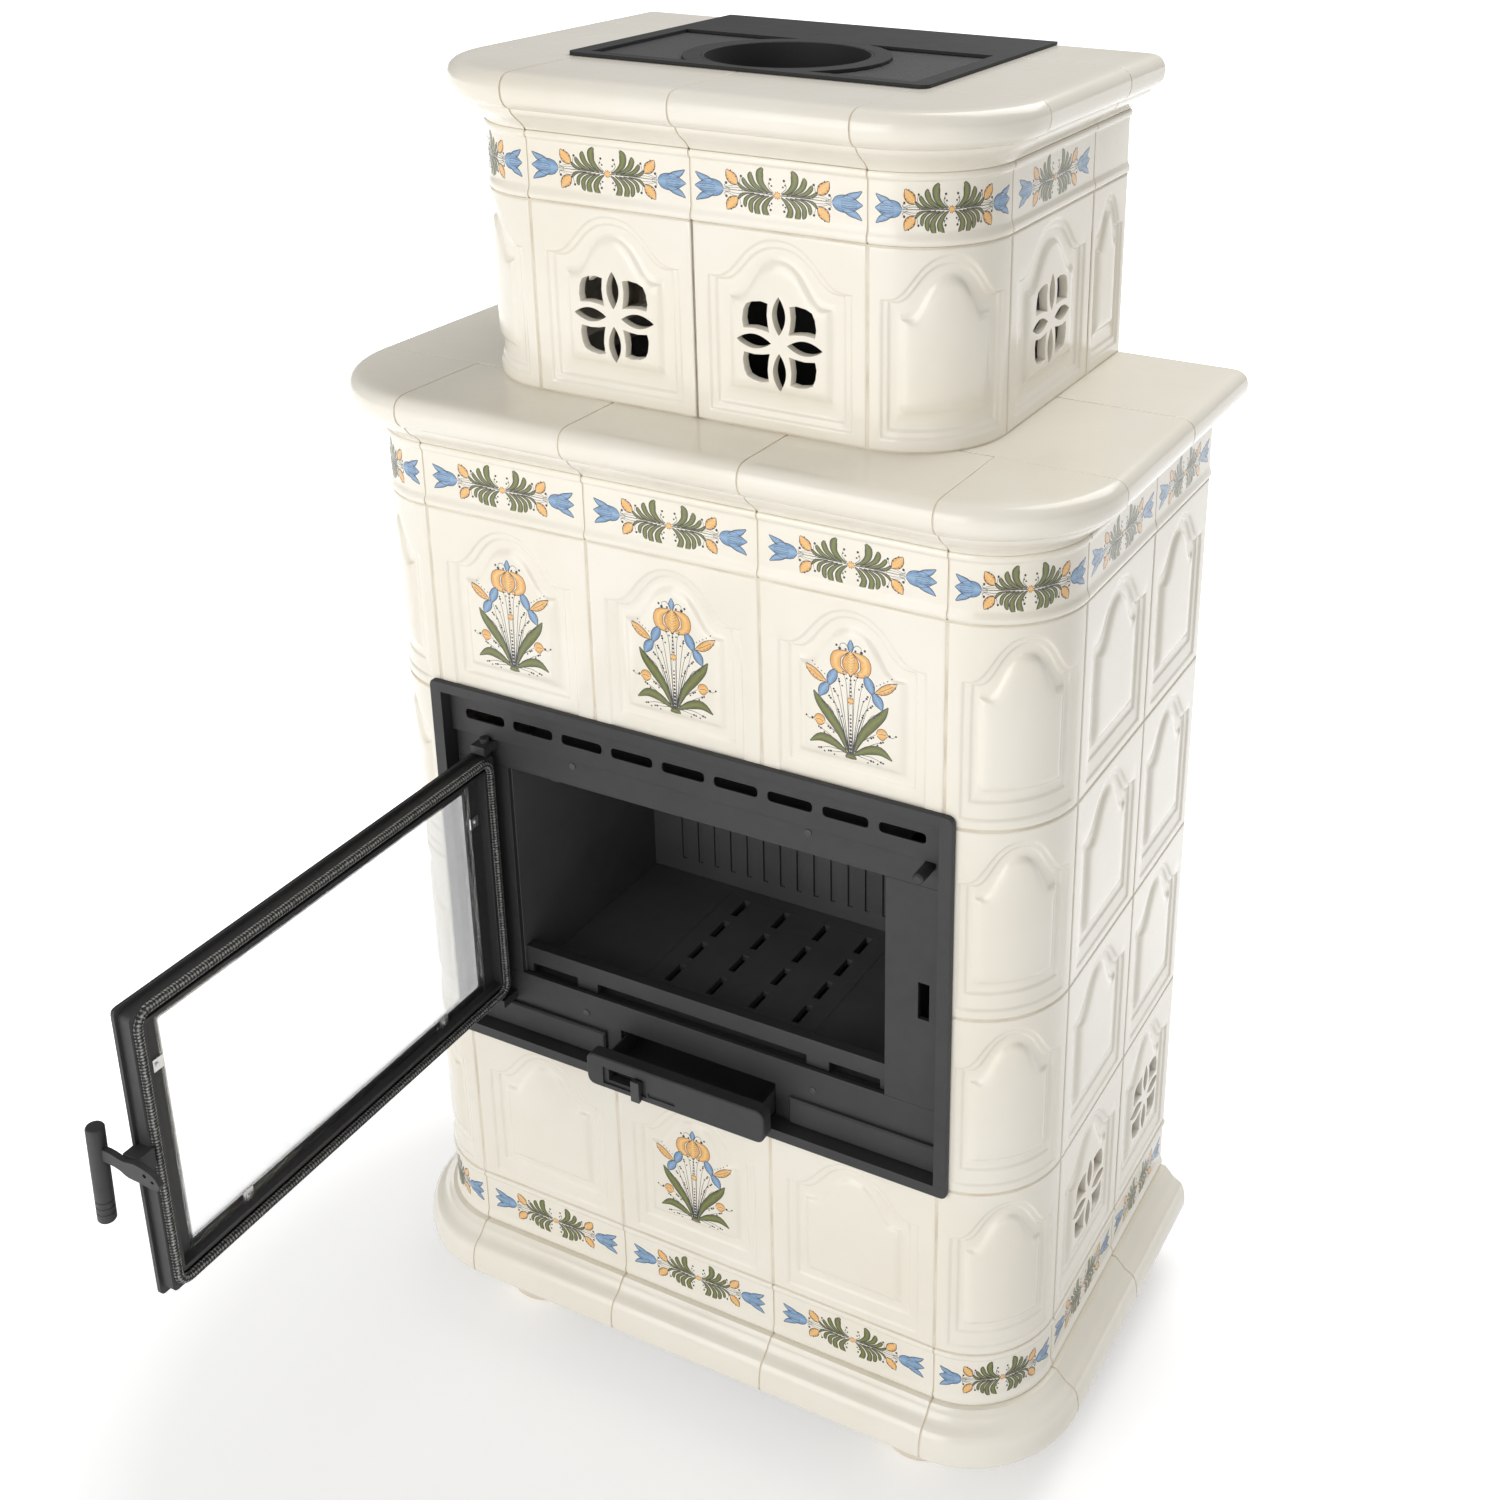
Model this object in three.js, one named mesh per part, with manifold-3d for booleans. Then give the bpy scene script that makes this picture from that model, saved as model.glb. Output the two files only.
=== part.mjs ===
// Tiled stove: two tiers of glazed tiles round a cast firebox insert with a glass door, an ash
// drawer and an air valve. Millimetres, +Z up, the front faces -Y.
import * as THREE from 'three';
import { mergeVertices } from 'three/addons/utils/BufferGeometryUtils.js';
import Module from 'manifold-3d';

const wasm = await Module();
wasm.setup();

// ---------------------------------------------------------------- driving dimensions
const FIT_GAP = 0.3; // between neighbouring pieces
const PIN_GAP = 0.35; // round pins and rods in their bores
const WALL = 16; // thickness of the tile walls

// tiles of the lower tier
const TILE_WIDTH = 206;
const TILE_HEIGHT = 222.8;
const FRONT_COLUMNS = 3;
const LOWER_ROWS = 4;
const SIDE_TILE_WIDTHS = [192.3, 181.4]; // front to rear
const CORNER_RADIUS = 101.3;
const FRONT_HALF = (FRONT_COLUMNS * TILE_WIDTH) / 2;

// tiles of the upper tier
const UPPER_TILE_WIDTH = 192.3;
const UPPER_TILE_HEIGHT = 202.8;
const UPPER_COLUMNS = 2;
const UPPER_SIDE_TILE_WIDTH = 211.3;
const UPPER_CORNER_RADIUS = 102.2;
const UPPER_SETBACK = 59.6; // upper front behind the lower front

// relief of the tiles
const JOINT_WIDTH = 2.6;
const RELIEF_DEPTH = 2.5;
const PANEL_DROP = 0.4; // raised panel below the tile's face
const ARCH_STEPS = 3; // straight pieces in half an arch
const CORNER_STEPS = 6; // straight pieces in a quarter round
const MOULDING_STEPS = 6; // straight pieces in a moulding's quarter round
const ROUND_STEPS = 32; // straight pieces round the flue
const PIN_STEPS = 16; // straight pieces round pins, rods and their bores
const FOOT_STEPS = 18; // straight pieces round a foot
const GRID = 1e-3; // points are set to this grid, so that faces meet exactly
const REACH = 1000; // longer than any piece, for cutters

// friezes, mouldings and feet
const FRIEZE_HEIGHT = 70.9;
const BASE_FRIEZE_HEIGHT = 72.4;
const UPPER_FRIEZE_HEIGHT = 69.7;
const FRIEZE_ROLL = 7;
const FRIEZE_ROLL_OUT = 1.6;
const FRIEZE_HOLLOW = 1.2;
const CORNICE_HEIGHT = 60;
const CORNICE_OVERHANG = 35.5;
const PLINTH_HEIGHT = 59;
const SLAB_THICKNESS = 26;
const LOWER_SLAB_INNER_Y = 100;
const LOWER_SLAB_INNER_X = 262;
const SLAB_CORNER_JOINT = 10.9; // slab joint in front of the wall's corner joint
const UPPER_SLAB_INNER_Y = 158;
const UPPER_SLAB_INNER_X = 200;
const UPPER_SLAB_SIDE_JOINT_Y = 373;
const FOOT_RADIUS = 50;
const FOOT_HEIGHT = 68.6;
const FOOT_EDGE = 8;
const FOOT_X = 270;
const FOOT_INSET_Y = 64;

// pierced rosette
const ROSETTE_CENTRE = 0.45; // share of the tile's height
const PETAL_START = 9;
const PETAL_END = 48;
const PETAL_WIDTH = 17;
const PETAL_STEPS = 3; // straight pieces in each side of a petal
const ROSETTE_RIB = 6;
const ROSETTE_REACH = 38; // outer edge of the quadrant holes from the centre lines

// sheet metal of the carcass and the top
const BASE_PLATE_THICKNESS = 6;
const BACK_PANEL_THICKNESS = 2;
const BACK_PANEL_INSET = 3;
const BACK_PANEL_FLANGE = 18;
const TOP_PLATE_HALF_WIDTH = 206;
const TOP_PLATE_FRONT_Y = 152;
const TOP_PLATE_THICKNESS = 3.5;
const TOP_PLATE_CORNER = 10;
const FLUE_CENTRE_Y = 250;
const FLUE_RADIUS = 89;
const FLUE_WALL = 3;
const FLUE_RIM_RADIUS = 108;
const WINDOW_HALF_WIDTH = 186;
const WINDOW_FRONT_Y = 168;
const WINDOW_BACK_Y = 350;
const MESH_THICKNESS = 1.5;
const MESH_BORDER = 5;

// insert frame: lip, recess and door seat
const LIP_SIDE_LAP = 13.5; // lip over the corner tiles
const LIP_LOW_LAP = 7.8; // lip over the bottom row of tiles
const LIP_HIGH_LAP = 14.6; // lip over the top row of tiles
const LIP_HALF_WIDTH = FRONT_HALF + LIP_SIDE_LAP;
const LIP_LOW = TILE_HEIGHT - LIP_LOW_LAP;
const LIP_HIGH = (LOWER_ROWS - 1) * TILE_HEIGHT + LIP_HIGH_LAP;
const LIP_FRONT_Y = -6;
const LIP_CORNER = 8;
const LIP_BEVEL = 1.5;
const RECESS_HALF_WIDTH = LIP_HALF_WIDTH - 15.5;
const RECESS_LOW = LIP_LOW + 14.5;
const RECESS_HIGH = LIP_HIGH - 13;
const RECESS_WALL = 1.5;
const SEAT_Y = 15;
const SEAT_THICKNESS = 5;
const MOUTH_HALF_WIDTH = RECESS_HALF_WIDTH - 69;
const MOUTH_LOW = RECESS_LOW + 78.5;
const MOUTH_HIGH = RECESS_HIGH - 88;
const KEEPER_X = RECESS_HALF_WIDTH - 24;
const KEEPER_WIDTH = 13;
const KEEPER_LOW = RECESS_LOW + 190.5;
const KEEPER_HIGH = RECESS_LOW + 235.5;
const SEAT_HIGH = RECESS_HIGH - 40; // air passes over the upper rail to the fascia

// slotted fascia and lower plates
const FASCIA_Y = 9;
const FASCIA_THICKNESS = 2;
const FASCIA_LOW = RECESS_HIGH - 53;
const FASCIA_SLOTS = 9;
const FASCIA_END = 47.4; // from the recess side to the last slot's centre
const FASCIA_SLOT_PITCH = (2 * (RECESS_HALF_WIDTH - FASCIA_END)) / (FASCIA_SLOTS - 1);
const FASCIA_SLOT_LENGTH = FASCIA_SLOT_PITCH - 11.9;
const FASCIA_SLOT_LOW = RECESS_HIGH - 34;
const FASCIA_SLOT_HIGH = RECESS_HIGH - 22;
const LOWER_PLATE_INNER_X = 122;
const LOWER_PLATE_OUTER_X = RECESS_HALF_WIDTH - 1;
const LOWER_PLATE_LOW = RECESS_LOW + 1.5;
const LOWER_PLATE_HIGH = RECESS_LOW + 35.5;
const LOWER_PLATE_BEVEL = 2;

// firebox
const FIREBOX_HALF_WIDTH = MOUTH_HALF_WIDTH - 1;
const FIREBOX_WALL = 5;
const FIREBOX_FLOOR_Z = MOUTH_LOW - 8;
const FIREBOX_FLOOR_THICKNESS = 8;
const FIREBOX_REAR_Y = 292;
const FIREBOX_LINING = 8;
const FIREBOX_LINING_HIGH = MOUTH_HIGH - 52;
const FIREBOX_OUTER_REAR_Y = 345;
const FIREBOX_TOP_Z = MOUTH_HIGH + 18;
const GROOVE_PITCH = 24;
const GROOVE_COUNT = 17;
const GROOVE_WIDTH = 7;
const GROOVE_DEPTH = 3;
const GROOVE_START = 20; // above the firebox floor
const BAFFLE_THICKNESS = 8;
const BAFFLE_FRONT_Y = 90;
const BAFFLE_LEDGE = 10; // width of the ledges that carry the baffle
const BAFFLE_Z = FIREBOX_LINING_HIGH + 4;
const GRATE_HALF_WIDTH = 115;
const GRATE_FRONT_Y = 80;
const GRATE_REAR_Y = 278;
const GRATE_LEDGE = 4; // what carries the grate's front and rear edges
const GRATE_STRIPS = 4;
const GRATE_SLOTS = 4;
const GRATE_SLOT_WIDTH = 9;
const GRATE_SLOT_LENGTH = 34;
const GUARD_Y = 23;
const GUARD_THICKNESS = 6;
const GUARD_HIGH = FIREBOX_FLOOR_Z + 41;
const GUARD_BEAM_HEIGHT = 17;
const GUARD_BEAM_DEPTH = 13;
const GUARD_WINDOW_LOW = FIREBOX_FLOOR_Z + 5;
const GUARD_WINDOW_HIGH = FIREBOX_FLOOR_Z + 19;
const GUARD_PILLAR_X = 152;
const GUARD_PILLAR_WIDTH = 28;
const GUARD_END = 8;

// ash housing and drawer
const DRAWER_HALF_WIDTH = 101;
const DRAWER_LOW = RECESS_LOW + 5.1;
const DRAWER_HIGH = RECESS_LOW + 32.5;
const DRAWER_WALL = 2;
const DRAWER_LENGTH = 260;
const DRAWER_SIDE_GAP = 1.5;
const DRAWER_OUT = 32; // shown pulled out this far
const DRAWER_FRONT_Y = -3; // face of the closed drawer
const DRAWER_FRONT_THICKNESS = 16;
const DRAWER_FRONT_HALF_WIDTH = 116;
const DRAWER_FRONT_LOW = LOWER_PLATE_LOW;
const DRAWER_FRONT_HIGH = DRAWER_FRONT_LOW + 42;
const DRAWER_FRONT_CORNER = 10;
const DRAWER_FRONT_BEVEL = 1.5;
const HOUSING_WALL = 3;
const HOUSING_REAR_GAP = 12;
const HOUSING_FLANGE = 13;
const AIR_SLOT_LEFT = -88;
const AIR_SLOT_RIGHT = -42;
const AIR_SLOT_LOW = DRAWER_FRONT_LOW + 11;
const AIR_SLOT_HIGH = DRAWER_FRONT_LOW + 25.5;
const AIR_REBATE_MARGIN_X = 6;
const AIR_REBATE_MARGIN_Z = 4;
const AIR_REBATE_DEPTH = 3;
const AIR_TRAVEL = 32;
const SHUTTER_THICKNESS = 1.7;
const SHUTTER_MARGIN = 2;
const KNOB_WIDTH = 11;
const KNOB_LOW = DRAWER_FRONT_LOW + 0.5;
const KNOB_DEPTH = 5;
const MARK_GROOVE_LEFT = -34;
const MARK_GROOVE_RIGHT = 2;
const MARK_GROOVE_LOW = DRAWER_FRONT_LOW + 9;
const MARK_GROOVE_HIGH = DRAWER_FRONT_LOW + 14.5;
const MARK_GROOVE_DEPTH = 2;

// door, drawn closed and shown open
const HINGE_X = -(RECESS_HALF_WIDTH - 49);
const HINGE_Y = 3;
const DOOR_OPEN_DEGREES = 89;
const DOOR_HALF_WIDTH = RECESS_HALF_WIDTH - 41;
const DOOR_LOW = RECESS_LOW + 50.5;
const DOOR_HIGH = RECESS_HIGH - 65;
const DOOR_FRONT_Y = -10;
const DOOR_FLANGE_BACK_Y = -3;
const DOOR_BEVEL = 3;
const DOOR_CORNER = 6;
const RING_HALF_WIDTH = DOOR_HALF_WIDTH - 4;
const RING_BACK_Y = 10;
const RING_TOP_MARGIN = 6; // door flange beyond the ring, above and below
const GASKET_DIAMETER = 10;
const GASKET_EDGE = 8; // rope centre line inside the ring's edge
const GASKET_SEAT_GAP = 0.4; // rope to the door seat when closed
const GASKET_CORNER = 14;
const GASKET_SIDES = 8;
const GASKET_TURN_STEPS = 3;
const CHANNEL_GAP = 0.3;
const RING_INNER_WALL = 4;
const GLASS_HALF_WIDTH = RING_HALF_WIDTH - 35;
const GLASS_LOW = DOOR_LOW + 24.4;
const GLASS_HIGH = DOOR_HIGH - 32;
const GLASS_THICKNESS = 4;
const GLASS_BACK_Y = -0.3;
const GLASS_OVERLAP = 6; // hidden behind the frame on each side
const SIGHT_CORNER = 3;
const GLASS_GASKET_THICKNESS = 1.4;
const CLIP_SIZE = 13;
const CLIP_THICKNESS = 1.5;
const CLIP_SIDE_X = GLASS_HALF_WIDTH + 4;
const CLIP_SIDE_Z = GLASS_HIGH - 47;
const CLIP_LOW_X = 152;
const CLIP_LOW_Z = GLASS_LOW + 6.8;
const HINGE_PIN_RADIUS = 3;
const HINGE_PIN_LENGTH = 8;
const HINGE_BLOCK_WIDTH = 18;
const HINGE_BLOCK_HEIGHT = 10;
const HINGE_BLOCK_FRONT_Y = -10;
const HINGE_CAP_RADIUS = 5.5;
const HINGE_CAP_HEIGHT = 5;

// handle on the door's free edge
const HANDLE_PIVOT_Y = 8;
const HANDLE_PIVOT_Z = RECESS_LOW + 217.5;
const HANDLE_PLATE_LEFT = RING_HALF_WIDTH + 17.6;
const HANDLE_PLATE_THICKNESS = 6;
const HANDLE_PIN_RADIUS = 3.5;
const LUG_LEFT = RING_HALF_WIDTH;
const LUG_LOW = HANDLE_PIVOT_Z - 10;
const LUG_HIGH = HANDLE_PIVOT_Z + 11;
const LUG_BACK_Y = 14.4;
const LUG_BORE_START = 4; // the pin's end inside the lug
const GRIP_RADIUS = 9;
const GRIP_LOW = HANDLE_PIVOT_Z - 73.4;
const GRIP_HIGH = HANDLE_PIVOT_Z + 34.7;
const GRIP_Y = -34;
const GRIP_TILT_DEGREES = 2.6;
const GRIP_RING_DEPTH = 0.6;
const GRIP_RING_WIDTH = 1.6;
const GRIP_RING_PITCH = 7;
const GRIP_RINGS = 3;
const GRIP_FIRST_RING = 10; // above the grip's lower end
const GRIP_ROUND = 2;
const GRIP_STEPS = 14;
const TANG_LOW = 0.5; // slot of the lever in the grip, below and above the pivot
const TANG_HIGH = 12.6;
const LEVER_UPPER_EDGE = [
  [GRIP_Y + 4, 12],
  [-16, 12.5],
  [0, 9],
  [14, 11],
  [28, 8.5],
  [38, 4],
  [43, -4],
]; // [depth, height over the pivot], from the grip to the latch nose
const LEVER_LOWER_EDGE = [
  [41, -9.5],
  [32, -10],
  [18, -8.5],
  [4, -7.5],
  [-8, -2],
  [GRIP_Y + 4, 0],
];
const LEVER_HOLES = [
  [26, 2, 2.2],
  [35, -2, 1.8],
]; // [depth, height over the pivot, radius]
const CLIP_SCREW_RADIUS = 2.5;
const CLIP_SCREW_HEIGHT = 1.5;
const CLIP_SCREW_SHIFT = 2; // from the clip's middle, away from the glass
const CLIP_SCREW_STEPS = 10;

// pull rod of the valve
const ROD_RADIUS = 6.25;
const ROD_X = RECESS_HALF_WIDTH - 19;
const ROD_Z = RECESS_HIGH - 61;
const ROD_FRONT_Y = -15;
const ROD_LENGTH = 175;
const ROD_ROUND = 2.2;
const ROD_STEPS = 20;
const VALVE_SIZE = 44;
const VALVE_THICKNESS = 3;

// ---------------------------------------------------------------- derived places
const SIDE_X = FRONT_HALF + CORNER_RADIUS;
const SIDE_DEPTH = SIDE_TILE_WIDTHS[0] + SIDE_TILE_WIDTHS[1];
const REAR_Y = CORNER_RADIUS + SIDE_DEPTH;
const WALL_TOP = LOWER_ROWS * TILE_HEIGHT;
const FRIEZE_TOP = WALL_TOP + FRIEZE_HEIGHT;
const SLAB_TOP = FRIEZE_TOP + CORNICE_HEIGHT;
const PLINTH_TOP = -BASE_FRIEZE_HEIGHT;
const PLINTH_LOW = PLINTH_TOP - PLINTH_HEIGHT;
const UPPER_FRONT_HALF = (UPPER_COLUMNS * UPPER_TILE_WIDTH) / 2;
const UPPER_SIDE_X = UPPER_FRONT_HALF + UPPER_CORNER_RADIUS;
const UPPER_SIDE_START_Y = UPPER_SETBACK + UPPER_CORNER_RADIUS;
const UPPER_HALF_TILE_WIDTH = REAR_Y - UPPER_SIDE_START_Y - UPPER_SIDE_TILE_WIDTH;
const UPPER_WALL_TOP = SLAB_TOP + UPPER_TILE_HEIGHT;
const UPPER_FRIEZE_TOP = UPPER_WALL_TOP + UPPER_FRIEZE_HEIGHT;
const UPPER_SLAB_TOP = UPPER_FRIEZE_TOP + CORNICE_HEIGHT;
const HALF_GAP = FIT_GAP / 2;
const HALF_JOINT = JOINT_WIDTH / 2;

// ---------------------------------------------------------------- materials
const finish = (color, roughness, metalness) =>
  new THREE.MeshStandardMaterial({ color, roughness, metalness });
const glaze = finish(0xf0ebde, 0.15, 0);
const footGlaze = finish(0xe9dccb, 0.3, 0);
const castIron = finish(0x3e3e3f, 0.55, 0.4);
const darkSteel = finish(0x37373a, 0.5, 0.6);
const sheetSteel = finish(0x5a5a5c, 0.45, 0.8);
const brightSteel = finish(0xc9c9cb, 0.25, 1);
const rope = finish(0x55554f, 0.9, 0);
const clearGlass = new THREE.MeshStandardMaterial({
  color: 0xe8ecec,
  roughness: 0.05,
  metalness: 0,
  transparent: true,
  opacity: 0.3,
});

// ---------------------------------------------------------------- solids and booleans
/** A boolean solid from a closed geometry: welded, without flat triangles, facing out. */
function solidOf(geometry) {
  const bare = geometry.clone();
  bare.deleteAttribute('normal');
  bare.deleteAttribute('uv');
  const places = bare.attributes.position.array;
  places.forEach((value, index) => {
    places[index] = Math.round(value / GRID) * GRID;
  });
  const welded = mergeVertices(bare, GRID / 10);
  const corners = [];
  for (let i = 0; i < welded.index.count; i += 3) {
    const [a, b, c] = [0, 1, 2].map((step) => welded.index.getX(i + step));
    if (a !== b && b !== c && c !== a) corners.push(a, b, c);
  }
  const build = (triVerts) =>
    new wasm.Manifold(
      new wasm.Mesh({
        numProp: 3,
        vertProperties: Float32Array.from(welded.attributes.position.array),
        triVerts: Uint32Array.from(triVerts),
      }),
    );
  const solid = build(corners);
  return solid.volume() > 0 ? solid : build(corners.reverse());
}

/** The geometry of a finished solid, with flat shading normals. */
function geometryOf(solid) {
  const { vertProperties, triVerts } = solid.getMesh();
  const geometry = new THREE.BufferGeometry();
  geometry.setAttribute('position', new THREE.BufferAttribute(vertProperties, 3));
  geometry.setIndex(new THREE.BufferAttribute(triVerts, 1));
  geometry.computeVertexNormals();
  return geometry;
}

const join = (solids) => solids.reduce((sum, solid) => sum.add(solid));
const cut = (solid, cutters) => cutters.reduce((rest, cutter) => rest.subtract(cutter), solid);

/** A named mesh from a solid. */
function piece(name, solid, material) {
  const mesh = new THREE.Mesh(geometryOf(solid), material);
  mesh.name = name;
  return mesh;
}

/** The solid's mirror image across the plane x = 0. */
function mirrored(solid) {
  const geometry = geometryOf(solid);
  geometry.scale(-1, 1, 1);
  return solidOf(geometry);
}

/** The solid moved by a distance along each axis. */
function moved(solid, x, y, z) {
  const geometry = geometryOf(solid);
  geometry.translate(x, y, z);
  return solidOf(geometry);
}

// frames that carry a drawn outline and its extrusion into the stove
const axis = (x, y, z) => new THREE.Vector3(x, y, z);
const basis = (right, up, out) => new THREE.Matrix4().makeBasis(right, up, out);
const PLAN = basis(axis(1, 0, 0), axis(0, 1, 0), axis(0, 0, 1));
const FRONT = basis(axis(1, 0, 0), axis(0, 0, 1), axis(0, -1, 0));
const SIDE = basis(axis(0, 1, 0), axis(0, 0, 1), axis(1, 0, 0));
const FRONT_PROFILE = basis(axis(0, -1, 0), axis(0, 0, 1), axis(-1, 0, 0));
const SIDE_PROFILE = basis(axis(1, 0, 0), axis(0, 0, 1), axis(0, -1, 0));

/**
 * Extrudes an outline from one distance to another along the frame's third axis. Each arc in
 * the outline gets the given number of straight pieces, an even number.
 */
function extruded(shape, from, to, frame = PLAN, arcSteps = 4) {
  const options = { depth: to - from, bevelEnabled: false, curveSegments: arcSteps / 2 };
  const geometry = new THREE.ExtrudeGeometry(shape, options);
  geometry.translate(0, 0, from);
  geometry.applyMatrix4(frame);
  return solidOf(geometry);
}

/** An outline in the front's plane, extruded from its front y to its back y. */
const frontPlate = (shape, yFront, yBack, arcSteps) =>
  extruded(shape, -yBack, -yFront, FRONT, arcSteps);

/** An axis-aligned block between two corners. */
function block(x0, x1, y0, y1, z0, z1) {
  const geometry = new THREE.BoxGeometry(x1 - x0, y1 - y0, z1 - z0);
  geometry.translate((x0 + x1) / 2, (y0 + y1) / 2, (z0 + z1) / 2);
  return solidOf(geometry);
}

/** A front plate whose front edges are chamfered. */
function bevelledFrontPlate(shape, yFront, yBack, bevel, arcSteps = 4) {
  const options = {
    depth: yBack - yFront,
    bevelEnabled: true,
    bevelThickness: bevel,
    bevelSize: bevel,
    bevelOffset: -bevel,
    bevelSegments: 1,
    curveSegments: arcSteps / 2,
  };
  const geometry = new THREE.ExtrudeGeometry(shape, options);
  geometry.translate(0, 0, -yBack - bevel);
  geometry.applyMatrix4(FRONT);
  const behind = block(-REACH, REACH, yBack, yBack + 4 * bevel, -REACH, REACH);
  return solidOf(geometry).subtract(behind);
}

function cylinder(radius, from, to, direction, sides = 24) {
  const geometry = new THREE.CylinderGeometry(radius, radius, to - from, sides);
  geometry.translate(0, (from + to) / 2, 0);
  if (direction === 'z') geometry.rotateX(Math.PI / 2);
  if (direction === 'x') geometry.rotateZ(-Math.PI / 2);
  return solidOf(geometry);
}

/** A body of revolution about the z axis, from a closed list of [radius, z]. */
function revolved(profile, segments) {
  const points = profile.map(([radius, z]) => new THREE.Vector2(radius, z));
  const geometry = new THREE.LatheGeometry(points, segments);
  geometry.rotateX(Math.PI / 2);
  return solidOf(geometry);
}

// ---------------------------------------------------------------- outlines
function polygon(points) {
  return new THREE.Shape(points.map(([x, y]) => new THREE.Vector2(x, y)));
}

const rectangle = (x0, x1, y0, y1) =>
  polygon([
    [x0, y0],
    [x1, y0],
    [x1, y1],
    [x0, y1],
  ]);

function roundedRectangle(x0, x1, y0, y1, radius) {
  const shape = new THREE.Shape();
  shape.absarc(x0 + radius, y0 + radius, radius, Math.PI, 1.5 * Math.PI);
  shape.absarc(x1 - radius, y0 + radius, radius, 1.5 * Math.PI, 2 * Math.PI);
  shape.absarc(x1 - radius, y1 - radius, radius, 0, 0.5 * Math.PI);
  shape.absarc(x0 + radius, y1 - radius, radius, 0.5 * Math.PI, Math.PI);
  shape.closePath();
  return shape;
}

function withHoles(shape, holes) {
  shape.holes.push(...holes);
  return shape;
}

/**
 * The tile's arch: straight sides up to the shoulder, then an ogee up to the crown.
 * The shares are of the tile's width and height.
 */
function archPoints(width, height, { side, bottom, shoulder, crown }) {
  const half = width / 2 - side * width;
  const shoulderZ = shoulder * height;
  const crownZ = crown * height;
  const ogee = new THREE.CubicBezierCurve(
    new THREE.Vector2(half, shoulderZ),
    new THREE.Vector2(half * 0.6, shoulderZ),
    new THREE.Vector2(half * 0.6, crownZ),
    new THREE.Vector2(0, crownZ),
  );
  const rightHalf = ogee.getPoints(ARCH_STEPS).map((point) => [point.x, point.y]);
  const leftHalf = rightHalf
    .slice(0, -1)
    .reverse()
    .map(([x, z]) => [-x, z]);
  return [[-half, bottom * height], [half, bottom * height], ...rightHalf, ...leftHalf];
}

const RECESS_ARCH = { side: 0.11, bottom: 0.09, shoulder: 0.73, crown: 0.935 };
const PANEL_ARCH = { side: 0.22, bottom: 0.2, shoulder: 0.65, crown: 0.845 };
const NARROW_RECESS_ARCH = { side: 0.14, bottom: 0.09, shoulder: 0.73, crown: 0.92 };
const NARROW_PANEL_ARCH = { side: 0.27, bottom: 0.18, shoulder: 0.66, crown: 0.82 };

// ---------------------------------------------------------------- flat tiles
/** The holes of a pierced rosette: four pointed petals and four quadrants between ribs. */
function rosetteHoles(centreX, centreZ) {
  const middle = (PETAL_START + PETAL_END) / 2;
  const half = PETAL_WIDTH / 2;
  const petal = new THREE.Shape();
  petal.moveTo(PETAL_START, 0);
  petal.quadraticCurveTo(middle, -2 * half, PETAL_END, 0);
  petal.quadraticCurveTo(middle, 2 * half, PETAL_START, 0);
  const near = half + ROSETTE_RIB;
  const quadrant = polygon([
    [near - 2, near - 2],
    [middle, near],
    [ROSETTE_REACH, near - 1],
    [ROSETTE_REACH - 2, ROSETTE_REACH - 5],
    [ROSETTE_REACH - 5, ROSETTE_REACH - 2],
    [near - 1, ROSETTE_REACH],
    [near, middle],
  ]);
  const shapes = [petal, quadrant];
  const turns = [0, 1, 2, 3];
  return shapes.flatMap((shape) =>
    turns.map((turn) => {
      const geometry = new THREE.ExtrudeGeometry(shape, {
        depth: WALL + 2,
        bevelEnabled: false,
        curveSegments: PETAL_STEPS,
      });
      geometry.rotateZ((turn * Math.PI) / 2);
      geometry.translate(centreX, centreZ, -WALL - 1);
      return solidOf(geometry);
    }),
  );
}

/**
 * A wall of tiles drawn face on: x along the wall, y up, z out of it with the faces at z = 0.
 * Each tile is {x, z, width, height, pierced, plain}.
 */
function tileWall(tiles) {
  const x0 = Math.min(...tiles.map((tile) => tile.x)) + HALF_GAP;
  const x1 = Math.max(...tiles.map((tile) => tile.x + tile.width)) - HALF_GAP;
  const z0 = Math.min(...tiles.map((tile) => tile.z)) + HALF_GAP;
  const z1 = Math.max(...tiles.map((tile) => tile.z + tile.height)) - HALF_GAP;
  const core = extruded(rectangle(x0, x1, z0, z1), -WALL, -RELIEF_DEPTH);
  const bite = 1; // the relief is rooted this far in the core
  const layers = tiles.flatMap((tile) => {
    const centreX = tile.x + tile.width / 2;
    const place = (points) => points.map(([x, z]) => [x + centreX, z + tile.z]);
    const recess = tile.narrow ? NARROW_RECESS_ARCH : RECESS_ARCH;
    const panel = tile.narrow ? NARROW_PANEL_ARCH : PANEL_ARCH;
    const face = withHoles(
      rectangle(
        tile.x + HALF_JOINT,
        tile.x + tile.width - HALF_JOINT,
        tile.z + HALF_JOINT,
        tile.z + tile.height - HALF_JOINT,
      ),
      [polygon(place(archPoints(tile.width, tile.height, recess)))],
    );
    const raised = polygon(place(archPoints(tile.width, tile.height, panel)));
    return [
      extruded(face, -RELIEF_DEPTH - bite, 0),
      extruded(raised, -RELIEF_DEPTH - bite, -PANEL_DROP),
    ];
  });
  const rosettes = tiles
    .filter((tile) => tile.pierced)
    .flatMap((tile) =>
      rosetteHoles(tile.x + tile.width / 2, tile.z + ROSETTE_CENTRE * tile.height),
    );
  return cut(join([core, ...layers]), rosettes);
}

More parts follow.
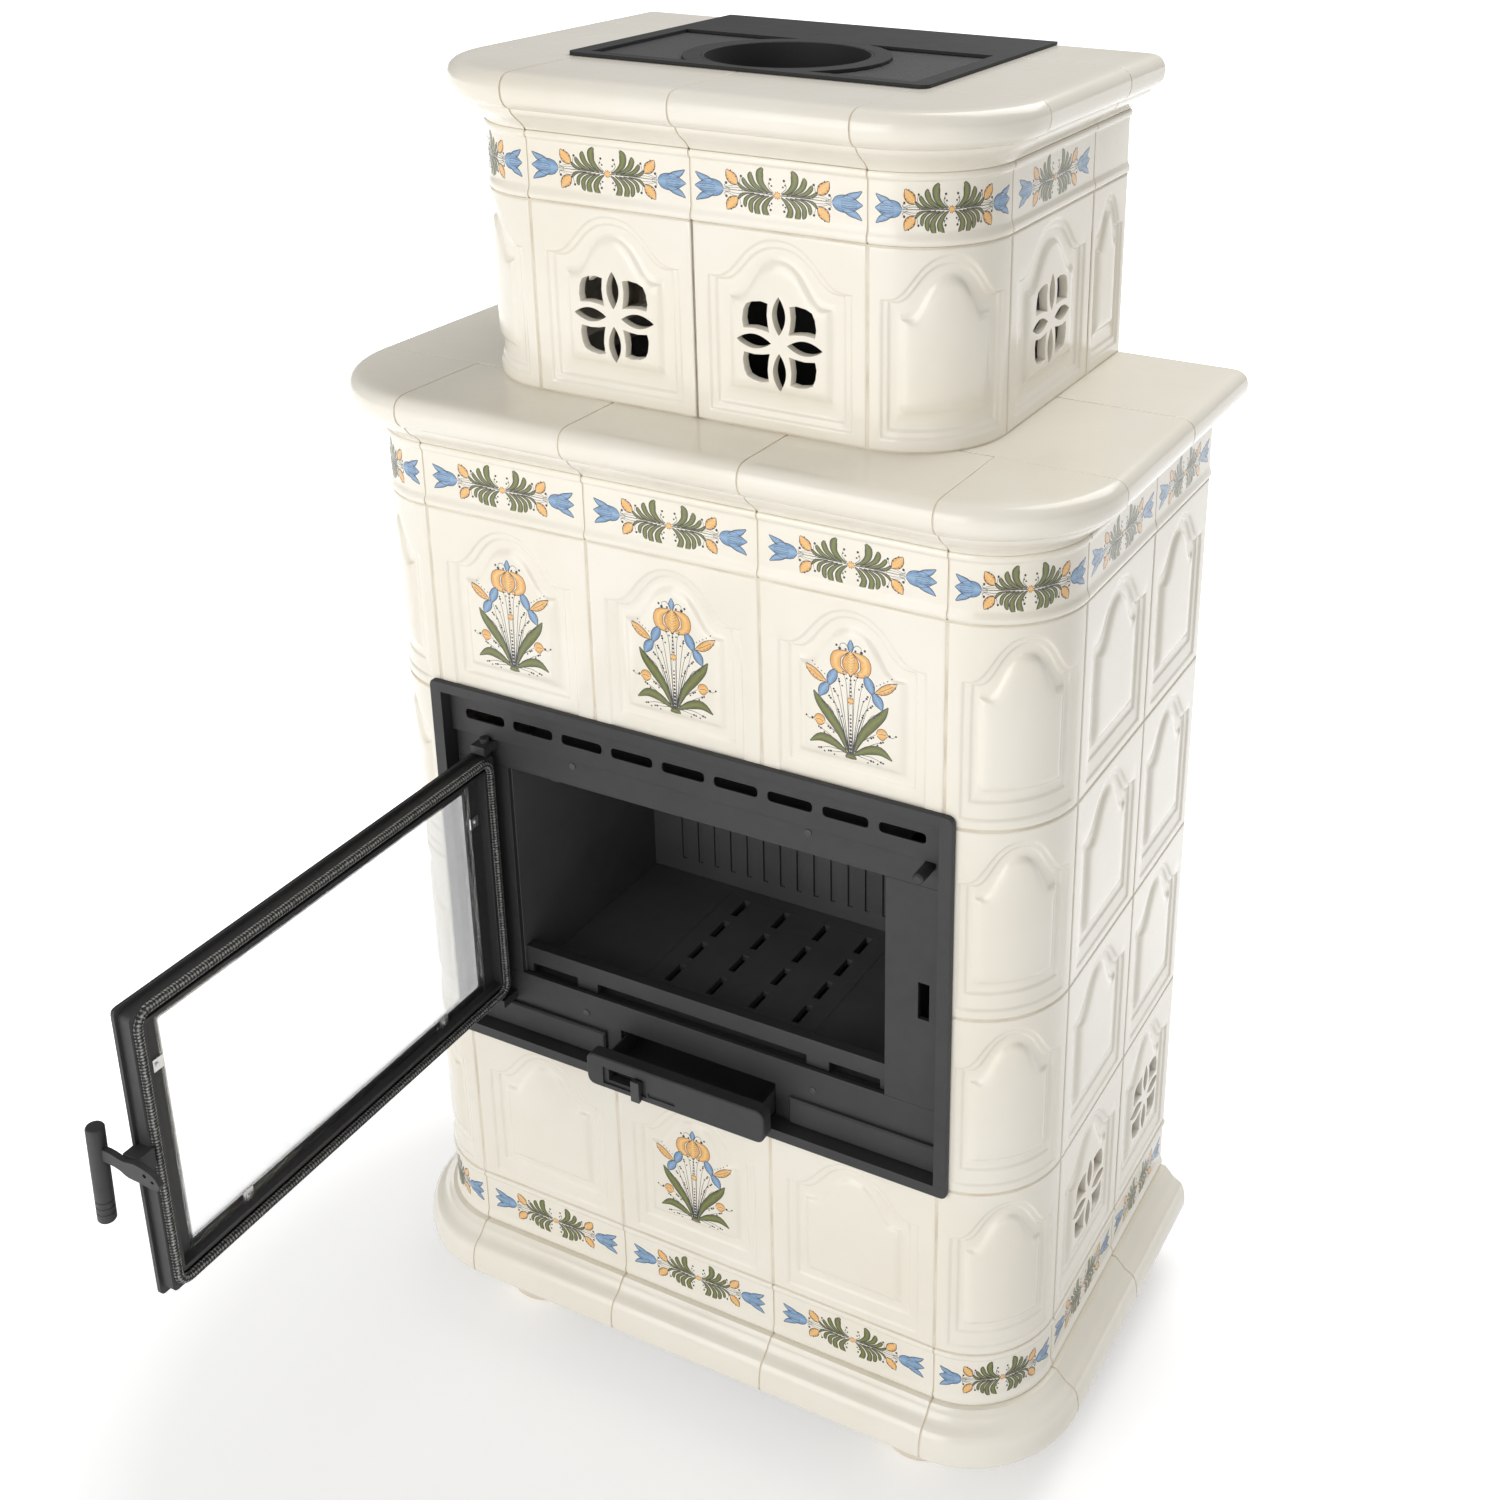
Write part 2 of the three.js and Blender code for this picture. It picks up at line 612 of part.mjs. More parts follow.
/** Tiles in equal rows and given columns, starting at one lower corner. */
function tileGrid(startX, widths, startZ, height, rows, extra = {}) {
  const tiles = [];
  for (let row = 0; row < rows; row += 1) {
    let x = startX;
    for (const width of widths) {
      tiles.push({ x, z: startZ + row * height, width, height, ...extra });
      x += width;
    }
  }
  return tiles;
}

/** Places a face-on wall at the stove's front. */
function onFront(mesh, y) {
  mesh.quaternion.setFromRotationMatrix(FRONT);
  mesh.position.y = y;
  return mesh;
}

/** The right and left copies of a face-on side wall; its x runs to the rear. */
function onSides(names, solid, sideX, material) {
  const right = solid.transform(SIDE.elements).translate([sideX, 0, 0]);
  return [piece(names[0], mirrored(right), material), piece(names[1], right, material)];
}

// ---------------------------------------------------------------- quarter-round tiles
/** The relief's ring between two arches, bent round a corner of the given radius. */
function cornerRelief(radius, height) {
  const width = (Math.PI / 2) * radius;
  const bent = (arch) => {
    const flat = archPoints(width, height, arch);
    return polygon(flat.map(([x, z]) => [radius * Math.sin(x / radius), z]));
  };
  const outer = extruded(bent(RECESS_ARCH), 0, REACH, FRONT);
  const inner = extruded(bent(PANEL_ARCH), 0, REACH, FRONT);
  const faceOn = outer.subtract(inner).rotate([0, 0, 45]);
  const band = ringSector(radius + 1, radius - RELIEF_DEPTH, 0, height);
  return faceOn.intersect(band);
}

/** A quarter ring with its centre on the z axis, in the quadrant x > 0, y < 0. */
function ringSector(outer, inner, low, high) {
  const shape = new THREE.Shape();
  shape.absarc(0, 0, outer, -Math.PI / 2, 0);
  shape.lineTo(inner, 0);
  shape.absarc(0, 0, inner, 0, -Math.PI / 2, true);
  shape.closePath();
  return extruded(shape, low, high, PLAN, CORNER_STEPS);
}

/** A stack of quarter-round tiles, centred on its axis, with joints between the rows. */
function cornerStack(radius, height, rows) {
  const joints = [];
  for (let row = 0; row <= rows; row += 1) {
    const z = row * height;
    joints.push(ringSector(radius + 1, radius - RELIEF_DEPTH, z - HALF_JOINT, z + HALF_JOINT));
  }
  const relief = cornerRelief(radius, height);
  const reliefs = Array.from({ length: rows }, (_, row) => moved(relief, 0, 0, row * height));
  const shell = ringSector(radius, radius - WALL, HALF_GAP, rows * height - HALF_GAP);
  const edge = HALF_JOINT;
  const trim = [
    block(-1, edge, -radius - 1, -radius + RELIEF_DEPTH, -1, rows * height + 1),
    block(radius - RELIEF_DEPTH, radius + 1, -edge, 1, -1, rows * height + 1),
    block(-1, HALF_GAP, -radius - 1, 1, -1, rows * height + 1),
    block(-1, radius + 1, -HALF_GAP, 1, -1, rows * height + 1),
  ];
  return cut(shell, [...joints, ...reliefs, ...trim]);
}

function cornerPair(names, stack, centreX, centreY, low) {
  const right = moved(stack, centreX, centreY, low);
  return [piece(names[0], mirrored(right), glaze), piece(names[1], right, glaze)];
}

// ---------------------------------------------------------------- mouldings and friezes
/** The wall's plan: half width of its straight front, corner radius and front plane. */
const LOWER_PLAN = { half: FRONT_HALF, radius: CORNER_RADIUS, front: 0 };
const UPPER_PLAN = { half: UPPER_FRONT_HALF, radius: UPPER_CORNER_RADIUS, front: UPPER_SETBACK };

const shifted = (profile, out, up) => profile.map(([d, z]) => [d + out, z + up]);

/** A straight moulding along the front, from its profile of [outward, z]. */
const frontBar = (profile, plan, x0, x1) =>
  moved(extruded(polygon(profile), -x1, -x0, FRONT_PROFILE), 0, plan.front, 0);

/** A straight moulding along the right side. */
const sideBar = (profile, plan, y0, y1) =>
  moved(extruded(polygon(profile), -y1, -y0, SIDE_PROFILE), plan.half + plan.radius, 0, 0);

/** The moulding's right corner, a quarter of a body of revolution. */
function cornerBar(profile, plan) {
  const ring = [...profile, profile[0]].map(([d, z]) => [plan.radius + d, z]);
  const whole = revolved(ring, 4 * MOULDING_STEPS);
  const quarter = whole.intersect(block(0, REACH, -REACH, 0, -REACH, 2 * REACH));
  return moved(quarter, plan.half, plan.front + plan.radius, 0);
}

/** Cuts the joint between two mouldings: all that stands proud of the sunk profile. */
function jointShape(profile) {
  const distances = profile.map(([d]) => d);
  const heights = profile.map(([, z]) => z);
  const margin = 5;
  const sunk = shifted(profile, -RELIEF_DEPTH / 2, -RELIEF_DEPTH / 2);
  const low = Math.min(...heights) - margin;
  const high = Math.max(...heights) + margin;
  const outer = rectangle(Math.min(...distances) - margin, Math.max(...distances) + margin, low, high);
  return withHoles(outer, [polygon(sunk)]);
}

const frontJoint = (profile, plan, x) =>
  moved(
    extruded(jointShape(profile), -x - HALF_JOINT, -x + HALF_JOINT, FRONT_PROFILE),
    0,
    plan.front,
    0,
  );

const sideJoint = (profile, plan, y) =>
  moved(
    extruded(jointShape(profile), -y - HALF_JOINT, -y + HALF_JOINT, SIDE_PROFILE),
    plan.half + plan.radius,
    0,
    0,
  );

/** A moulding all round the front and both sides, with its joints cut. */
function wrapped(profile, plan, frontJoints, sideJoints) {
  const start = plan.front + plan.radius;
  const right = join([
    cornerBar(profile, plan),
    sideBar(profile, plan, start, REAR_Y - HALF_GAP),
    frontBar(profile, plan, 0, plan.half),
  ]);
  const rightCuts = [
    ...frontJoints.map((x) => frontJoint(profile, plan, x)),
    ...sideJoints.map((y) => sideJoint(profile, plan, y)),
  ];
  const rightHalf = cut(right, rightCuts);
  return join([rightHalf, mirrored(rightHalf)]);
}

/** The frieze's face: a roll at the top and the bottom, a shallow hollow between them. */
function friezeProfile(low, height) {
  const high = low + height - HALF_GAP;
  const base = low + HALF_GAP;
  return [
    [-WALL, base],
    [0, base],
    [FRIEZE_ROLL_OUT, base + FRIEZE_ROLL / 2],
    [-FRIEZE_HOLLOW, base + FRIEZE_ROLL],
    [-FRIEZE_HOLLOW, high - FRIEZE_ROLL],
    [FRIEZE_ROLL_OUT, high - FRIEZE_ROLL / 2],
    [0, high],
    [-WALL, high],
  ];
}

/** The cornice's outline: an ogee below a bullnose that ends in the flat slab top. */
function corniceOutline(low) {
  const reach = CORNICE_OVERHANG;
  const high = low + CORNICE_HEIGHT - HALF_GAP;
  const base = low + HALF_GAP;
  return [
    [0, base],
    [0.25 * reach, base + 9],
    [0.56 * reach, base + 20],
    [0.72 * reach, base + 25],
    [0.92 * reach, base + 34],
    [reach, base + 44],
    [0.95 * reach, high - 7],
    [0.72 * reach, high - 1],
    [0.37 * reach, high],
  ];
}

/** The cornice's section with its slab running back to the given depth. */
function corniceProfile(low, depth) {
  const high = low + CORNICE_HEIGHT - HALF_GAP;
  const under = high - SLAB_THICKNESS;
  return [
    [-depth, under],
    [-WALL, under],
    [-WALL, low + HALF_GAP],
    ...corniceOutline(low),
    [-depth, high],
  ];
}

/** The plinth's section: a roll that runs in to the frieze above. */
function plinthProfile(low) {
  const reach = CORNICE_OVERHANG;
  const high = low + PLINTH_HEIGHT - HALF_GAP;
  const base = low + HALF_GAP;
  return [
    [-WALL, base],
    [0.9 * reach, base],
    [reach, base + 10],
    [reach, base + 24],
    [0.88 * reach, high - 22],
    [0.72 * reach, high - 16],
    [0.42 * reach, high - 9],
    [0.3 * reach, high - 5],
    [0.18 * reach, high],
    [-WALL, high],
  ];
}

/** The corner's slab, filled to its centre. */
function filledCorner(low, plan) {
  const high = low + CORNICE_HEIGHT - HALF_GAP;
  const under = high - SLAB_THICKNESS;
  const section = [
    [0, under],
    [plan.radius - WALL, under],
    [plan.radius - WALL, low + HALF_GAP],
    ...corniceOutline(low).map(([d, z]) => [plan.radius + d, z]),
    [0, high],
  ];
  const whole = revolved(section, 4 * MOULDING_STEPS);
  const quarter = whole.intersect(block(0, REACH, -REACH, 0, -REACH, 2 * REACH));
  return moved(quarter, plan.half, plan.front + plan.radius, 0);
}

/** The three nodes of a cornice: the front slabs, and a corner with its side slabs each side. */
function cornice(prefix, low, plan, innerX, innerY, frontJoints, sideJoints) {
  const frontProfile = corniceProfile(low, innerY - plan.front);
  const sideProfile = corniceProfile(low, plan.half + plan.radius - innerX);
  const start = plan.front + plan.radius;
  const front = cut(
    frontBar(frontProfile, plan, -plan.half + HALF_GAP, plan.half - HALF_GAP),
    frontJoints.map((x) => frontJoint(frontProfile, plan, x)),
  );
  const right = cut(
    join([filledCorner(low, plan), sideBar(sideProfile, plan, start, REAR_Y - HALF_GAP)]),
    sideJoints.map((y) => sideJoint(sideProfile, plan, y)),
  );
  return [
    piece(`${prefix}_front`, front, glaze),
    piece(`${prefix}_left`, mirrored(right), glaze),
    piece(`${prefix}_right`, right, glaze),
  ];
}

// ---------------------------------------------------------------- ceramic body
function feet() {
  const high = PLINTH_LOW - HALF_GAP;
  const low = PLINTH_LOW - FOOT_HEIGHT;
  const section = [
    [0, low],
    [FOOT_RADIUS - FOOT_EDGE, low],
    [FOOT_RADIUS - FOOT_EDGE * 0.3, low + FOOT_EDGE * 0.3],
    [FOOT_RADIUS, low + FOOT_EDGE],
    [FOOT_RADIUS, high],
    [0, high],
  ];
  const foot = revolved(section, FOOT_STEPS);
  const places = [
    ['foot_front_left', -FOOT_X, FOOT_INSET_Y],
    ['foot_front_right', FOOT_X, FOOT_INSET_Y],
    ['foot_rear_left', -FOOT_X, REAR_Y - FOOT_INSET_Y],
    ['foot_rear_right', FOOT_X, REAR_Y - FOOT_INSET_Y],
  ];
  return places.map(([name, x, y]) => {
    const mesh = piece(name, foot, footGlaze);
    mesh.position.set(x, y, 0);
    return mesh;
  });
}

function lowerTier() {
  const frontWidths = Array(FRONT_COLUMNS).fill(TILE_WIDTH);
  const bottomRow = tileWall(tileGrid(-FRONT_HALF, frontWidths, 0, TILE_HEIGHT, 1));
  const topRow = tileWall(
    tileGrid(-FRONT_HALF, frontWidths, (LOWER_ROWS - 1) * TILE_HEIGHT, TILE_HEIGHT, 1),
  );
  const notch = extruded(
    rectangle(
      -RECESS_HALF_WIDTH - RECESS_WALL - FIT_GAP,
      RECESS_HALF_WIDTH + RECESS_WALL + FIT_GAP,
      LIP_LOW,
      RECESS_HIGH + RECESS_WALL + FIT_GAP,
    ),
    -2 * WALL,
    WALL,
  );
  const sideWall = tileWall(
    tileGrid(CORNER_RADIUS, SIDE_TILE_WIDTHS, TILE_HEIGHT, TILE_HEIGHT, LOWER_ROWS - 1),
  );
  const sideRosettes = tileWall(
    tileGrid(CORNER_RADIUS, SIDE_TILE_WIDTHS, 0, TILE_HEIGHT, 1, { pierced: true }),
  );
  const corner = cornerStack(CORNER_RADIUS, TILE_HEIGHT, LOWER_ROWS);
  const frontJoints = [TILE_WIDTH / 2, FRONT_HALF];
  const sideJoints = [CORNER_RADIUS, CORNER_RADIUS + SIDE_TILE_WIDTHS[0]];
  const wrap = (profile) => wrapped(profile, LOWER_PLAN, frontJoints, sideJoints);
  return [
    piece('plinth', wrap(plinthProfile(PLINTH_LOW)), glaze),
    piece('base_frieze', wrap(friezeProfile(-BASE_FRIEZE_HEIGHT, BASE_FRIEZE_HEIGHT)), glaze),
    onFront(piece('row4_front_tiles', bottomRow, glaze), 0),
    onFront(piece('row1_front_tiles', topRow.subtract(notch), glaze), 0),
    ...cornerPair(['corner_left', 'corner_right'], corner, FRONT_HALF, CORNER_RADIUS, 0),
    ...onSides(['side_wall_left', 'side_wall_right'], sideWall, SIDE_X, glaze),
    ...onSides(['side_rosette_left', 'side_rosette_right'], sideRosettes, SIDE_X, glaze),
    piece('top_frieze', wrap(friezeProfile(WALL_TOP, FRIEZE_HEIGHT)), glaze),
    ...cornice(
      'lower_cornice',
      FRIEZE_TOP,
      LOWER_PLAN,
      LOWER_SLAB_INNER_X,
      LOWER_SLAB_INNER_Y,
      [-TILE_WIDTH / 2, TILE_WIDTH / 2],
      [CORNER_RADIUS - SLAB_CORNER_JOINT, CORNER_RADIUS + SIDE_TILE_WIDTHS[0]],
    ),
  ];
}

function upperTier() {
  const frontWidths = Array(UPPER_COLUMNS).fill(UPPER_TILE_WIDTH);
  const pierced = { pierced: true };
  const front = tileWall(
    tileGrid(-UPPER_FRONT_HALF, frontWidths, SLAB_TOP, UPPER_TILE_HEIGHT, 1, pierced),
  );
  const rosetteTile = tileGrid(
    UPPER_SIDE_START_Y,
    [UPPER_SIDE_TILE_WIDTH],
    SLAB_TOP,
    UPPER_TILE_HEIGHT,
    1,
    pierced,
  );
  const halfTile = tileGrid(
    UPPER_SIDE_START_Y + UPPER_SIDE_TILE_WIDTH,
    [UPPER_HALF_TILE_WIDTH],
    SLAB_TOP,
    UPPER_TILE_HEIGHT,
    1,
    { narrow: true },
  );
  const side = tileWall([...rosetteTile, ...halfTile]);
  const corner = cornerStack(UPPER_CORNER_RADIUS, UPPER_TILE_HEIGHT, 1);
  const sideJoints = [UPPER_SIDE_START_Y, UPPER_SIDE_START_Y + UPPER_SIDE_TILE_WIDTH];
  return [
    onFront(piece('upper_rosette_front', front, glaze), UPPER_SETBACK),
    ...cornerPair(
      ['upper_corner_left', 'upper_corner_right'],
      corner,
      UPPER_FRONT_HALF,
      UPPER_SIDE_START_Y,
      SLAB_TOP,
    ),
    ...onSides(['upper_side_left', 'upper_side_right'], side, UPPER_SIDE_X, glaze),
    piece(
      'upper_frieze',
      wrapped(
        friezeProfile(UPPER_WALL_TOP, UPPER_FRIEZE_HEIGHT),
        UPPER_PLAN,
        [0, UPPER_FRONT_HALF],
        sideJoints,
      ),
      glaze,
    ),
    ...cornice(
      'upper_cornice',
      UPPER_FRIEZE_TOP,
      UPPER_PLAN,
      UPPER_SLAB_INNER_X,
      UPPER_SLAB_INNER_Y,
      [0],
      [UPPER_SIDE_START_Y, UPPER_SLAB_SIDE_JOINT_Y],
    ),
  ];
}

// ---------------------------------------------------------------- top and carcass
const circle = (x, y, radius) => new THREE.Shape().absarc(x, y, radius, 0, 2 * Math.PI);

/** The two mesh windows of the top plate: a rectangle without the flue's rim. */
function topWindows(low, high) {
  const outer = extruded(
    rectangle(-WINDOW_HALF_WIDTH, WINDOW_HALF_WIDTH, WINDOW_FRONT_Y, WINDOW_BACK_Y),
    low,
    high,
  );
  return outer.subtract(extruded(circle(0, FLUE_CENTRE_Y, FLUE_RIM_RADIUS), low, high, PLAN, ROUND_STEPS));
}

function topPieces() {
  const low = UPPER_SLAB_TOP + HALF_GAP;
  const high = low + TOP_PLATE_THICKNESS;
  const rear = REAR_Y - HALF_GAP;
  const outline = new THREE.Shape();
  const turn = TOP_PLATE_CORNER;
  const half = TOP_PLATE_HALF_WIDTH;
  outline.moveTo(half, rear);
  outline.lineTo(-half, rear);
  outline.absarc(-half + turn, TOP_PLATE_FRONT_Y + turn, turn, Math.PI, 1.5 * Math.PI);
  outline.absarc(half - turn, TOP_PLATE_FRONT_Y + turn, turn, 1.5 * Math.PI, 2 * Math.PI);
  outline.closePath();
  const flueHole = extruded(
    circle(0, FLUE_CENTRE_Y, FLUE_RADIUS),
    low - 1,
    high + 1,
    PLAN,
    ROUND_STEPS,
  );
  const plate = cut(extruded(outline, low, high), [flueHole, topWindows(low - 1, high + 1)]);

  const meshHigh = low - FIT_GAP;
  const sheet = extruded(
    rectangle(
      -WINDOW_HALF_WIDTH - MESH_BORDER,
      WINDOW_HALF_WIDTH + MESH_BORDER,
      WINDOW_FRONT_Y - MESH_BORDER,
      WINDOW_BACK_Y + MESH_BORDER,
    ),
    meshHigh - MESH_THICKNESS,
    meshHigh,
  );
  const pipeOuter = FLUE_RADIUS - PIN_GAP;
  const collar = extruded(
    circle(0, FLUE_CENTRE_Y, pipeOuter + FIT_GAP),
    meshHigh - MESH_THICKNESS - 1,
    meshHigh + 1,
    PLAN,
    ROUND_STEPS,
  );
  const pipeLow = FIREBOX_TOP_Z + FIT_GAP;
  const pipe = revolved(
    [
      [pipeOuter - FLUE_WALL, pipeLow],
      [pipeOuter, pipeLow],
      [pipeOuter, high],
      [pipeOuter - FLUE_WALL, high],
      [pipeOuter - FLUE_WALL, pipeLow],
    ],
    ROUND_STEPS,
  );
  const fluePipe = piece('flue_pipe', pipe, castIron);
  fluePipe.position.y = FLUE_CENTRE_Y;
  return [
    piece('top_plate', plate, castIron),
    piece('mesh_panel', sheet.subtract(collar), darkSteel),
    fluePipe,
  ];
}

/** One step of the back panel: a sheet with its side edges folded forward. */
function backSheet(halfWidth, low, high) {
  const rear = REAR_Y - BACK_PANEL_INSET;
  const front = rear - BACK_PANEL_THICKNESS;
  const flange = front - BACK_PANEL_FLANGE;
  const inner = halfWidth - BACK_PANEL_THICKNESS;
  const outline = polygon([
    [-halfWidth, flange],
    [-inner, flange],
    [-inner, front],
    [inner, front],
    [inner, flange],
    [halfWidth, flange],
    [halfWidth, rear],
    [-halfWidth, rear],
  ]);
  return extruded(outline, low, high);
}

function carcass() {
  const baseLow = PLINTH_LOW + HALF_GAP;
  const baseHigh = baseLow + BASE_PLATE_THICKNESS;
  const lowerHalf = SIDE_X - WALL - FIT_GAP;
  const upperHalf = UPPER_SIDE_X - WALL - FIT_GAP;
  const turn = CORNER_RADIUS - WALL - FIT_GAP;
  const outline = new THREE.Shape();
  outline.moveTo(lowerHalf, REAR_Y - HALF_GAP);
  outline.lineTo(-lowerHalf, REAR_Y - HALF_GAP);
  outline.absarc(-FRONT_HALF, CORNER_RADIUS, turn, Math.PI, 1.5 * Math.PI);
  outline.absarc(FRONT_HALF, CORNER_RADIUS, turn, 1.5 * Math.PI, 2 * Math.PI);
  outline.closePath();
  const base = extruded(outline, baseLow, baseHigh, PLAN, MOULDING_STEPS);
  const stepHigh = SLAB_TOP - SLAB_THICKNESS - FIT_GAP;
  const upperHigh = UPPER_SLAB_TOP - SLAB_THICKNESS - FIT_GAP;
  const upperSheetHalf = Math.min(upperHalf, LOWER_SLAB_INNER_X - FIT_GAP);
  const back = join([
    backSheet(lowerHalf, baseHigh + FIT_GAP, stepHigh),
    backSheet(upperSheetHalf, stepHigh, upperHigh),
  ]);
  return [piece('base_plate', base, sheetSteel), piece('back_panel', back, sheetSteel)];
}

// ---------------------------------------------------------------- firebox insert
/** Front-plane outline of the closed drawer's passage through the seat. */
const drawerPassage = () =>
  rectangle(
    -DRAWER_HALF_WIDTH - DRAWER_SIDE_GAP,
    DRAWER_HALF_WIDTH + DRAWER_SIDE_GAP,
    DRAWER_FRONT_LOW,
    DRAWER_FRONT_HIGH,
  );

/** The trim lip round the insert with the shallow recess behind it. */
function insertFrame() {
  const recess = [-RECESS_HALF_WIDTH, RECESS_HALF_WIDTH, RECESS_LOW, RECESS_HIGH];
  const casing = [
    -RECESS_HALF_WIDTH - RECESS_WALL,
    RECESS_HALF_WIDTH + RECESS_WALL,
    RECESS_LOW - RECESS_WALL,
    RECESS_HIGH + RECESS_WALL,
  ];
  const lipOutline = roundedRectangle(
    -LIP_HALF_WIDTH,
    LIP_HALF_WIDTH,
    LIP_LOW,
    LIP_HIGH,
    LIP_CORNER,
  );
  const back = SEAT_Y + SEAT_THICKNESS;
  const lip = bevelledFrontPlate(lipOutline, LIP_FRONT_Y, -FIT_GAP, LIP_BEVEL);
  const tube = frontPlate(rectangle(...casing), LIP_FRONT_Y / 2, back);
  const opening = frontPlate(rectangle(...recess), LIP_FRONT_Y - 1, back + 1);
  return piece('insert_frame', cut(join([lip, tube]), [opening]), castIron);
}

/**
 * The four bars that the door shuts against: two rails across the whole recess and two stiles
 * between them, round the fire mouth. The lower rail carries a raised plate on each side of the
 * drawer's way in.
 */
function seatBars() {
  const side = RECESS_HALF_WIDTH - FIT_GAP;
  const [front, back] = [SEAT_Y, SEAT_Y + SEAT_THICKNESS];
  const through = (hole, arcSteps) => frontPlate(hole, front - 1, back + 1, arcSteps);
  const bar = (x0, x1, low, high) => frontPlate(rectangle(x0, x1, low, high), front, back);

  const rodHole = circle(ROD_X, ROD_Z, ROD_RADIUS + PIN_GAP);
  const upperRail = bar(-side, side, MOUTH_HIGH, SEAT_HIGH).subtract(through(rodHole, PIN_STEPS));

  const plateOutline = rectangle(
    LOWER_PLATE_INNER_X,
    LOWER_PLATE_OUTER_X,
    LOWER_PLATE_LOW,
    LOWER_PLATE_HIGH,
  );
  const rightPlate = bevelledFrontPlate(plateOutline, FASCIA_Y, front, LOWER_PLATE_BEVEL);
  const wholeRail = bar(-side, side, RECESS_LOW + FIT_GAP, MOUTH_LOW);
  const lowerRail = wholeRail.subtract(through(drawerPassage()));

  const keeper = rectangle(
    KEEPER_X - KEEPER_WIDTH / 2,
    KEEPER_X + KEEPER_WIDTH / 2,
    KEEPER_LOW,
    KEEPER_HIGH,
  );
  const stile = bar(MOUTH_HALF_WIDTH, side, MOUTH_LOW + FIT_GAP, MOUTH_HIGH - FIT_GAP);
  return [
    piece('seat_rail_upper', upperRail, castIron),
    piece('seat_rail_lower', join([lowerRail, rightPlate, mirrored(rightPlate)]), castIron),
    piece('seat_stile_left', mirrored(stile), castIron),
    piece('seat_stile_right', stile.subtract(through(keeper)), castIron),
  ];
}

function fascia() {
  const half = RECESS_HALF_WIDTH - FIT_GAP;
  const slots = Array.from({ length: FASCIA_SLOTS }, (_, slot) => {
    const centre = (slot - (FASCIA_SLOTS - 1) / 2) * FASCIA_SLOT_PITCH;
    return roundedRectangle(
      centre - FASCIA_SLOT_LENGTH / 2,
      centre + FASCIA_SLOT_LENGTH / 2,
      FASCIA_SLOT_LOW,
      FASCIA_SLOT_HIGH,
      (FASCIA_SLOT_HIGH - FASCIA_SLOT_LOW) / 3,
    );
  });
  const outline = rectangle(-half, half, FASCIA_LOW, RECESS_HIGH - FIT_GAP);
  const face = frontPlate(withHoles(outline, slots), FASCIA_Y, FASCIA_Y + FASCIA_THICKNESS, 2);
  const foot = block(
    -half,
    half,
    FASCIA_Y,
    SEAT_Y - FIT_GAP,
    FASCIA_LOW,
    FASCIA_LOW + FASCIA_THICKNESS,
  );
  return piece('fascia_plate', face.add(foot), castIron);
}

function firebox() {
  const seatBack = SEAT_Y + SEAT_THICKNESS + FIT_GAP;
  const half = FIREBOX_HALF_WIDTH;
  const outer = half + FIREBOX_WALL;
  const low = FIREBOX_FLOOR_Z - FIREBOX_FLOOR_THICKNESS;
  const rearInner = FIREBOX_OUTER_REAR_Y - FIREBOX_WALL;
  const grooves = Array.from({ length: GROOVE_COUNT }, (_, index) => {
    const centre = (index - (GROOVE_COUNT - 1) / 2) * GROOVE_PITCH;
    return block(
      centre - GROOVE_WIDTH / 2,
      centre + GROOVE_WIDTH / 2,
      FIREBOX_REAR_Y - 1,
      FIREBOX_REAR_Y + GROOVE_DEPTH,
      FIREBOX_FLOOR_Z + GROOVE_START,
      FIREBOX_LINING_HIGH + 1,
    );
  });
  const body = block(-outer, outer, seatBack, FIREBOX_OUTER_REAR_Y, low, FIREBOX_TOP_Z);
  const chamberHigh = FIREBOX_TOP_Z - FIREBOX_WALL;
  const chamber = block(-half, half, seatBack - 1, FIREBOX_REAR_Y, low - 1, chamberHigh);
  const rearFlue = block(
    -half,
    half,
    FIREBOX_REAR_Y + FIREBOX_LINING,
    rearInner,
    FIREBOX_FLOOR_Z,
    chamberHigh,
  );
  const overLining = block(
    -half,
    half,
    FIREBOX_REAR_Y - 1,
    rearInner,
    FIREBOX_LINING_HIGH,
    chamberHigh,
  );
  const outlet = moved(
    cylinder(FLUE_RADIUS - FLUE_WALL - PIN_GAP, chamberHigh - 1, FIREBOX_TOP_Z + 1, 'z', ROUND_STEPS),
    0,
    FLUE_CENTRE_Y,
    0,
  );
  const ledge = block(
    -half - 1,
    -half + BAFFLE_LEDGE,
    BAFFLE_FRONT_Y,
    FIREBOX_REAR_Y + 1,
    BAFFLE_Z - BAFFLE_THICKNESS,
    BAFFLE_Z - FIT_GAP,
  );
  const shell = cut(body, [chamber, rearFlue, overLining, outlet, ...grooves]);
  const baffle = block(
    -half + FIT_GAP,
    half - FIT_GAP,
    BAFFLE_FRONT_Y,
    FIREBOX_REAR_Y - FIT_GAP,
    BAFFLE_Z,
    BAFFLE_Z + BAFFLE_THICKNESS,
  );
  return [
    piece('firebox_shell', join([shell, ledge, mirrored(ledge)]), castIron),
    piece('smoke_baffle', baffle, castIron),
  ];
}

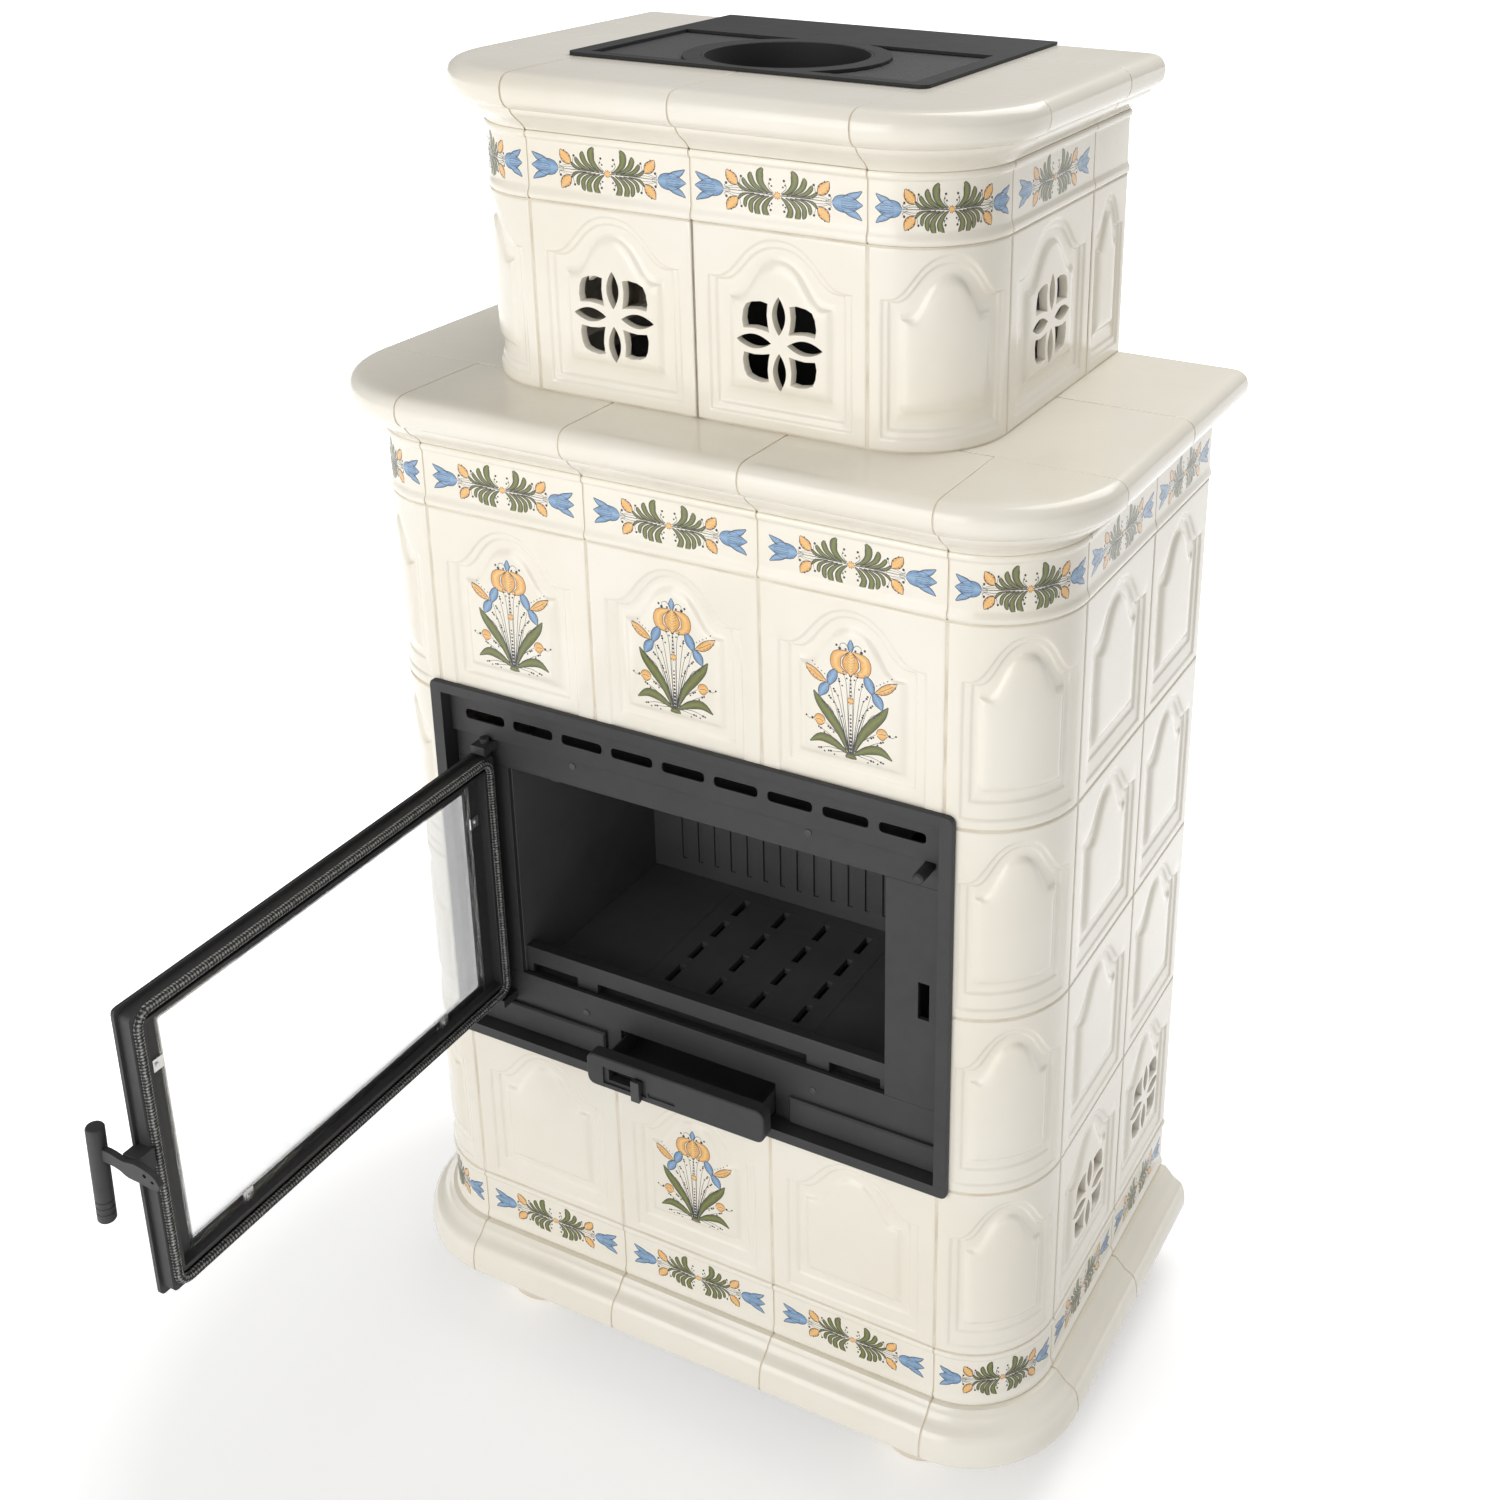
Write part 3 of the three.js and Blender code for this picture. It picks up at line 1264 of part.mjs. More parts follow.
function fireboxFloor() {
  const low = FIREBOX_FLOOR_Z - FIREBOX_FLOOR_THICKNESS;
  const floor = block(
    -FIREBOX_HALF_WIDTH + FIT_GAP,
    FIREBOX_HALF_WIDTH - FIT_GAP,
    SEAT_Y + SEAT_THICKNESS + FIT_GAP,
    FIREBOX_REAR_Y - FIT_GAP,
    low,
    FIREBOX_FLOOR_Z,
  );
  const opening = block(
    -GRATE_HALF_WIDTH,
    GRATE_HALF_WIDTH,
    GRATE_FRONT_Y,
    GRATE_REAR_Y,
    low - 1,
    FIREBOX_FLOOR_Z + 1,
  );
  const half = GRATE_HALF_WIDTH - FIT_GAP;
  const front = GRATE_FRONT_Y + FIT_GAP;
  const rear = GRATE_REAR_Y - FIT_GAP;
  const stripWidth = (2 * half) / GRATE_STRIPS;
  const slotPitch = (rear - front) / GRATE_SLOTS;
  const slots = [];
  for (let strip = 0; strip < GRATE_STRIPS; strip += 1) {
    const x = -half + (strip + 0.5) * stripWidth;
    for (let slot = 0; slot < GRATE_SLOTS; slot += 1) {
      const y = front + (slot + 0.5) * slotPitch;
      const reach = GRATE_SLOT_LENGTH / 2;
      const width = GRATE_SLOT_WIDTH / 2;
      const top = FIREBOX_FLOOR_Z + 1;
      slots.push(block(x - width, x + width, y - reach, y + reach, low - 1, top));
    }
  }
  const grate = cut(block(-half, half, front, rear, low, FIREBOX_FLOOR_Z), slots);
  return [
    piece('firebox_floor', floor.subtract(opening), castIron),
    piece('grate', grate, castIron),
  ];
}

function logGuard() {
  const half = FIREBOX_HALF_WIDTH - FIT_GAP;
  const pillarInner = GUARD_PILLAR_X - GUARD_PILLAR_WIDTH / 2;
  const pillarOuter = GUARD_PILLAR_X + GUARD_PILLAR_WIDTH / 2;
  const outline = rectangle(-half, half, FIREBOX_FLOOR_Z + FIT_GAP, GUARD_HIGH);
  const window = (x0, x1) =>
    frontPlate(
      rectangle(x0, x1, GUARD_WINDOW_LOW, GUARD_WINDOW_HIGH),
      GUARD_Y - 1,
      GUARD_Y + GUARD_THICKNESS + 1,
    );
  const windows = [
    window(-pillarInner, pillarInner),
    window(pillarOuter, half - GUARD_END),
    window(-half + GUARD_END, -pillarOuter),
  ];
  const face = cut(frontPlate(outline, GUARD_Y, GUARD_Y + GUARD_THICKNESS), windows);
  const beam = block(
    -half,
    half,
    GUARD_Y,
    GUARD_Y + GUARD_BEAM_DEPTH,
    GUARD_HIGH - GUARD_BEAM_HEIGHT,
    GUARD_HIGH,
  );
  return piece('log_guard', face.add(beam), castIron);
}

function ashHousing() {
  const front = SEAT_Y + SEAT_THICKNESS + FIT_GAP;
  const inner = DRAWER_HALF_WIDTH + DRAWER_SIDE_GAP;
  const outer = inner + HOUSING_WALL;
  const floorTop = DRAWER_LOW - FIT_GAP;
  const rearInner = DRAWER_FRONT_Y + DRAWER_FRONT_THICKNESS + DRAWER_LENGTH + HOUSING_REAR_GAP;
  const rear = Math.max(rearInner + HOUSING_WALL, GRATE_REAR_Y + HOUSING_FLANGE);
  const high = FIREBOX_FLOOR_Z - FIREBOX_FLOOR_THICKNESS - FIT_GAP;
  const flangeLow = high - HOUSING_WALL;
  const body = block(-outer, outer, front, rear, floorTop - HOUSING_WALL, high);
  const flange = block(
    -GRATE_HALF_WIDTH - HOUSING_FLANGE,
    GRATE_HALF_WIDTH + HOUSING_FLANGE,
    front,
    rear,
    flangeLow,
    high,
  );
  const space = block(-inner, inner, front - 1, rearInner, floorTop, flangeLow);
  const topOpening = block(
    -inner,
    inner,
    GRATE_FRONT_Y + GRATE_LEDGE,
    GRATE_REAR_Y - GRATE_LEDGE,
    flangeLow - 1,
    high + 1,
  );
  return piece('ash_housing', cut(body.add(flange), [space, topOpening]), castIron);
}

function hingeBlocks() {
  const bore = HINGE_PIN_RADIUS + PIN_GAP;
  const hingeBlock = (low, high) =>
    block(
      HINGE_X - HINGE_BLOCK_WIDTH / 2,
      HINGE_X + HINGE_BLOCK_WIDTH / 2,
      HINGE_BLOCK_FRONT_Y,
      SEAT_Y - FIT_GAP,
      low,
      high,
    );
  const pinHole = (low, high) =>
    moved(cylinder(bore, low, high, 'z', PIN_STEPS), HINGE_X, HINGE_Y, 0);
  const topLow = DOOR_HIGH + 2 * FIT_GAP;
  const topHigh = topLow + HINGE_BLOCK_HEIGHT;
  const cap = moved(
    cylinder(HINGE_CAP_RADIUS, topHigh - 1, topHigh + HINGE_CAP_HEIGHT, 'z', PIN_STEPS),
    HINGE_X,
    HINGE_Y,
    0,
  );
  const bottomHigh = DOOR_LOW - FIT_GAP;
  const bottomLow = bottomHigh - HINGE_BLOCK_HEIGHT;
  const depth = HINGE_PIN_LENGTH + 2 * FIT_GAP;
  const top = join([hingeBlock(topLow, topHigh), cap]);
  return [
    piece('hinge_block_top', top.subtract(pinHole(topLow - 1, topLow + depth)), castIron),
    piece(
      'hinge_block_bottom',
      hingeBlock(bottomLow, bottomHigh).subtract(pinHole(bottomHigh - depth, bottomHigh + 1)),
      castIron,
    ),
  ];
}

function pullRod() {
  const rod = revolved(
    [
      [0, 0],
      [ROD_RADIUS - ROD_ROUND, 0],
      [ROD_RADIUS, ROD_ROUND],
      [ROD_RADIUS, ROD_LENGTH],
      [0, ROD_LENGTH],
    ],
    ROD_STEPS,
  ).rotate([-90, 0, 0]);
  const half = VALVE_SIZE / 2;
  const plate = block(
    -ROD_RADIUS,
    VALVE_SIZE - ROD_RADIUS,
    ROD_LENGTH - 1,
    ROD_LENGTH - 1 + VALVE_THICKNESS,
    -half,
    half,
  );
  const mesh = piece('pull_rod', rod.add(plate), castIron);
  mesh.position.set(ROD_X, ROD_FRONT_Y, ROD_Z);
  return mesh;
}

// ---------------------------------------------------------------- ash drawer
/** The drawer in its closed place; the group that holds it pulls it out. */
function ashDrawer() {
  const front = DRAWER_FRONT_Y;
  const back = front + DRAWER_FRONT_THICKNESS;
  const half = DRAWER_FRONT_HALF_WIDTH;
  const face = roundedRectangle(
    -half,
    half,
    DRAWER_FRONT_LOW,
    DRAWER_FRONT_HIGH,
    DRAWER_FRONT_CORNER,
  );
  const plate = bevelledFrontPlate(face, front, back, DRAWER_FRONT_BEVEL);
  const rebate = rectangle(
    AIR_SLOT_LEFT - AIR_REBATE_MARGIN_X,
    AIR_SLOT_RIGHT + AIR_REBATE_MARGIN_X,
    AIR_SLOT_LOW - AIR_REBATE_MARGIN_Z,
    AIR_SLOT_HIGH + AIR_REBATE_MARGIN_Z,
  );
  const slot = rectangle(AIR_SLOT_LEFT, AIR_SLOT_RIGHT, AIR_SLOT_LOW, AIR_SLOT_HIGH);
  const pocketY = back - SHUTTER_THICKNESS - 2 * FIT_GAP;
  const shutterRight = AIR_SLOT_RIGHT + AIR_TRAVEL + SHUTTER_MARGIN;
  const shutterLow = AIR_SLOT_LOW - SHUTTER_MARGIN;
  const shutterHigh = AIR_SLOT_HIGH + SHUTTER_MARGIN;
  const pocket = rectangle(
    AIR_SLOT_LEFT - SHUTTER_MARGIN - FIT_GAP,
    shutterRight + FIT_GAP,
    shutterLow - FIT_GAP,
    shutterHigh + FIT_GAP,
  );
  const mark = rectangle(
    MARK_GROOVE_LEFT,
    MARK_GROOVE_RIGHT,
    MARK_GROOVE_LOW,
    MARK_GROOVE_HIGH,
  );
  const drawerFront = cut(plate, [
    frontPlate(rebate, front - 1, front + AIR_REBATE_DEPTH),
    frontPlate(slot, front - 1, back + 1),
    frontPlate(pocket, pocketY, back + 1),
    frontPlate(mark, front - 1, front + MARK_GROOVE_DEPTH),
  ]);

  const trayFront = back + FIT_GAP;
  const outerTray = block(
    -DRAWER_HALF_WIDTH,
    DRAWER_HALF_WIDTH,
    trayFront,
    trayFront + DRAWER_LENGTH,
    DRAWER_LOW,
    DRAWER_HIGH,
  );
  const trayHollow = block(
    -DRAWER_HALF_WIDTH + DRAWER_WALL,
    DRAWER_HALF_WIDTH - DRAWER_WALL,
    trayFront + DRAWER_WALL,
    trayFront + DRAWER_LENGTH - DRAWER_WALL,
    DRAWER_LOW + DRAWER_WALL,
    DRAWER_HIGH + 1,
  );
  const airWay = frontPlate(slot, trayFront - 1, trayFront + DRAWER_WALL + 1);
  const tray = cut(outerTray, [trayHollow, airWay]);

  const knobRight = AIR_SLOT_RIGHT - FIT_GAP;
  const knobLeft = knobRight - KNOB_WIDTH;
  const shutter = block(
    knobLeft,
    shutterRight,
    pocketY + FIT_GAP,
    pocketY + FIT_GAP + SHUTTER_THICKNESS,
    shutterLow,
    shutterHigh,
  );
  const shank = block(
    knobLeft,
    knobRight,
    front - FIT_GAP - 1,
    pocketY + FIT_GAP + 1,
    AIR_SLOT_LOW + FIT_GAP,
    AIR_SLOT_HIGH - FIT_GAP,
  );
  const knob = block(
    knobLeft,
    knobRight,
    front - FIT_GAP - KNOB_DEPTH,
    front - FIT_GAP,
    KNOB_LOW,
    AIR_SLOT_HIGH + SHUTTER_MARGIN,
  );
  const drawer = new THREE.Group();
  drawer.add(
    piece('drawer_front', drawerFront, castIron),
    piece('ash_tray', tray, darkSteel),
    piece('air_slider', join([shutter, shank, knob]), darkSteel),
  );
  drawer.position.y = -DRAWER_OUT;
  return drawer;
}

// ---------------------------------------------------------------- door
/** Rectangle round the glass centre, grown or shrunk from the ring's edge. */
function ringRectangle(inset, radius) {
  const half = RING_HALF_WIDTH - inset;
  const low = DOOR_LOW + RING_TOP_MARGIN + inset;
  const high = DOOR_HIGH - RING_TOP_MARGIN - inset;
  return radius > 0
    ? roundedRectangle(-half, half, low, high, radius)
    : rectangle(-half, half, low, high);
}

function doorFrame() {
  const flangeOutline = roundedRectangle(
    -DOOR_HALF_WIDTH,
    DOOR_HALF_WIDTH,
    DOOR_LOW,
    DOOR_HIGH,
    DOOR_CORNER,
  );
  const flange = bevelledFrontPlate(
    flangeOutline,
    DOOR_FRONT_Y,
    DOOR_FLANGE_BACK_Y,
    DOOR_BEVEL,
  );
  const ring = frontPlate(ringRectangle(0, DOOR_CORNER), DOOR_FLANGE_BACK_Y - 1, RING_BACK_Y);
  const gasketInner = GASKET_EDGE + GASKET_DIAMETER / 2 + CHANNEL_GAP;
  const gasketOuter = GASKET_EDGE - GASKET_DIAMETER / 2 - CHANNEL_GAP;
  const channelFloor = SEAT_Y - GASKET_SEAT_GAP - GASKET_DIAMETER - CHANNEL_GAP;
  const channelOuter = ringRectangle(gasketOuter, GASKET_CORNER);
  const channelInner = ringRectangle(gasketInner, GASKET_CORNER - GASKET_DIAMETER);
  const channel = frontPlate(withHoles(channelOuter, [channelInner]), channelFloor, SEAT_Y, 6);
  const innerEdge = gasketInner + RING_INNER_WALL;
  const innerHalf = RING_HALF_WIDTH - innerEdge;
  const innerHigh = DOOR_HIGH - RING_TOP_MARGIN - innerEdge;
  const rebateHalf = GLASS_HALF_WIDTH + FIT_GAP;
  const rebateLow = GLASS_LOW - FIT_GAP;
  const rebateHigh = GLASS_HIGH + FIT_GAP;
  const sunk = frontPlate(
    rectangle(-innerHalf, innerHalf, rebateLow, innerHigh),
    GLASS_BACK_Y + FIT_GAP,
    RING_BACK_Y + 1,
  );
  const gasketFront = GLASS_BACK_Y - GLASS_THICKNESS - GLASS_GASKET_THICKNESS - 2 * FIT_GAP;
  const rebate = frontPlate(
    rectangle(-rebateHalf, rebateHalf, rebateLow, rebateHigh),
    gasketFront,
    RING_BACK_Y + 1,
  );
  const sight = frontPlate(sightOutline(), DOOR_FRONT_Y - 1, RING_BACK_Y + 1);
  const pin = moved(
    cylinder(HINGE_PIN_RADIUS, -HINGE_PIN_LENGTH, HINGE_PIN_LENGTH, 'z', PIN_STEPS),
    HINGE_X,
    HINGE_Y,
    0,
  );
  const pins = [moved(pin, 0, 0, DOOR_HIGH), moved(pin, 0, 0, DOOR_LOW)];
  const pinBoss = (low, high) =>
    block(
      HINGE_X - HINGE_PIN_RADIUS - 1,
      HINGE_X + HINGE_PIN_RADIUS + 1,
      DOOR_FLANGE_BACK_Y - 1,
      HINGE_Y + HINGE_PIN_RADIUS + 1,
      low,
      high,
    );
  const bosses = [
    pinBoss(DOOR_LOW, DOOR_LOW + RING_TOP_MARGIN + 1),
    pinBoss(DOOR_HIGH - RING_TOP_MARGIN - 1, DOOR_HIGH),
  ];
  const lug = block(
    LUG_LEFT - 1,
    HANDLE_PLATE_LEFT - FIT_GAP,
    DOOR_FLANGE_BACK_Y - 2,
    LUG_BACK_Y,
    LUG_LOW,
    LUG_HIGH,
  );
  const lugHole = moved(
    cylinder(HANDLE_PIN_RADIUS + PIN_GAP, LUG_LEFT, HANDLE_PLATE_LEFT + 1, 'x', PIN_STEPS),
    0,
    HANDLE_PIVOT_Y,
    HANDLE_PIVOT_Z,
  );
  const solid = join([cut(flange.add(ring), [channel]), ...bosses, lug]);
  return piece(
    'door_frame',
    join([cut(solid, [sunk, rebate, sight, lugHole]), ...pins]),
    castIron,
  );
}

/** What can be seen through the door, inside the edge that holds the glass. */
function sightOutline() {
  const half = GLASS_HALF_WIDTH - GLASS_OVERLAP;
  return roundedRectangle(
    -half,
    half,
    GLASS_LOW + GLASS_OVERLAP,
    GLASS_HIGH - GLASS_OVERLAP,
    SIGHT_CORNER,
  );
}

/** The rope gasket as a round ring along its rounded rectangle. */
function doorGasket() {
  const radius = GASKET_DIAMETER / 2;
  const centreY = SEAT_Y - GASKET_SEAT_GAP - radius;
  const half = RING_HALF_WIDTH - GASKET_EDGE;
  const low = DOOR_LOW + RING_TOP_MARGIN + GASKET_EDGE;
  const high = DOOR_HIGH - RING_TOP_MARGIN - GASKET_EDGE;
  const turn = GASKET_CORNER - GASKET_DIAMETER / 2;
  const sides = GASKET_SIDES;
  const steps = GASKET_TURN_STEPS;
  const section = Array.from({ length: sides }, (_, side) => {
    const angle = ((side + 0.5) * 2 * Math.PI) / sides;
    return [radius * Math.cos(angle), radius * Math.sin(angle)];
  });
  const centres = [
    [half - turn, high - turn, 0],
    [-half + turn, high - turn, 1],
    [-half + turn, low + turn, 2],
    [half - turn, low + turn, 3],
  ];
  const stations = centres.flatMap(([x, z, quarter]) =>
    Array.from({ length: steps + 1 }, (_, step) => {
      const angle = ((quarter + step / steps) * Math.PI) / 2;
      return { x, z, angle };
    }),
  );
  const positions = stations.flatMap(({ x, z, angle }) =>
    section.flatMap(([out, back]) => [
      x + (turn + out) * Math.cos(angle),
      centreY + back,
      z + (turn + out) * Math.sin(angle),
    ]),
  );
  const indices = [];
  for (let station = 0; station < stations.length; station += 1) {
    const next = (station + 1) % stations.length;
    for (let side = 0; side < sides; side += 1) {
      const beside = (side + 1) % sides;
      const corners = [
        station * sides + side,
        next * sides + side,
        next * sides + beside,
        station * sides + beside,
      ];
      indices.push(corners[0], corners[1], corners[2], corners[0], corners[2], corners[3]);
    }
  }
  const geometry = new THREE.BufferGeometry();
  geometry.setAttribute('position', new THREE.Float32BufferAttribute(positions, 3));
  geometry.setIndex(indices);
  return piece('door_gasket', solidOf(geometry), rope);
}

function doorGlass() {
  const pane = rectangle(-GLASS_HALF_WIDTH, GLASS_HALF_WIDTH, GLASS_LOW, GLASS_HIGH);
  const glassFront = GLASS_BACK_Y - GLASS_THICKNESS;
  const gasketBack = glassFront - FIT_GAP;
  const strip = withHoles(
    rectangle(-GLASS_HALF_WIDTH, GLASS_HALF_WIDTH, GLASS_LOW, GLASS_HIGH),
    [sightOutline()],
  );
  return [
    piece('door_glass', frontPlate(pane, glassFront, GLASS_BACK_Y), clearGlass),
    piece(
      'glass_gasket',
      frontPlate(strip, gasketBack - GLASS_GASKET_THICKNESS, gasketBack),
      rope,
    ),
  ];
}

/** A pressed clip: a foot on the frame and a tongue that lies over the glass. */
function glassClip(name, x, z, towardsX, towardsZ) {
  const half = CLIP_SIZE / 2;
  const low = GLASS_BACK_Y + 2 * FIT_GAP;
  const foot = block(x - half, x + half, low, low + CLIP_THICKNESS, z - half, z + half);
  const head = low + CLIP_THICKNESS + CLIP_SCREW_HEIGHT;
  const screw = moved(
    cylinder(CLIP_SCREW_RADIUS, low + CLIP_THICKNESS / 2, head, 'y', CLIP_SCREW_STEPS),
    x - towardsX * CLIP_SCREW_SHIFT,
    0,
    z - towardsZ * CLIP_SCREW_SHIFT,
  );
  return piece(name, foot.add(screw), brightSteel);
}

function glassClips() {
  return [
    glassClip('glass_clip_left', -CLIP_SIDE_X, CLIP_SIDE_Z, 1, 0),
    glassClip('glass_clip_right', CLIP_SIDE_X, CLIP_SIDE_Z, -1, 0),
    glassClip('glass_clip_low_left', -CLIP_LOW_X, CLIP_LOW_Z, 0, 1),
    glassClip('glass_clip_low_right', CLIP_LOW_X, CLIP_LOW_Z, 0, 1),
  ];
}

/** The flat lever, drawn in the side's plane from the grip to the latch nose. */
function handleLever() {
  const edge = (points) => {
    const raised = points.map(([y, rise]) => new THREE.Vector2(y, HANDLE_PIVOT_Z + rise));
    return new THREE.SplineCurve(raised).getPoints(2 * points.length);
  };
  const outline = new THREE.Shape([...edge(LEVER_UPPER_EDGE), ...edge(LEVER_LOWER_EDGE)].reverse());
  const holes = LEVER_HOLES.map(([y, rise, radius]) =>
    new THREE.Path().absarc(y, HANDLE_PIVOT_Z + rise, radius, 0, 2 * Math.PI),
  );
  outline.holes.push(...holes);
  const left = HANDLE_PLATE_LEFT;
  const plate = extruded(outline, left, left + HANDLE_PLATE_THICKNESS, SIDE, 8);
  const pin = moved(
    cylinder(HANDLE_PIN_RADIUS, LUG_LEFT + LUG_BORE_START, left + 1, 'x', PIN_STEPS),
    0,
    HANDLE_PIVOT_Y,
    HANDLE_PIVOT_Z,
  );
  return piece('handle_lever', plate.add(pin), castIron);
}

/** The turned grip with three fine rings near its lower end, seated on the lever's tang. */
function handleGrip() {
  const centreX = HANDLE_PLATE_LEFT + HANDLE_PLATE_THICKNESS / 2;
  const length = GRIP_HIGH - GRIP_LOW;
  const section = [
    [0, 0],
    [GRIP_RADIUS - GRIP_ROUND, 0],
    [GRIP_RADIUS, GRIP_ROUND],
  ];
  for (let ring = 0; ring < GRIP_RINGS; ring += 1) {
    const z = GRIP_FIRST_RING + ring * GRIP_RING_PITCH;
    section.push([GRIP_RADIUS, z]);
    section.push([GRIP_RADIUS - GRIP_RING_DEPTH, z + GRIP_RING_WIDTH / 2]);
    section.push([GRIP_RADIUS, z + GRIP_RING_WIDTH]);
  }
  section.push([GRIP_RADIUS, length - GRIP_ROUND]);
  section.push([GRIP_RADIUS - GRIP_ROUND, length], [0, length]);
  const middle = (GRIP_LOW + GRIP_HIGH) / 2;
  const upright = moved(revolved(section, GRIP_STEPS), 0, 0, GRIP_LOW - middle);
  const tilted = moved(upright.rotate([-GRIP_TILT_DEGREES, 0, 0]), centreX, GRIP_Y, middle);
  const tang = block(
    HANDLE_PLATE_LEFT - FIT_GAP,
    HANDLE_PLATE_LEFT + HANDLE_PLATE_THICKNESS + FIT_GAP,
    GRIP_Y + 3,
    GRIP_Y + 2 * GRIP_RADIUS,
    HANDLE_PIVOT_Z - TANG_LOW,
    HANDLE_PIVOT_Z + TANG_HIGH,
  );
  return piece('handle_grip', tilted.subtract(tang), castIron);
}

function door() {
  const closed = new THREE.Group();
  const handle = new THREE.Group();
  handle.add(handleLever(), handleGrip());
  closed.add(doorFrame(), ...doorGlass(), doorGasket(), ...glassClips(), handle);
  closed.position.set(-HINGE_X, -HINGE_Y, 0);
  const hinged = new THREE.Group();
  hinged.add(closed);
  hinged.position.set(HINGE_X, HINGE_Y, 0);
  hinged.rotation.z = THREE.MathUtils.degToRad(-DOOR_OPEN_DEGREES);
  return hinged;
}

// ---------------------------------------------------------------- the stove
const stove = new THREE.Group();
stove.add(
  ...feet(),
  ...lowerTier(),
  ...upperTier(),
  ...topPieces(),
  ...carcass(),
  insertFrame(),
  ...seatBars(),
  fascia(),
  ...firebox(),
  ...fireboxFloor(),
  logGuard(),
  ashHousing(),
  ...hingeBlocks(),
  pullRod(),
  ashDrawer(),
  door(),
);

// the origin is at the middle of the footprint of everything, on the floor
const footprint = new THREE.Box3().setFromObject(stove, true);
const middle = footprint.getCenter(new THREE.Vector3());
stove.position.set(-middle.x, -middle.y, -footprint.min.z);

export default stove;
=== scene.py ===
"""Looks of the tiled stove: relief tiles, painted garlands, mouldings and ironwork.

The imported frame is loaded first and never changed. Every piece built here rides on one of
its bodies. Sizes are in millimetres in the stove's own coordinates: x across, y to the rear
from the tiled front, z up from the foot of the bottom row of tiles.
"""

import logging
import math
import random
from dataclasses import dataclass, field
from enum import Enum
from typing import Callable, Sequence

import bpy
from mathutils import Matrix, Vector
from mathutils.bvhtree import BVHTree


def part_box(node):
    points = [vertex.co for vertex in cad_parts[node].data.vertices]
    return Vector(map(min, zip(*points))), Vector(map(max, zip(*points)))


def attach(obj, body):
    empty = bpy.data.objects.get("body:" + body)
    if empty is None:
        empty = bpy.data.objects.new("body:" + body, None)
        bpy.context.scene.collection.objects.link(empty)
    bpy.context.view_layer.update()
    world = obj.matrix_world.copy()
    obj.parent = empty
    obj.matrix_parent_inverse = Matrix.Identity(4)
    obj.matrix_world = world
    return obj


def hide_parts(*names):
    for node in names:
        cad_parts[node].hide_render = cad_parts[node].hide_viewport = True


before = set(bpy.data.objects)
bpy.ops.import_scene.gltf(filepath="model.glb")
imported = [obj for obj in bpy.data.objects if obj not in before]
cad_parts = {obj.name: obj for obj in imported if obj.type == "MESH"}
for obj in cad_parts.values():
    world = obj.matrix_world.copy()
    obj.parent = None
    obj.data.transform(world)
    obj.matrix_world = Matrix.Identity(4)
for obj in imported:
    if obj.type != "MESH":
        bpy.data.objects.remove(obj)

log = logging.getLogger("tiled_stove")

MM = 0.001
FRAME_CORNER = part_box("row4_front_tiles")[0]
HALF_GAP = 0.15
ORIGIN = Vector((0.0, FRAME_CORNER.y, FRAME_CORNER.z - HALF_GAP * MM))

Point = tuple[float, float]
Ring = list[Vector]


class Body(Enum):
    """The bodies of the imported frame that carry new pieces."""

    STOVE = "body"
    DOOR = "door"
    HANDLE = "handle"


class Pigment(Enum):
    """The pigments of the painted ornament, each with its pale and its deep tone."""

    LEAF = ((0.215, 0.230, 0.062), (0.095, 0.112, 0.026))
    BLUE = ((0.300, 0.460, 0.650), (0.130, 0.245, 0.430))
    OCHRE = ((0.930, 0.620, 0.250), (0.760, 0.350, 0.090))
    LINE = ((0.045, 0.042, 0.055), (0.020, 0.018, 0.028))


def at(x: float, y: float, z: float) -> Vector:
    """Puts a point of the stove's own coordinates into the frame, in metres."""
    return ORIGIN + Vector((x, y, z)) * MM


def lerp(a: float, b: float, share: float) -> float:
    """Goes from a to b by the given share."""
    return a + (b - a) * share


def smooth_path(points: Sequence[Point], steps: int) -> list[Point]:
    """Draws a smooth curve through points.

    Args:
        points: The points that the curve passes.
        steps: How many straight pieces go between two points.

    Returns:
        The points of the curve, its ends included.
    """
    ends = [points[0], *points, points[-1]]
    path: list[Point] = []
    for index in range(len(points) - 1):
        p0, p1, p2, p3 = ends[index : index + 4]
        for step in range(steps):
            t = step / steps
            path.append(
                tuple(
                    0.5
                    * (
                        2 * p1[k]
                        + (p2[k] - p0[k]) * t
                        + (2 * p0[k] - 5 * p1[k] + 4 * p2[k] - p3[k]) * t**2
                        + (3 * p1[k] - p0[k] - 3 * p2[k] + p3[k]) * t**3
                    )
                    for k in (0, 1)
                )
            )
    path.append(tuple(points[-1]))
    return path


# ------------------------------------------------------------------ workbench


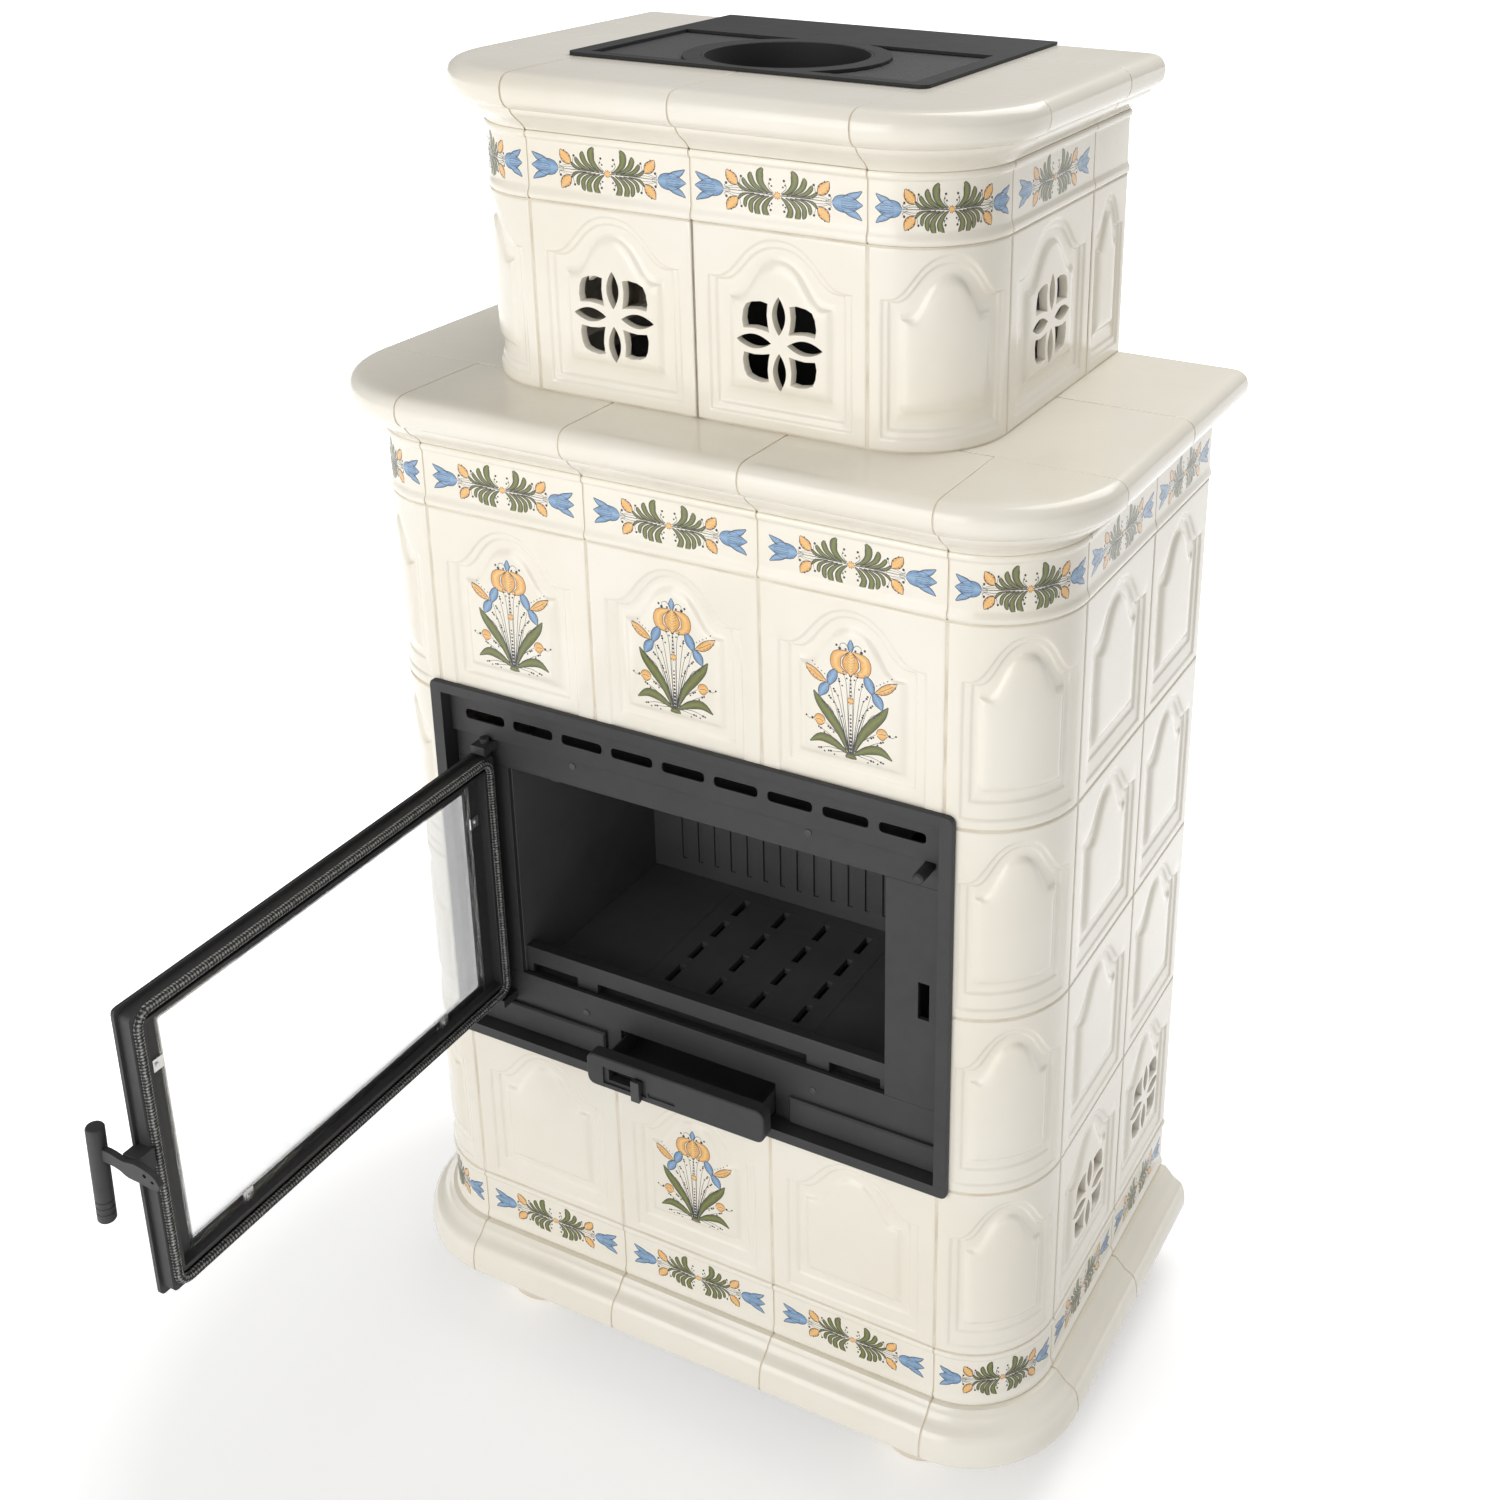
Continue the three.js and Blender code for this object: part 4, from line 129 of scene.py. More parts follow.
class Bench:
    """Modelling steps that every sub-assembly shares."""

    @staticmethod
    def clear() -> None:
        """Leaves nothing selected, in object mode."""
        if bpy.context.object and bpy.context.object.mode != "OBJECT":
            bpy.ops.object.mode_set(mode="OBJECT")
        bpy.ops.object.select_all(action="DESELECT")

    @staticmethod
    def pick(piece: bpy.types.Object) -> None:
        """Selects one piece alone and makes it active.

        Args:
            piece: The piece.
        """
        Bench.clear()
        piece.select_set(True)
        bpy.context.view_layer.objects.active = piece

    @staticmethod
    def face(name: str, outline: Sequence[Vector]) -> bpy.types.Object:
        """Makes one flat face.

        Args:
            name: The piece's name.
            outline: Its corners in order, in metres.

        Returns:
            The new piece with that single face.
        """
        Bench.clear()
        bpy.ops.mesh.primitive_circle_add(
            vertices=len(outline), radius=1, fill_type="NGON", location=(0, 0, 0)
        )
        piece = bpy.context.active_object
        piece.name = name
        for vertex, corner in zip(piece.data.vertices, outline):
            vertex.co = corner
        return piece

    @staticmethod
    def extrude(piece: bpy.types.Object, reach: Vector) -> None:
        """Draws all of a piece's faces out into a solid.

        Args:
            piece: A piece with one flat face.
            reach: The way and the length of the draw.
        """
        Bench.pick(piece)
        bpy.ops.object.mode_set(mode="EDIT")
        bpy.ops.mesh.select_all(action="SELECT")
        bpy.ops.mesh.extrude_region_move(TRANSFORM_OT_translate={"value": reach})
        bpy.ops.object.mode_set(mode="OBJECT")

    @staticmethod
    def spin(
        piece: bpy.types.Object, centre: Vector, axis: Vector, angle: float, steps: int
    ) -> None:
        """Sweeps a piece's faces round an axis.

        Args:
            piece: A piece with one flat face.
            centre: A point on the axis.
            axis: The axis.
            angle: The sweep in radians.
            steps: Its number of straight pieces.
        """
        Bench.pick(piece)
        bpy.ops.object.mode_set(mode="EDIT")
        bpy.ops.mesh.select_all(action="SELECT")
        bpy.ops.mesh.spin(steps=steps, angle=angle, center=centre, axis=axis)
        bpy.ops.object.mode_set(mode="OBJECT")

    @staticmethod
    def tidy(piece: bpy.types.Object, angle: float = 35) -> bpy.types.Object:
        """Merges doubles, turns faces outwards and smooths the shading.

        Args:
            piece: The piece to finish.
            angle: Edges sharper than this many degrees stay crisp.

        Returns:
            The same piece.
        """
        Bench.pick(piece)
        bpy.ops.object.mode_set(mode="EDIT")
        bpy.ops.mesh.select_all(action="SELECT")
        bpy.ops.mesh.remove_doubles(threshold=1e-6)
        bpy.ops.mesh.normals_make_consistent(inside=False)
        bpy.ops.object.mode_set(mode="OBJECT")
        bpy.ops.object.shade_smooth_by_angle(angle=math.radians(angle))
        return piece

    @staticmethod
    def bevel(piece: bpy.types.Object, width: float, segments: int = 2, angle: float = 50) -> None:
        """Rounds a piece's sharp edges.

        Args:
            piece: The piece.
            width: The bevel's width in metres.
            segments: Its number of facets.
            angle: Edges sharper than this many degrees are rounded.
        """
        Bench.pick(piece)
        modifier = piece.modifiers.new("edges", "BEVEL")
        modifier.width = width
        modifier.segments = segments
        modifier.limit_method = "ANGLE"
        modifier.angle_limit = math.radians(angle)
        bpy.ops.object.modifier_apply(modifier=modifier.name)

    @staticmethod
    def even(piece: bpy.types.Object) -> None:
        """Lets a piece's large faces set its shading, so that rounded ends don't bend it.

        Args:
            piece: The piece.
        """
        Bench.pick(piece)
        modifier = piece.modifiers.new("shading", "WEIGHTED_NORMAL")
        modifier.keep_sharp = True
        bpy.ops.object.modifier_apply(modifier=modifier.name)

    @staticmethod
    def settle(piece: bpy.types.Object) -> None:
        """Puts a piece's place into its mesh, with its object at the origin."""
        Bench.pick(piece)
        bpy.ops.object.transform_apply(location=True, rotation=True, scale=True)

    @staticmethod
    def skin(
        name: str,
        rings: Sequence[Sequence[Vector]],
        looped: bool = False,
        wrap: bool = True,
    ) -> bpy.types.Object:
        """Covers a row of rings with four-sided faces.

        Args:
            name: The piece's name.
            rings: Rings with the same number of points each.
            looped: Whether the last ring joins the first; otherwise both ends are capped.
            wrap: Whether each ring is closed.

        Returns:
            The new closed piece.
        """
        count = len(rings[0])
        points = [point for ring in rings for point in ring]
        faces: list[tuple[int, ...]] = []
        last = len(rings) if looped else len(rings) - 1
        for row in range(last):
            here, there = row * count, ((row + 1) % len(rings)) * count
            for column in range(count if wrap else count - 1):
                beside = (column + 1) % count
                faces.append((here + column, here + beside, there + beside, there + column))
        if not looped:
            end = (len(rings) - 1) * count
            faces.append(tuple(reversed(range(count))))
            faces.append(tuple(range(end, end + count)))
        mesh = bpy.data.meshes.new(name)
        mesh.from_pydata([tuple(point) for point in points], [], faces)
        piece = bpy.data.objects.new(name, mesh)
        bpy.context.scene.collection.objects.link(piece)
        return piece

    @staticmethod
    def join(name: str, pieces: Sequence[bpy.types.Object]) -> bpy.types.Object:
        """Joins pieces into one object under a new name.

        Args:
            name: The new name.
            pieces: The pieces to join.

        Returns:
            The joined object.
        """
        Bench.clear()
        for piece in pieces:
            piece.select_set(True)
        bpy.context.view_layer.objects.active = pieces[0]
        bpy.ops.object.join()
        whole = bpy.context.active_object
        whole.name = name
        return whole


def dress(
    piece: bpy.types.Object, body: Body, slot: str, *finishes: bpy.types.Material
) -> bpy.types.Object:
    """Gives a piece its finish and the body that it rides on.

    Args:
        piece: The piece.
        body: The body that carries it.
        slot: The record's material slot; not used.
        finishes: Its materials in the order of its faces' numbers.

    Returns:
        The same piece.
    """
    for finish in finishes:
        piece.data.materials.append(finish)
    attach(piece, body.value)
    return piece


# ------------------------------------------------------------------ finishes


class Graph:
    """A material under construction: adds nodes and joins their sockets."""

    def __init__(self, name: str) -> None:
        """Starts an empty material with that name.

        Args:
            name: The material's name.
        """
        self.material = bpy.data.materials.new(name)
        self.material.use_nodes = True
        self.tree = self.material.node_tree
        self.tree.nodes.clear()
        self.output = self.tree.nodes.new("ShaderNodeOutputMaterial")

    def node(self, kind: str, settings: dict | None = None, **inputs) -> bpy.types.Node:
        """Adds a node.

        Args:
            kind: The node's type without its ShaderNode prefix.
            settings: Attributes of the node.
            inputs: Values or output sockets for its inputs, with _ for a space.

        Returns:
            The new node.
        """
        node = self.tree.nodes.new("ShaderNode" + kind)
        for key, value in (settings or {}).items():
            setattr(node, key, value)
        for key, value in inputs.items():
            socket = node.inputs[key.replace("_", " ")]
            if isinstance(value, bpy.types.NodeSocket):
                self.tree.links.new(value, socket)
            else:
                socket.default_value = value
        return node

    def place(self) -> bpy.types.NodeSocket:
        """Gives the object coordinates' socket."""
        return self.node("TexCoord").outputs["Object"]

    def noise(
        self, vector: bpy.types.NodeSocket, scale: float, detail: float = 3
    ) -> bpy.types.NodeSocket:
        """Adds a noise pattern and gives its factor."""
        node = self.node("TexNoise", Vector=vector, Scale=scale, Detail=detail)
        return node.outputs["Fac"]

    def ramp(
        self, factor: bpy.types.NodeSocket, stops: Sequence[tuple[float, Sequence[float]]]
    ) -> bpy.types.NodeSocket:
        """Adds a colour ramp and gives its colour.

        Args:
            factor: The socket that drives it.
            stops: Each stop's place and colour.

        Returns:
            The colour's socket.
        """
        node = self.node("ValToRGB", Fac=factor)
        elements = node.color_ramp.elements
        while len(elements) < len(stops):
            elements.new(0.5)
        for element, (position, colour) in zip(elements, stops):
            element.position = position
            element.color = (*colour, 1)
        return node.outputs["Color"]

    def math(
        self,
        operation: str,
        a: float | bpy.types.NodeSocket,
        b: float | bpy.types.NodeSocket = 0.0,
    ) -> bpy.types.NodeSocket:
        """Adds a sum of two numbers or sockets and gives its value.

        Args:
            operation: The operation's name.
            a: The first value.
            b: The second value.

        Returns:
            The result's socket.
        """
        node = self.tree.nodes.new("ShaderNodeMath")
        node.operation = operation
        for socket, value in zip(node.inputs, (a, b)):
            if isinstance(value, bpy.types.NodeSocket):
                self.tree.links.new(value, socket)
            else:
                socket.default_value = value
        return node.outputs[0]

    def span(self, value: bpy.types.NodeSocket, low: float, high: float) -> bpy.types.NodeSocket:
        """Spreads a factor from 0 to 1 between two values.

        Args:
            value: The factor's socket.
            low: The value at 0.
            high: The value at 1.

        Returns:
            The spread value's socket.
        """
        node = self.node("MapRange", Value=value)
        node.inputs["To Min"].default_value = low
        node.inputs["To Max"].default_value = high
        return node.outputs["Result"]

    def bump(
        self,
        height: bpy.types.NodeSocket,
        distance: float,
        strength: float = 1,
        normal: bpy.types.NodeSocket | None = None,
    ) -> bpy.types.NodeSocket:
        """Adds a bump of that height in metres and gives its normal.

        Args:
            height: The socket with the height.
            distance: The height in metres.
            strength: The bump's strength.
            normal: A normal to build on, or none.

        Returns:
            The normal's socket.
        """
        node = self.node("Bump", Height=height, Distance=distance, Strength=strength)
        if normal is not None:
            self.tree.links.new(normal, node.inputs["Normal"])
        return node.outputs["Normal"]

    def surface(self, **inputs) -> bpy.types.Material:
        """Closes the material with a principled surface and gives it.

        Returns:
            The finished material.
        """
        shader = self.node("BsdfPrincipled", **inputs)
        self.tree.links.new(shader.outputs[0], self.output.inputs["Surface"])
        return self.material


@dataclass(frozen=True)
class Glaze:
    """Cream glaze over fired clay, with a faint drift of tone and a soft orange-peel skin."""

    name: str = "cream_glaze"
    pale: tuple[float, float, float] = (0.890, 0.845, 0.745)
    deep: tuple[float, float, float] = (0.855, 0.800, 0.685)
    roughness: tuple[float, float] = (0.13, 0.22)
    peel: float = 0.00012

    def material(self) -> bpy.types.Material:
        """Builds the glaze.

        Returns:
            The material.
        """
        graph = Graph(self.name)
        place = graph.place()
        drift = graph.noise(place, 5.5, 4)
        colour = graph.ramp(drift, [(0.3, self.deep), (0.62, self.pale)])
        speck = graph.noise(place, 900, 2)
        specks = graph.ramp(speck, [(0.16, (0.74, 0.66, 0.5)), (0.24, (1, 1, 1))])
        mix = graph.node("Mix", {"data_type": "RGBA", "blend_type": "MULTIPLY"})
        mix.inputs["Factor"].default_value = 0.5
        graph.tree.links.new(colour, mix.inputs["A"])
        graph.tree.links.new(specks, mix.inputs["B"])
        wave = graph.noise(place, 60, 2)
        skin = graph.noise(place, 330, 1)
        normal = graph.bump(wave, self.peel * 4, 0.35)
        normal = graph.bump(skin, self.peel, 0.5, normal)
        return graph.surface(
            Base_Color=mix.outputs["Result"],
            Roughness=graph.span(graph.noise(place, 14), *self.roughness),
            Normal=normal,
        )


@dataclass(frozen=True)
class Grout:
    """Fine pale jointing between the tiles."""

    name: str = "joint_grout"
    pale: tuple[float, float, float] = (0.80, 0.73, 0.61)
    deep: tuple[float, float, float] = (0.68, 0.59, 0.46)

    def material(self) -> bpy.types.Material:
        """Builds the grout.

        Returns:
            The material.
        """
        graph = Graph(self.name)
        place = graph.place()
        grain = graph.noise(place, 700, 4)
        colour = graph.ramp(graph.noise(place, 24, 4), [(0.35, self.deep), (0.65, self.pale)])
        return graph.surface(
            Base_Color=colour, Roughness=0.9, Normal=graph.bump(grain, 0.0003, 0.6)
        )


@dataclass(frozen=True)
class Paint:
    """A pigment under the glaze, laid on with a brush."""

    pigment: Pigment

    def material(self) -> bpy.types.Material:
        """Builds the pigment, deeper along one side of each stroke and streaked along it.

        Returns:
            The material.
        """
        pale, deep = self.pigment.value
        graph = Graph("pigment_" + self.pigment.name.lower())
        along = graph.node("UVMap", {"uv_map": "stroke"}).outputs["UV"]
        parts = graph.node("SeparateXYZ", Vector=along)
        across, run = parts.outputs["X"], parts.outputs["Y"]
        streaks = graph.node("CombineXYZ", X=graph.math("MULTIPLY", across, 7.0), Y=run)
        streak = graph.noise(streaks.outputs[0], 2.4, 3)
        edge = graph.math("ABSOLUTE", graph.math("SUBTRACT", across, 0.5))
        tone = graph.math("ADD", graph.math("MULTIPLY", edge, 1.1), streak)
        colour = graph.ramp(tone, [(0.45, pale), (1.0, deep)])
        place = graph.place()
        return graph.surface(
            Base_Color=colour,
            Roughness=graph.span(graph.noise(place, 40), 0.14, 0.26),
            Normal=graph.bump(graph.noise(place, 330, 1), 0.00012, 0.5),
        )


@dataclass(frozen=True)
class Iron:
    """Matt heat-proof paint on cast iron, with a fine grain and edges rounded in the shading."""

    name: str
    tone: float = 0.050
    grain: float = 0.00022
    roughness: tuple[float, float] = (0.46, 0.62)
    edge: float = 0.0009

    def material(self) -> bpy.types.Material:
        """Builds the painted iron.

        Returns:
            The material.
        """
        graph = Graph(self.name)
        place = graph.place()
        cloud = graph.noise(place, 9, 5)
        dark = tuple(self.tone * share for share in (0.86, 0.86, 0.88))
        light = tuple(self.tone * share for share in (1.14, 1.14, 1.15))
        colour = graph.ramp(cloud, [(0.32, dark), (0.68, light)])
        sand = graph.noise(place, 1300, 3)
        soft = graph.node("Bevel", {"samples": 4}, Radius=self.edge).outputs["Normal"]
        normal = graph.bump(sand, self.grain, 0.5, soft)
        return graph.surface(
            Base_Color=colour,
            Roughness=graph.span(graph.noise(place, 60, 4), *self.roughness),
            Normal=normal,
        )


@dataclass(frozen=True)
class Metal:
    """Bare metal: sheet steel or bright plated steel."""

    name: str
    tone: tuple[float, float, float]
    roughness: tuple[float, float]

    def material(self) -> bpy.types.Material:
        """Builds the metal with fine rolling marks along its length.

        Returns:
            The material.
        """
        graph = Graph(self.name)
        place = graph.place()
        stretched = graph.node("Mapping", Vector=place)
        stretched.inputs["Scale"].default_value = (1, 1, 0.06)
        marks = graph.noise(stretched.outputs[0], 420, 3)
        deep = tuple(part * 0.86 for part in self.tone)
        colour = graph.ramp(graph.noise(place, 16, 4), [(0.3, deep), (0.7, self.tone)])
        return graph.surface(
            Base_Color=colour,
            Metallic=0.9,
            Roughness=graph.span(marks, *self.roughness),
            Normal=graph.bump(marks, 0.00008, 0.4),
        )


@dataclass(frozen=True)
class Perforated:
    """Dark sheet with fine round holes in staggered rows, drawn as dimples with painted shade in
    them.
    """

    name: str = "perforated_sheet"
    pitch: float = 0.0042

    def material(self) -> bpy.types.Material:
        """Builds the sheet; the holes are dimples painted near black, as painted shade seen
        through them.

        Returns:
            The material.
        """
        graph = Graph(self.name)
        parts = graph.node("SeparateXYZ", Vector=graph.place())
        turn = 2 * math.pi / self.pitch
        rows = graph.math("COSINE", graph.math("MULTIPLY", parts.outputs["X"], turn))
        lines = graph.math("COSINE", graph.math("MULTIPLY", parts.outputs["Y"], turn))
        dots = graph.math("ADD", rows, lines)
        # The near black of the holes is painted shade, in place of the dark space behind real
        # holes.
        colour = graph.ramp(
            graph.span(dots, 0.5, 0.75), [(0.62, (0.052, 0.052, 0.054)), (0.9, (0.004,) * 3)]
        )
        return graph.surface(
            Base_Color=colour,
            Roughness=0.5,
            Normal=graph.bump(graph.math("MULTIPLY", dots, -1.0), 0.0006, 0.8),
        )


@dataclass(frozen=True)
class Braid:
    """Braided glass-fibre rope: dark strands with light flecks."""

    name: str = "braided_rope"
    dark: tuple[float, float, float] = (0.022, 0.022, 0.022)
    light: tuple[float, float, float] = (0.42, 0.42, 0.40)

    def material(self) -> bpy.types.Material:
        """Builds the rope; its strands cross on the piece's own map.

        Returns:
            The material.
        """
        graph = Graph(self.name)
        uv = graph.node("UVMap", {"uv_map": "rope"}).outputs["UV"]
        parts = graph.node("SeparateXYZ", Vector=uv)
        left = graph.math("ADD", parts.outputs["X"], parts.outputs["Y"])
        right = graph.math("SUBTRACT", parts.outputs["X"], parts.outputs["Y"])
        first = graph.math("SINE", graph.math("MULTIPLY", left, 2 * math.pi))
        second = graph.math("SINE", graph.math("MULTIPLY", right, 2 * math.pi))
        weave = graph.math("MULTIPLY", first, second)
        fleck = graph.noise(graph.place(), 520, 3)
        tone = graph.math("ADD", graph.math("MULTIPLY", weave, 0.32), fleck)
        colour = graph.ramp(tone, [(0.44, self.dark), (0.76, self.light)])
        return graph.surface(
            Base_Color=colour, Roughness=0.85, Normal=graph.bump(weave, 0.0009, 0.9)
        )


@dataclass(frozen=True)
class Glass:
    """Clear ceramic pane."""

    name: str = "door_pane"

    def material(self) -> bpy.types.Material:
        """Builds the pane with a barely uneven surface.

        Returns:
            The material.
        """
        graph = Graph(self.name)
        place = graph.place()
        return graph.surface(
            Base_Color=(0.85, 0.86, 0.86, 1),
            Roughness=graph.span(graph.noise(place, 3), 0.0, 0.03),
            IOR=1.45,
            Transmission_Weight=1.0,
            Alpha=0.55,
            Normal=graph.bump(graph.noise(place, 2, 1), 0.0004, 0.2),
        )


class Palette:
    """Every finish of the stove, built once."""

    def __init__(self) -> None:
        """Builds all materials."""
        self.glaze = Glaze().material()
        # The feet get a darker copy of the cream glaze: painted shade for feet that stand in the
        # stove's shadow.
        self.foot = Glaze(
            "foot_glaze", (0.80, 0.72, 0.60), (0.74, 0.65, 0.52), (0.25, 0.4)
        ).material()
        self.grout = Grout().material()
        self.paints = [Paint(pigment).material() for pigment in Pigment]
        self.iron = Iron("stove_iron", 0.027, roughness=(0.52, 0.68)).material()
        self.plate = Iron("top_iron", 0.013, roughness=(0.55, 0.7)).material()
        self.soot = Iron("fire_blacked_iron", 0.08, 0.0003, (0.6, 0.8)).material()
        self.flue = Iron("flue_iron", 0.022, 0.0003, (0.6, 0.8)).material()
        self.dark = Iron("dark_sheet", 0.042, 0.0001, (0.4, 0.55), 0.0005).material()
        self.sheet = Metal("zinc_sheet", (0.55, 0.55, 0.56), (0.35, 0.5)).material()
        self.bright = Metal("bright_zinc", (0.82, 0.82, 0.83), (0.18, 0.34)).material()
        self.mesh = Perforated().material()
        self.rope = Braid().material()
        self.pane = Glass().material()


# ------------------------------------------------------------------ places on the stove


@dataclass(frozen=True)
class Plan:
    """The rounded outline of a tier: straight front and sides with quarter-round corners."""

    half: float
    front: float
    radius: float
    rear: float = 474.75

    @property
    def side(self) -> float:
        """Distance of the side faces from the middle."""
        return self.half + self.radius

    @property
    def start(self) -> float:
        """Depth at which the sides become straight."""
        return self.front + self.radius


LOWER = Plan(309.0, 0.0, 101.3)
UPPER = Plan(192.3, 59.6, 102.2)


@dataclass(frozen=True)
class Band:
    """A frieze's foot and height."""

    low: float
    height: float


BASE_BAND = Band(-72.4, 72.4)
TOP_BAND = Band(891.2, 70.9)
UPPER_BAND = Band(1224.9, 69.7)

Place = Callable[[float, float, float], Vector]


def on_front(plan: Plan, x: float, z: float) -> Place:
    """Gives the way from a tile's (across, up, out) to the front, from its lower left corner."""
    return lambda u, v, w: at(x + u, plan.front - w, z + v)


def on_side(plan: Plan, sign: int, y: float, z: float) -> Place:
    """Gives the way from a tile's (across, up, out) to a side, from its front lower corner."""
    return lambda u, v, w: at(sign * (plan.side + w), y + u, z + v)


def on_corner(plan: Plan, sign: int, z: float, shift: float = 0) -> Place:
    """Gives the way from a tile's (across, up, out) to a rounded corner, from the front.

    Args:
        plan: The sizes of the tiled body.
        sign: 1 for the right side, -1 for the left.
        z: Up from the tiles' foot.
        shift: How far along the corner the tile starts.

    Returns:
        The way from the tile to the frame.
    """

    def place(u: float, v: float, w: float) -> Vector:
        """Bends a point of the tile round the corner.

        Args:
            u: Across the tile.
            v: Up the tile.
            w: Out of the tile's face.

        Returns:
            The point in the frame.
        """
        angle = (u + shift) / plan.radius
        reach = plan.radius + w
        x = sign * (plan.half + reach * math.sin(angle))
        return at(x, plan.start - reach * math.cos(angle), z + v)

    return place


# ------------------------------------------------------------------ relief tiles


@dataclass(frozen=True)
class Arch:
    """An ogee-headed outline in shares of the tile's width and height."""

    side: float
    bottom: float
    shoulder: float
    crown: float
    lip: float = 0.035

    def grown(self, amount: float, width: float, height: float) -> "Arch":
        """Gives the outline moved outwards by some millimetres.

        Args:
            amount: The distance outwards.
            width: The tile's width.
            height: The tile's height.

        Returns:
            The new outline.
        """
        return Arch(
            self.side - amount / width,
            self.bottom - amount / height,
            self.shoulder + 0.55 * amount / height,
            self.crown + amount / height,
            self.lip,
        )

    def between(self, other: "Arch", share: float) -> "Arch":
        """Gives an outline part of the way to another.

        Args:
            other: The outline at the end of the way.
            share: The part of the way, from 0 to 1.

        Returns:
            The new outline.
        """
        return Arch(
            lerp(self.side, other.side, share),
            lerp(self.bottom, other.bottom, share),
            lerp(self.shoulder, other.shoulder, share),
            lerp(self.crown, other.crown, share),
            lerp(self.lip, other.lip, share),
        )


BOTTOM_STEPS, SIDE_STEPS, LIP_STEPS, HEAD_STEPS = 14, 9, 2, 16
JOINT_FACE, JOINT_BACK, JOINT_RIM = -0.95, -15.5, 3.5
WALL_THICKNESS, PIERCED_THICKNESS = 13.0, 8.5


@dataclass(frozen=True)
class Relief:
    """A relief tile: its size and the outlines of its two steps and its raised panel."""

    width: float
    height: float
    outer: Arch
    second: Arch
    panel: Arch
    pierced: bool = False
    thickness: float = WALL_THICKNESS
    gap: float = 1.25
    depth: float = 4.3

    def arch_ring(self, arch: Arch, w: float) -> Ring:
        """Lays one arched ring at height w over the tile's face.

        Args:
            arch: The outline.
            w: Out of the tile's face.

        Returns:
            The ring's points.
        """
        left, right = arch.side * self.width, (1 - arch.side) * self.width
        low, shoulder = arch.bottom * self.height, arch.shoulder * self.height
        crown, lip = arch.crown * self.height, arch.lip * self.width
        ring = [(lerp(left, right, i / BOTTOM_STEPS), low) for i in range(BOTTOM_STEPS)]
        ring += [(right, lerp(low, shoulder, i / SIDE_STEPS)) for i in range(SIDE_STEPS)]
        ring += [(right - lip * i / LIP_STEPS, shoulder) for i in range(LIP_STEPS)]
        half = (right - left) / 2 - lip
        middle = (left + right) / 2
        head = []
        for i in range(HEAD_STEPS):
            t = i / HEAD_STEPS
            x = half * ((1 - t) ** 3 + 3 * (1 - t) ** 2 * t * 0.62 + 3 * (1 - t) * t**2 * 0.58)
            rise = 3 * (1 - t) * t**2 + t**3
            head.append((x, lerp(shoulder, crown, rise)))
        ring += [(middle + x, v) for x, v in head]
        ring += [(middle, crown)]
        ring += [(middle - x, v) for x, v in reversed(head[1:])]
        ring += [(left + lip * (1 - i / LIP_STEPS), shoulder) for i in range(LIP_STEPS)]
        ring += [(left, lerp(shoulder, low, i / SIDE_STEPS)) for i in range(SIDE_STEPS)]
        return [Vector((u, v, w)) for u, v in ring]

    def edge_ring(self, inset: float, w: float) -> Ring:
        """Lays one rectangular ring, with as many points as an arched one.

        Args:
            inset: The distance from the edge.
            w: Out of the tile's face.

        Returns:
            The ring's points.
        """
        low, left = inset, inset
        right, high = self.width - inset, self.height - inset
        middle = self.width / 2
        ring = [(lerp(left, right, i / BOTTOM_STEPS), low) for i in range(BOTTOM_STEPS)]
        ring += [(right, lerp(low, high, i / SIDE_STEPS)) for i in range(SIDE_STEPS)]
        top = LIP_STEPS + HEAD_STEPS
        ring += [(lerp(right, middle, i / top), high) for i in range(top)]
        ring += [(lerp(middle, left, i / top), high) for i in range(top)]
        ring += [(left, lerp(high, low, i / SIDE_STEPS)) for i in range(SIDE_STEPS)]
        return [Vector((u, v, w)) for u, v in ring]

    def rings(self) -> list[Ring]:
        """Lists all rings from the tile's back over its edge and steps to the panel's middle.

        Returns:
            The rings from back to middle.
        """
        gap, deep = self.gap, self.depth
        grown = lambda arch, amount: arch.grown(amount, self.width, self.height)
        rings = [
            self.edge_ring(gap, -self.thickness),
            self.edge_ring(gap, -1.9),
            self.edge_ring(gap + 0.25, -0.9),
            self.edge_ring(gap + 0.9, -0.25),
            self.edge_ring(gap + 1.9, -0.02),
            self.edge_ring(gap + 3.2, 0),
        ]
        flat = rings[-1]
        brim = self.arch_ring(grown(self.outer, 2.6), 0)
        for share in (0.33, 0.66):
            rings.append([a.lerp(b, share) for a, b in zip(flat, brim)])
        rings.append(brim)
        steps = [
            (self.outer, 1.1, -0.16),
            (self.outer, 0.0, -0.72),
            (self.outer, -1.1, -1.28),
            (self.outer, -2.4, -1.46),
            (self.second, 2.2, -1.48),
            (self.second, 1.0, -1.66),
            (self.second, 0.0, -2.2),
            (self.second, -1.2, -2.78),
            (self.second, -2.8, -3.0),
        ]
        for arch, amount, w in steps:
            rings.append(self.arch_ring(grown(arch, amount), w * deep / 3.0))
        cove = self.second.between(self.panel, 0.55)
        rings.append(self.arch_ring(cove, -deep))
        for amount, w in (
            (3.0, -0.97),
            (1.3, -0.8),
            (-0.4, -0.55),
            (-2.4, -0.3),
            (-5.0, -0.12),
            (-9.0, -0.03),
        ):
            rings.append(self.arch_ring(grown(self.panel, amount), w * deep))
        last = self.arch_ring(grown(self.panel, -15), 0)
        rings.append(last)
        heart = Vector((self.width / 2, 0.47 * self.height, 0))
        for share in (0.25, 0.5, 0.75, 0.95):
            rings.append([point.lerp(heart, share) for point in last])
        return rings

    def flat(self) -> bpy.types.Object:
        """Builds the tile lying flat, in millimetres, with its rosette cut through.

        Returns:
            The flat tile.
        """
        tile = Bench.skin("flat_tile", self.rings())
        Bench.tidy(tile, 40)
        if self.pierced:
            Rosette(self.width / 2, 0.45 * self.height).cut(tile, self.thickness)
        return tile

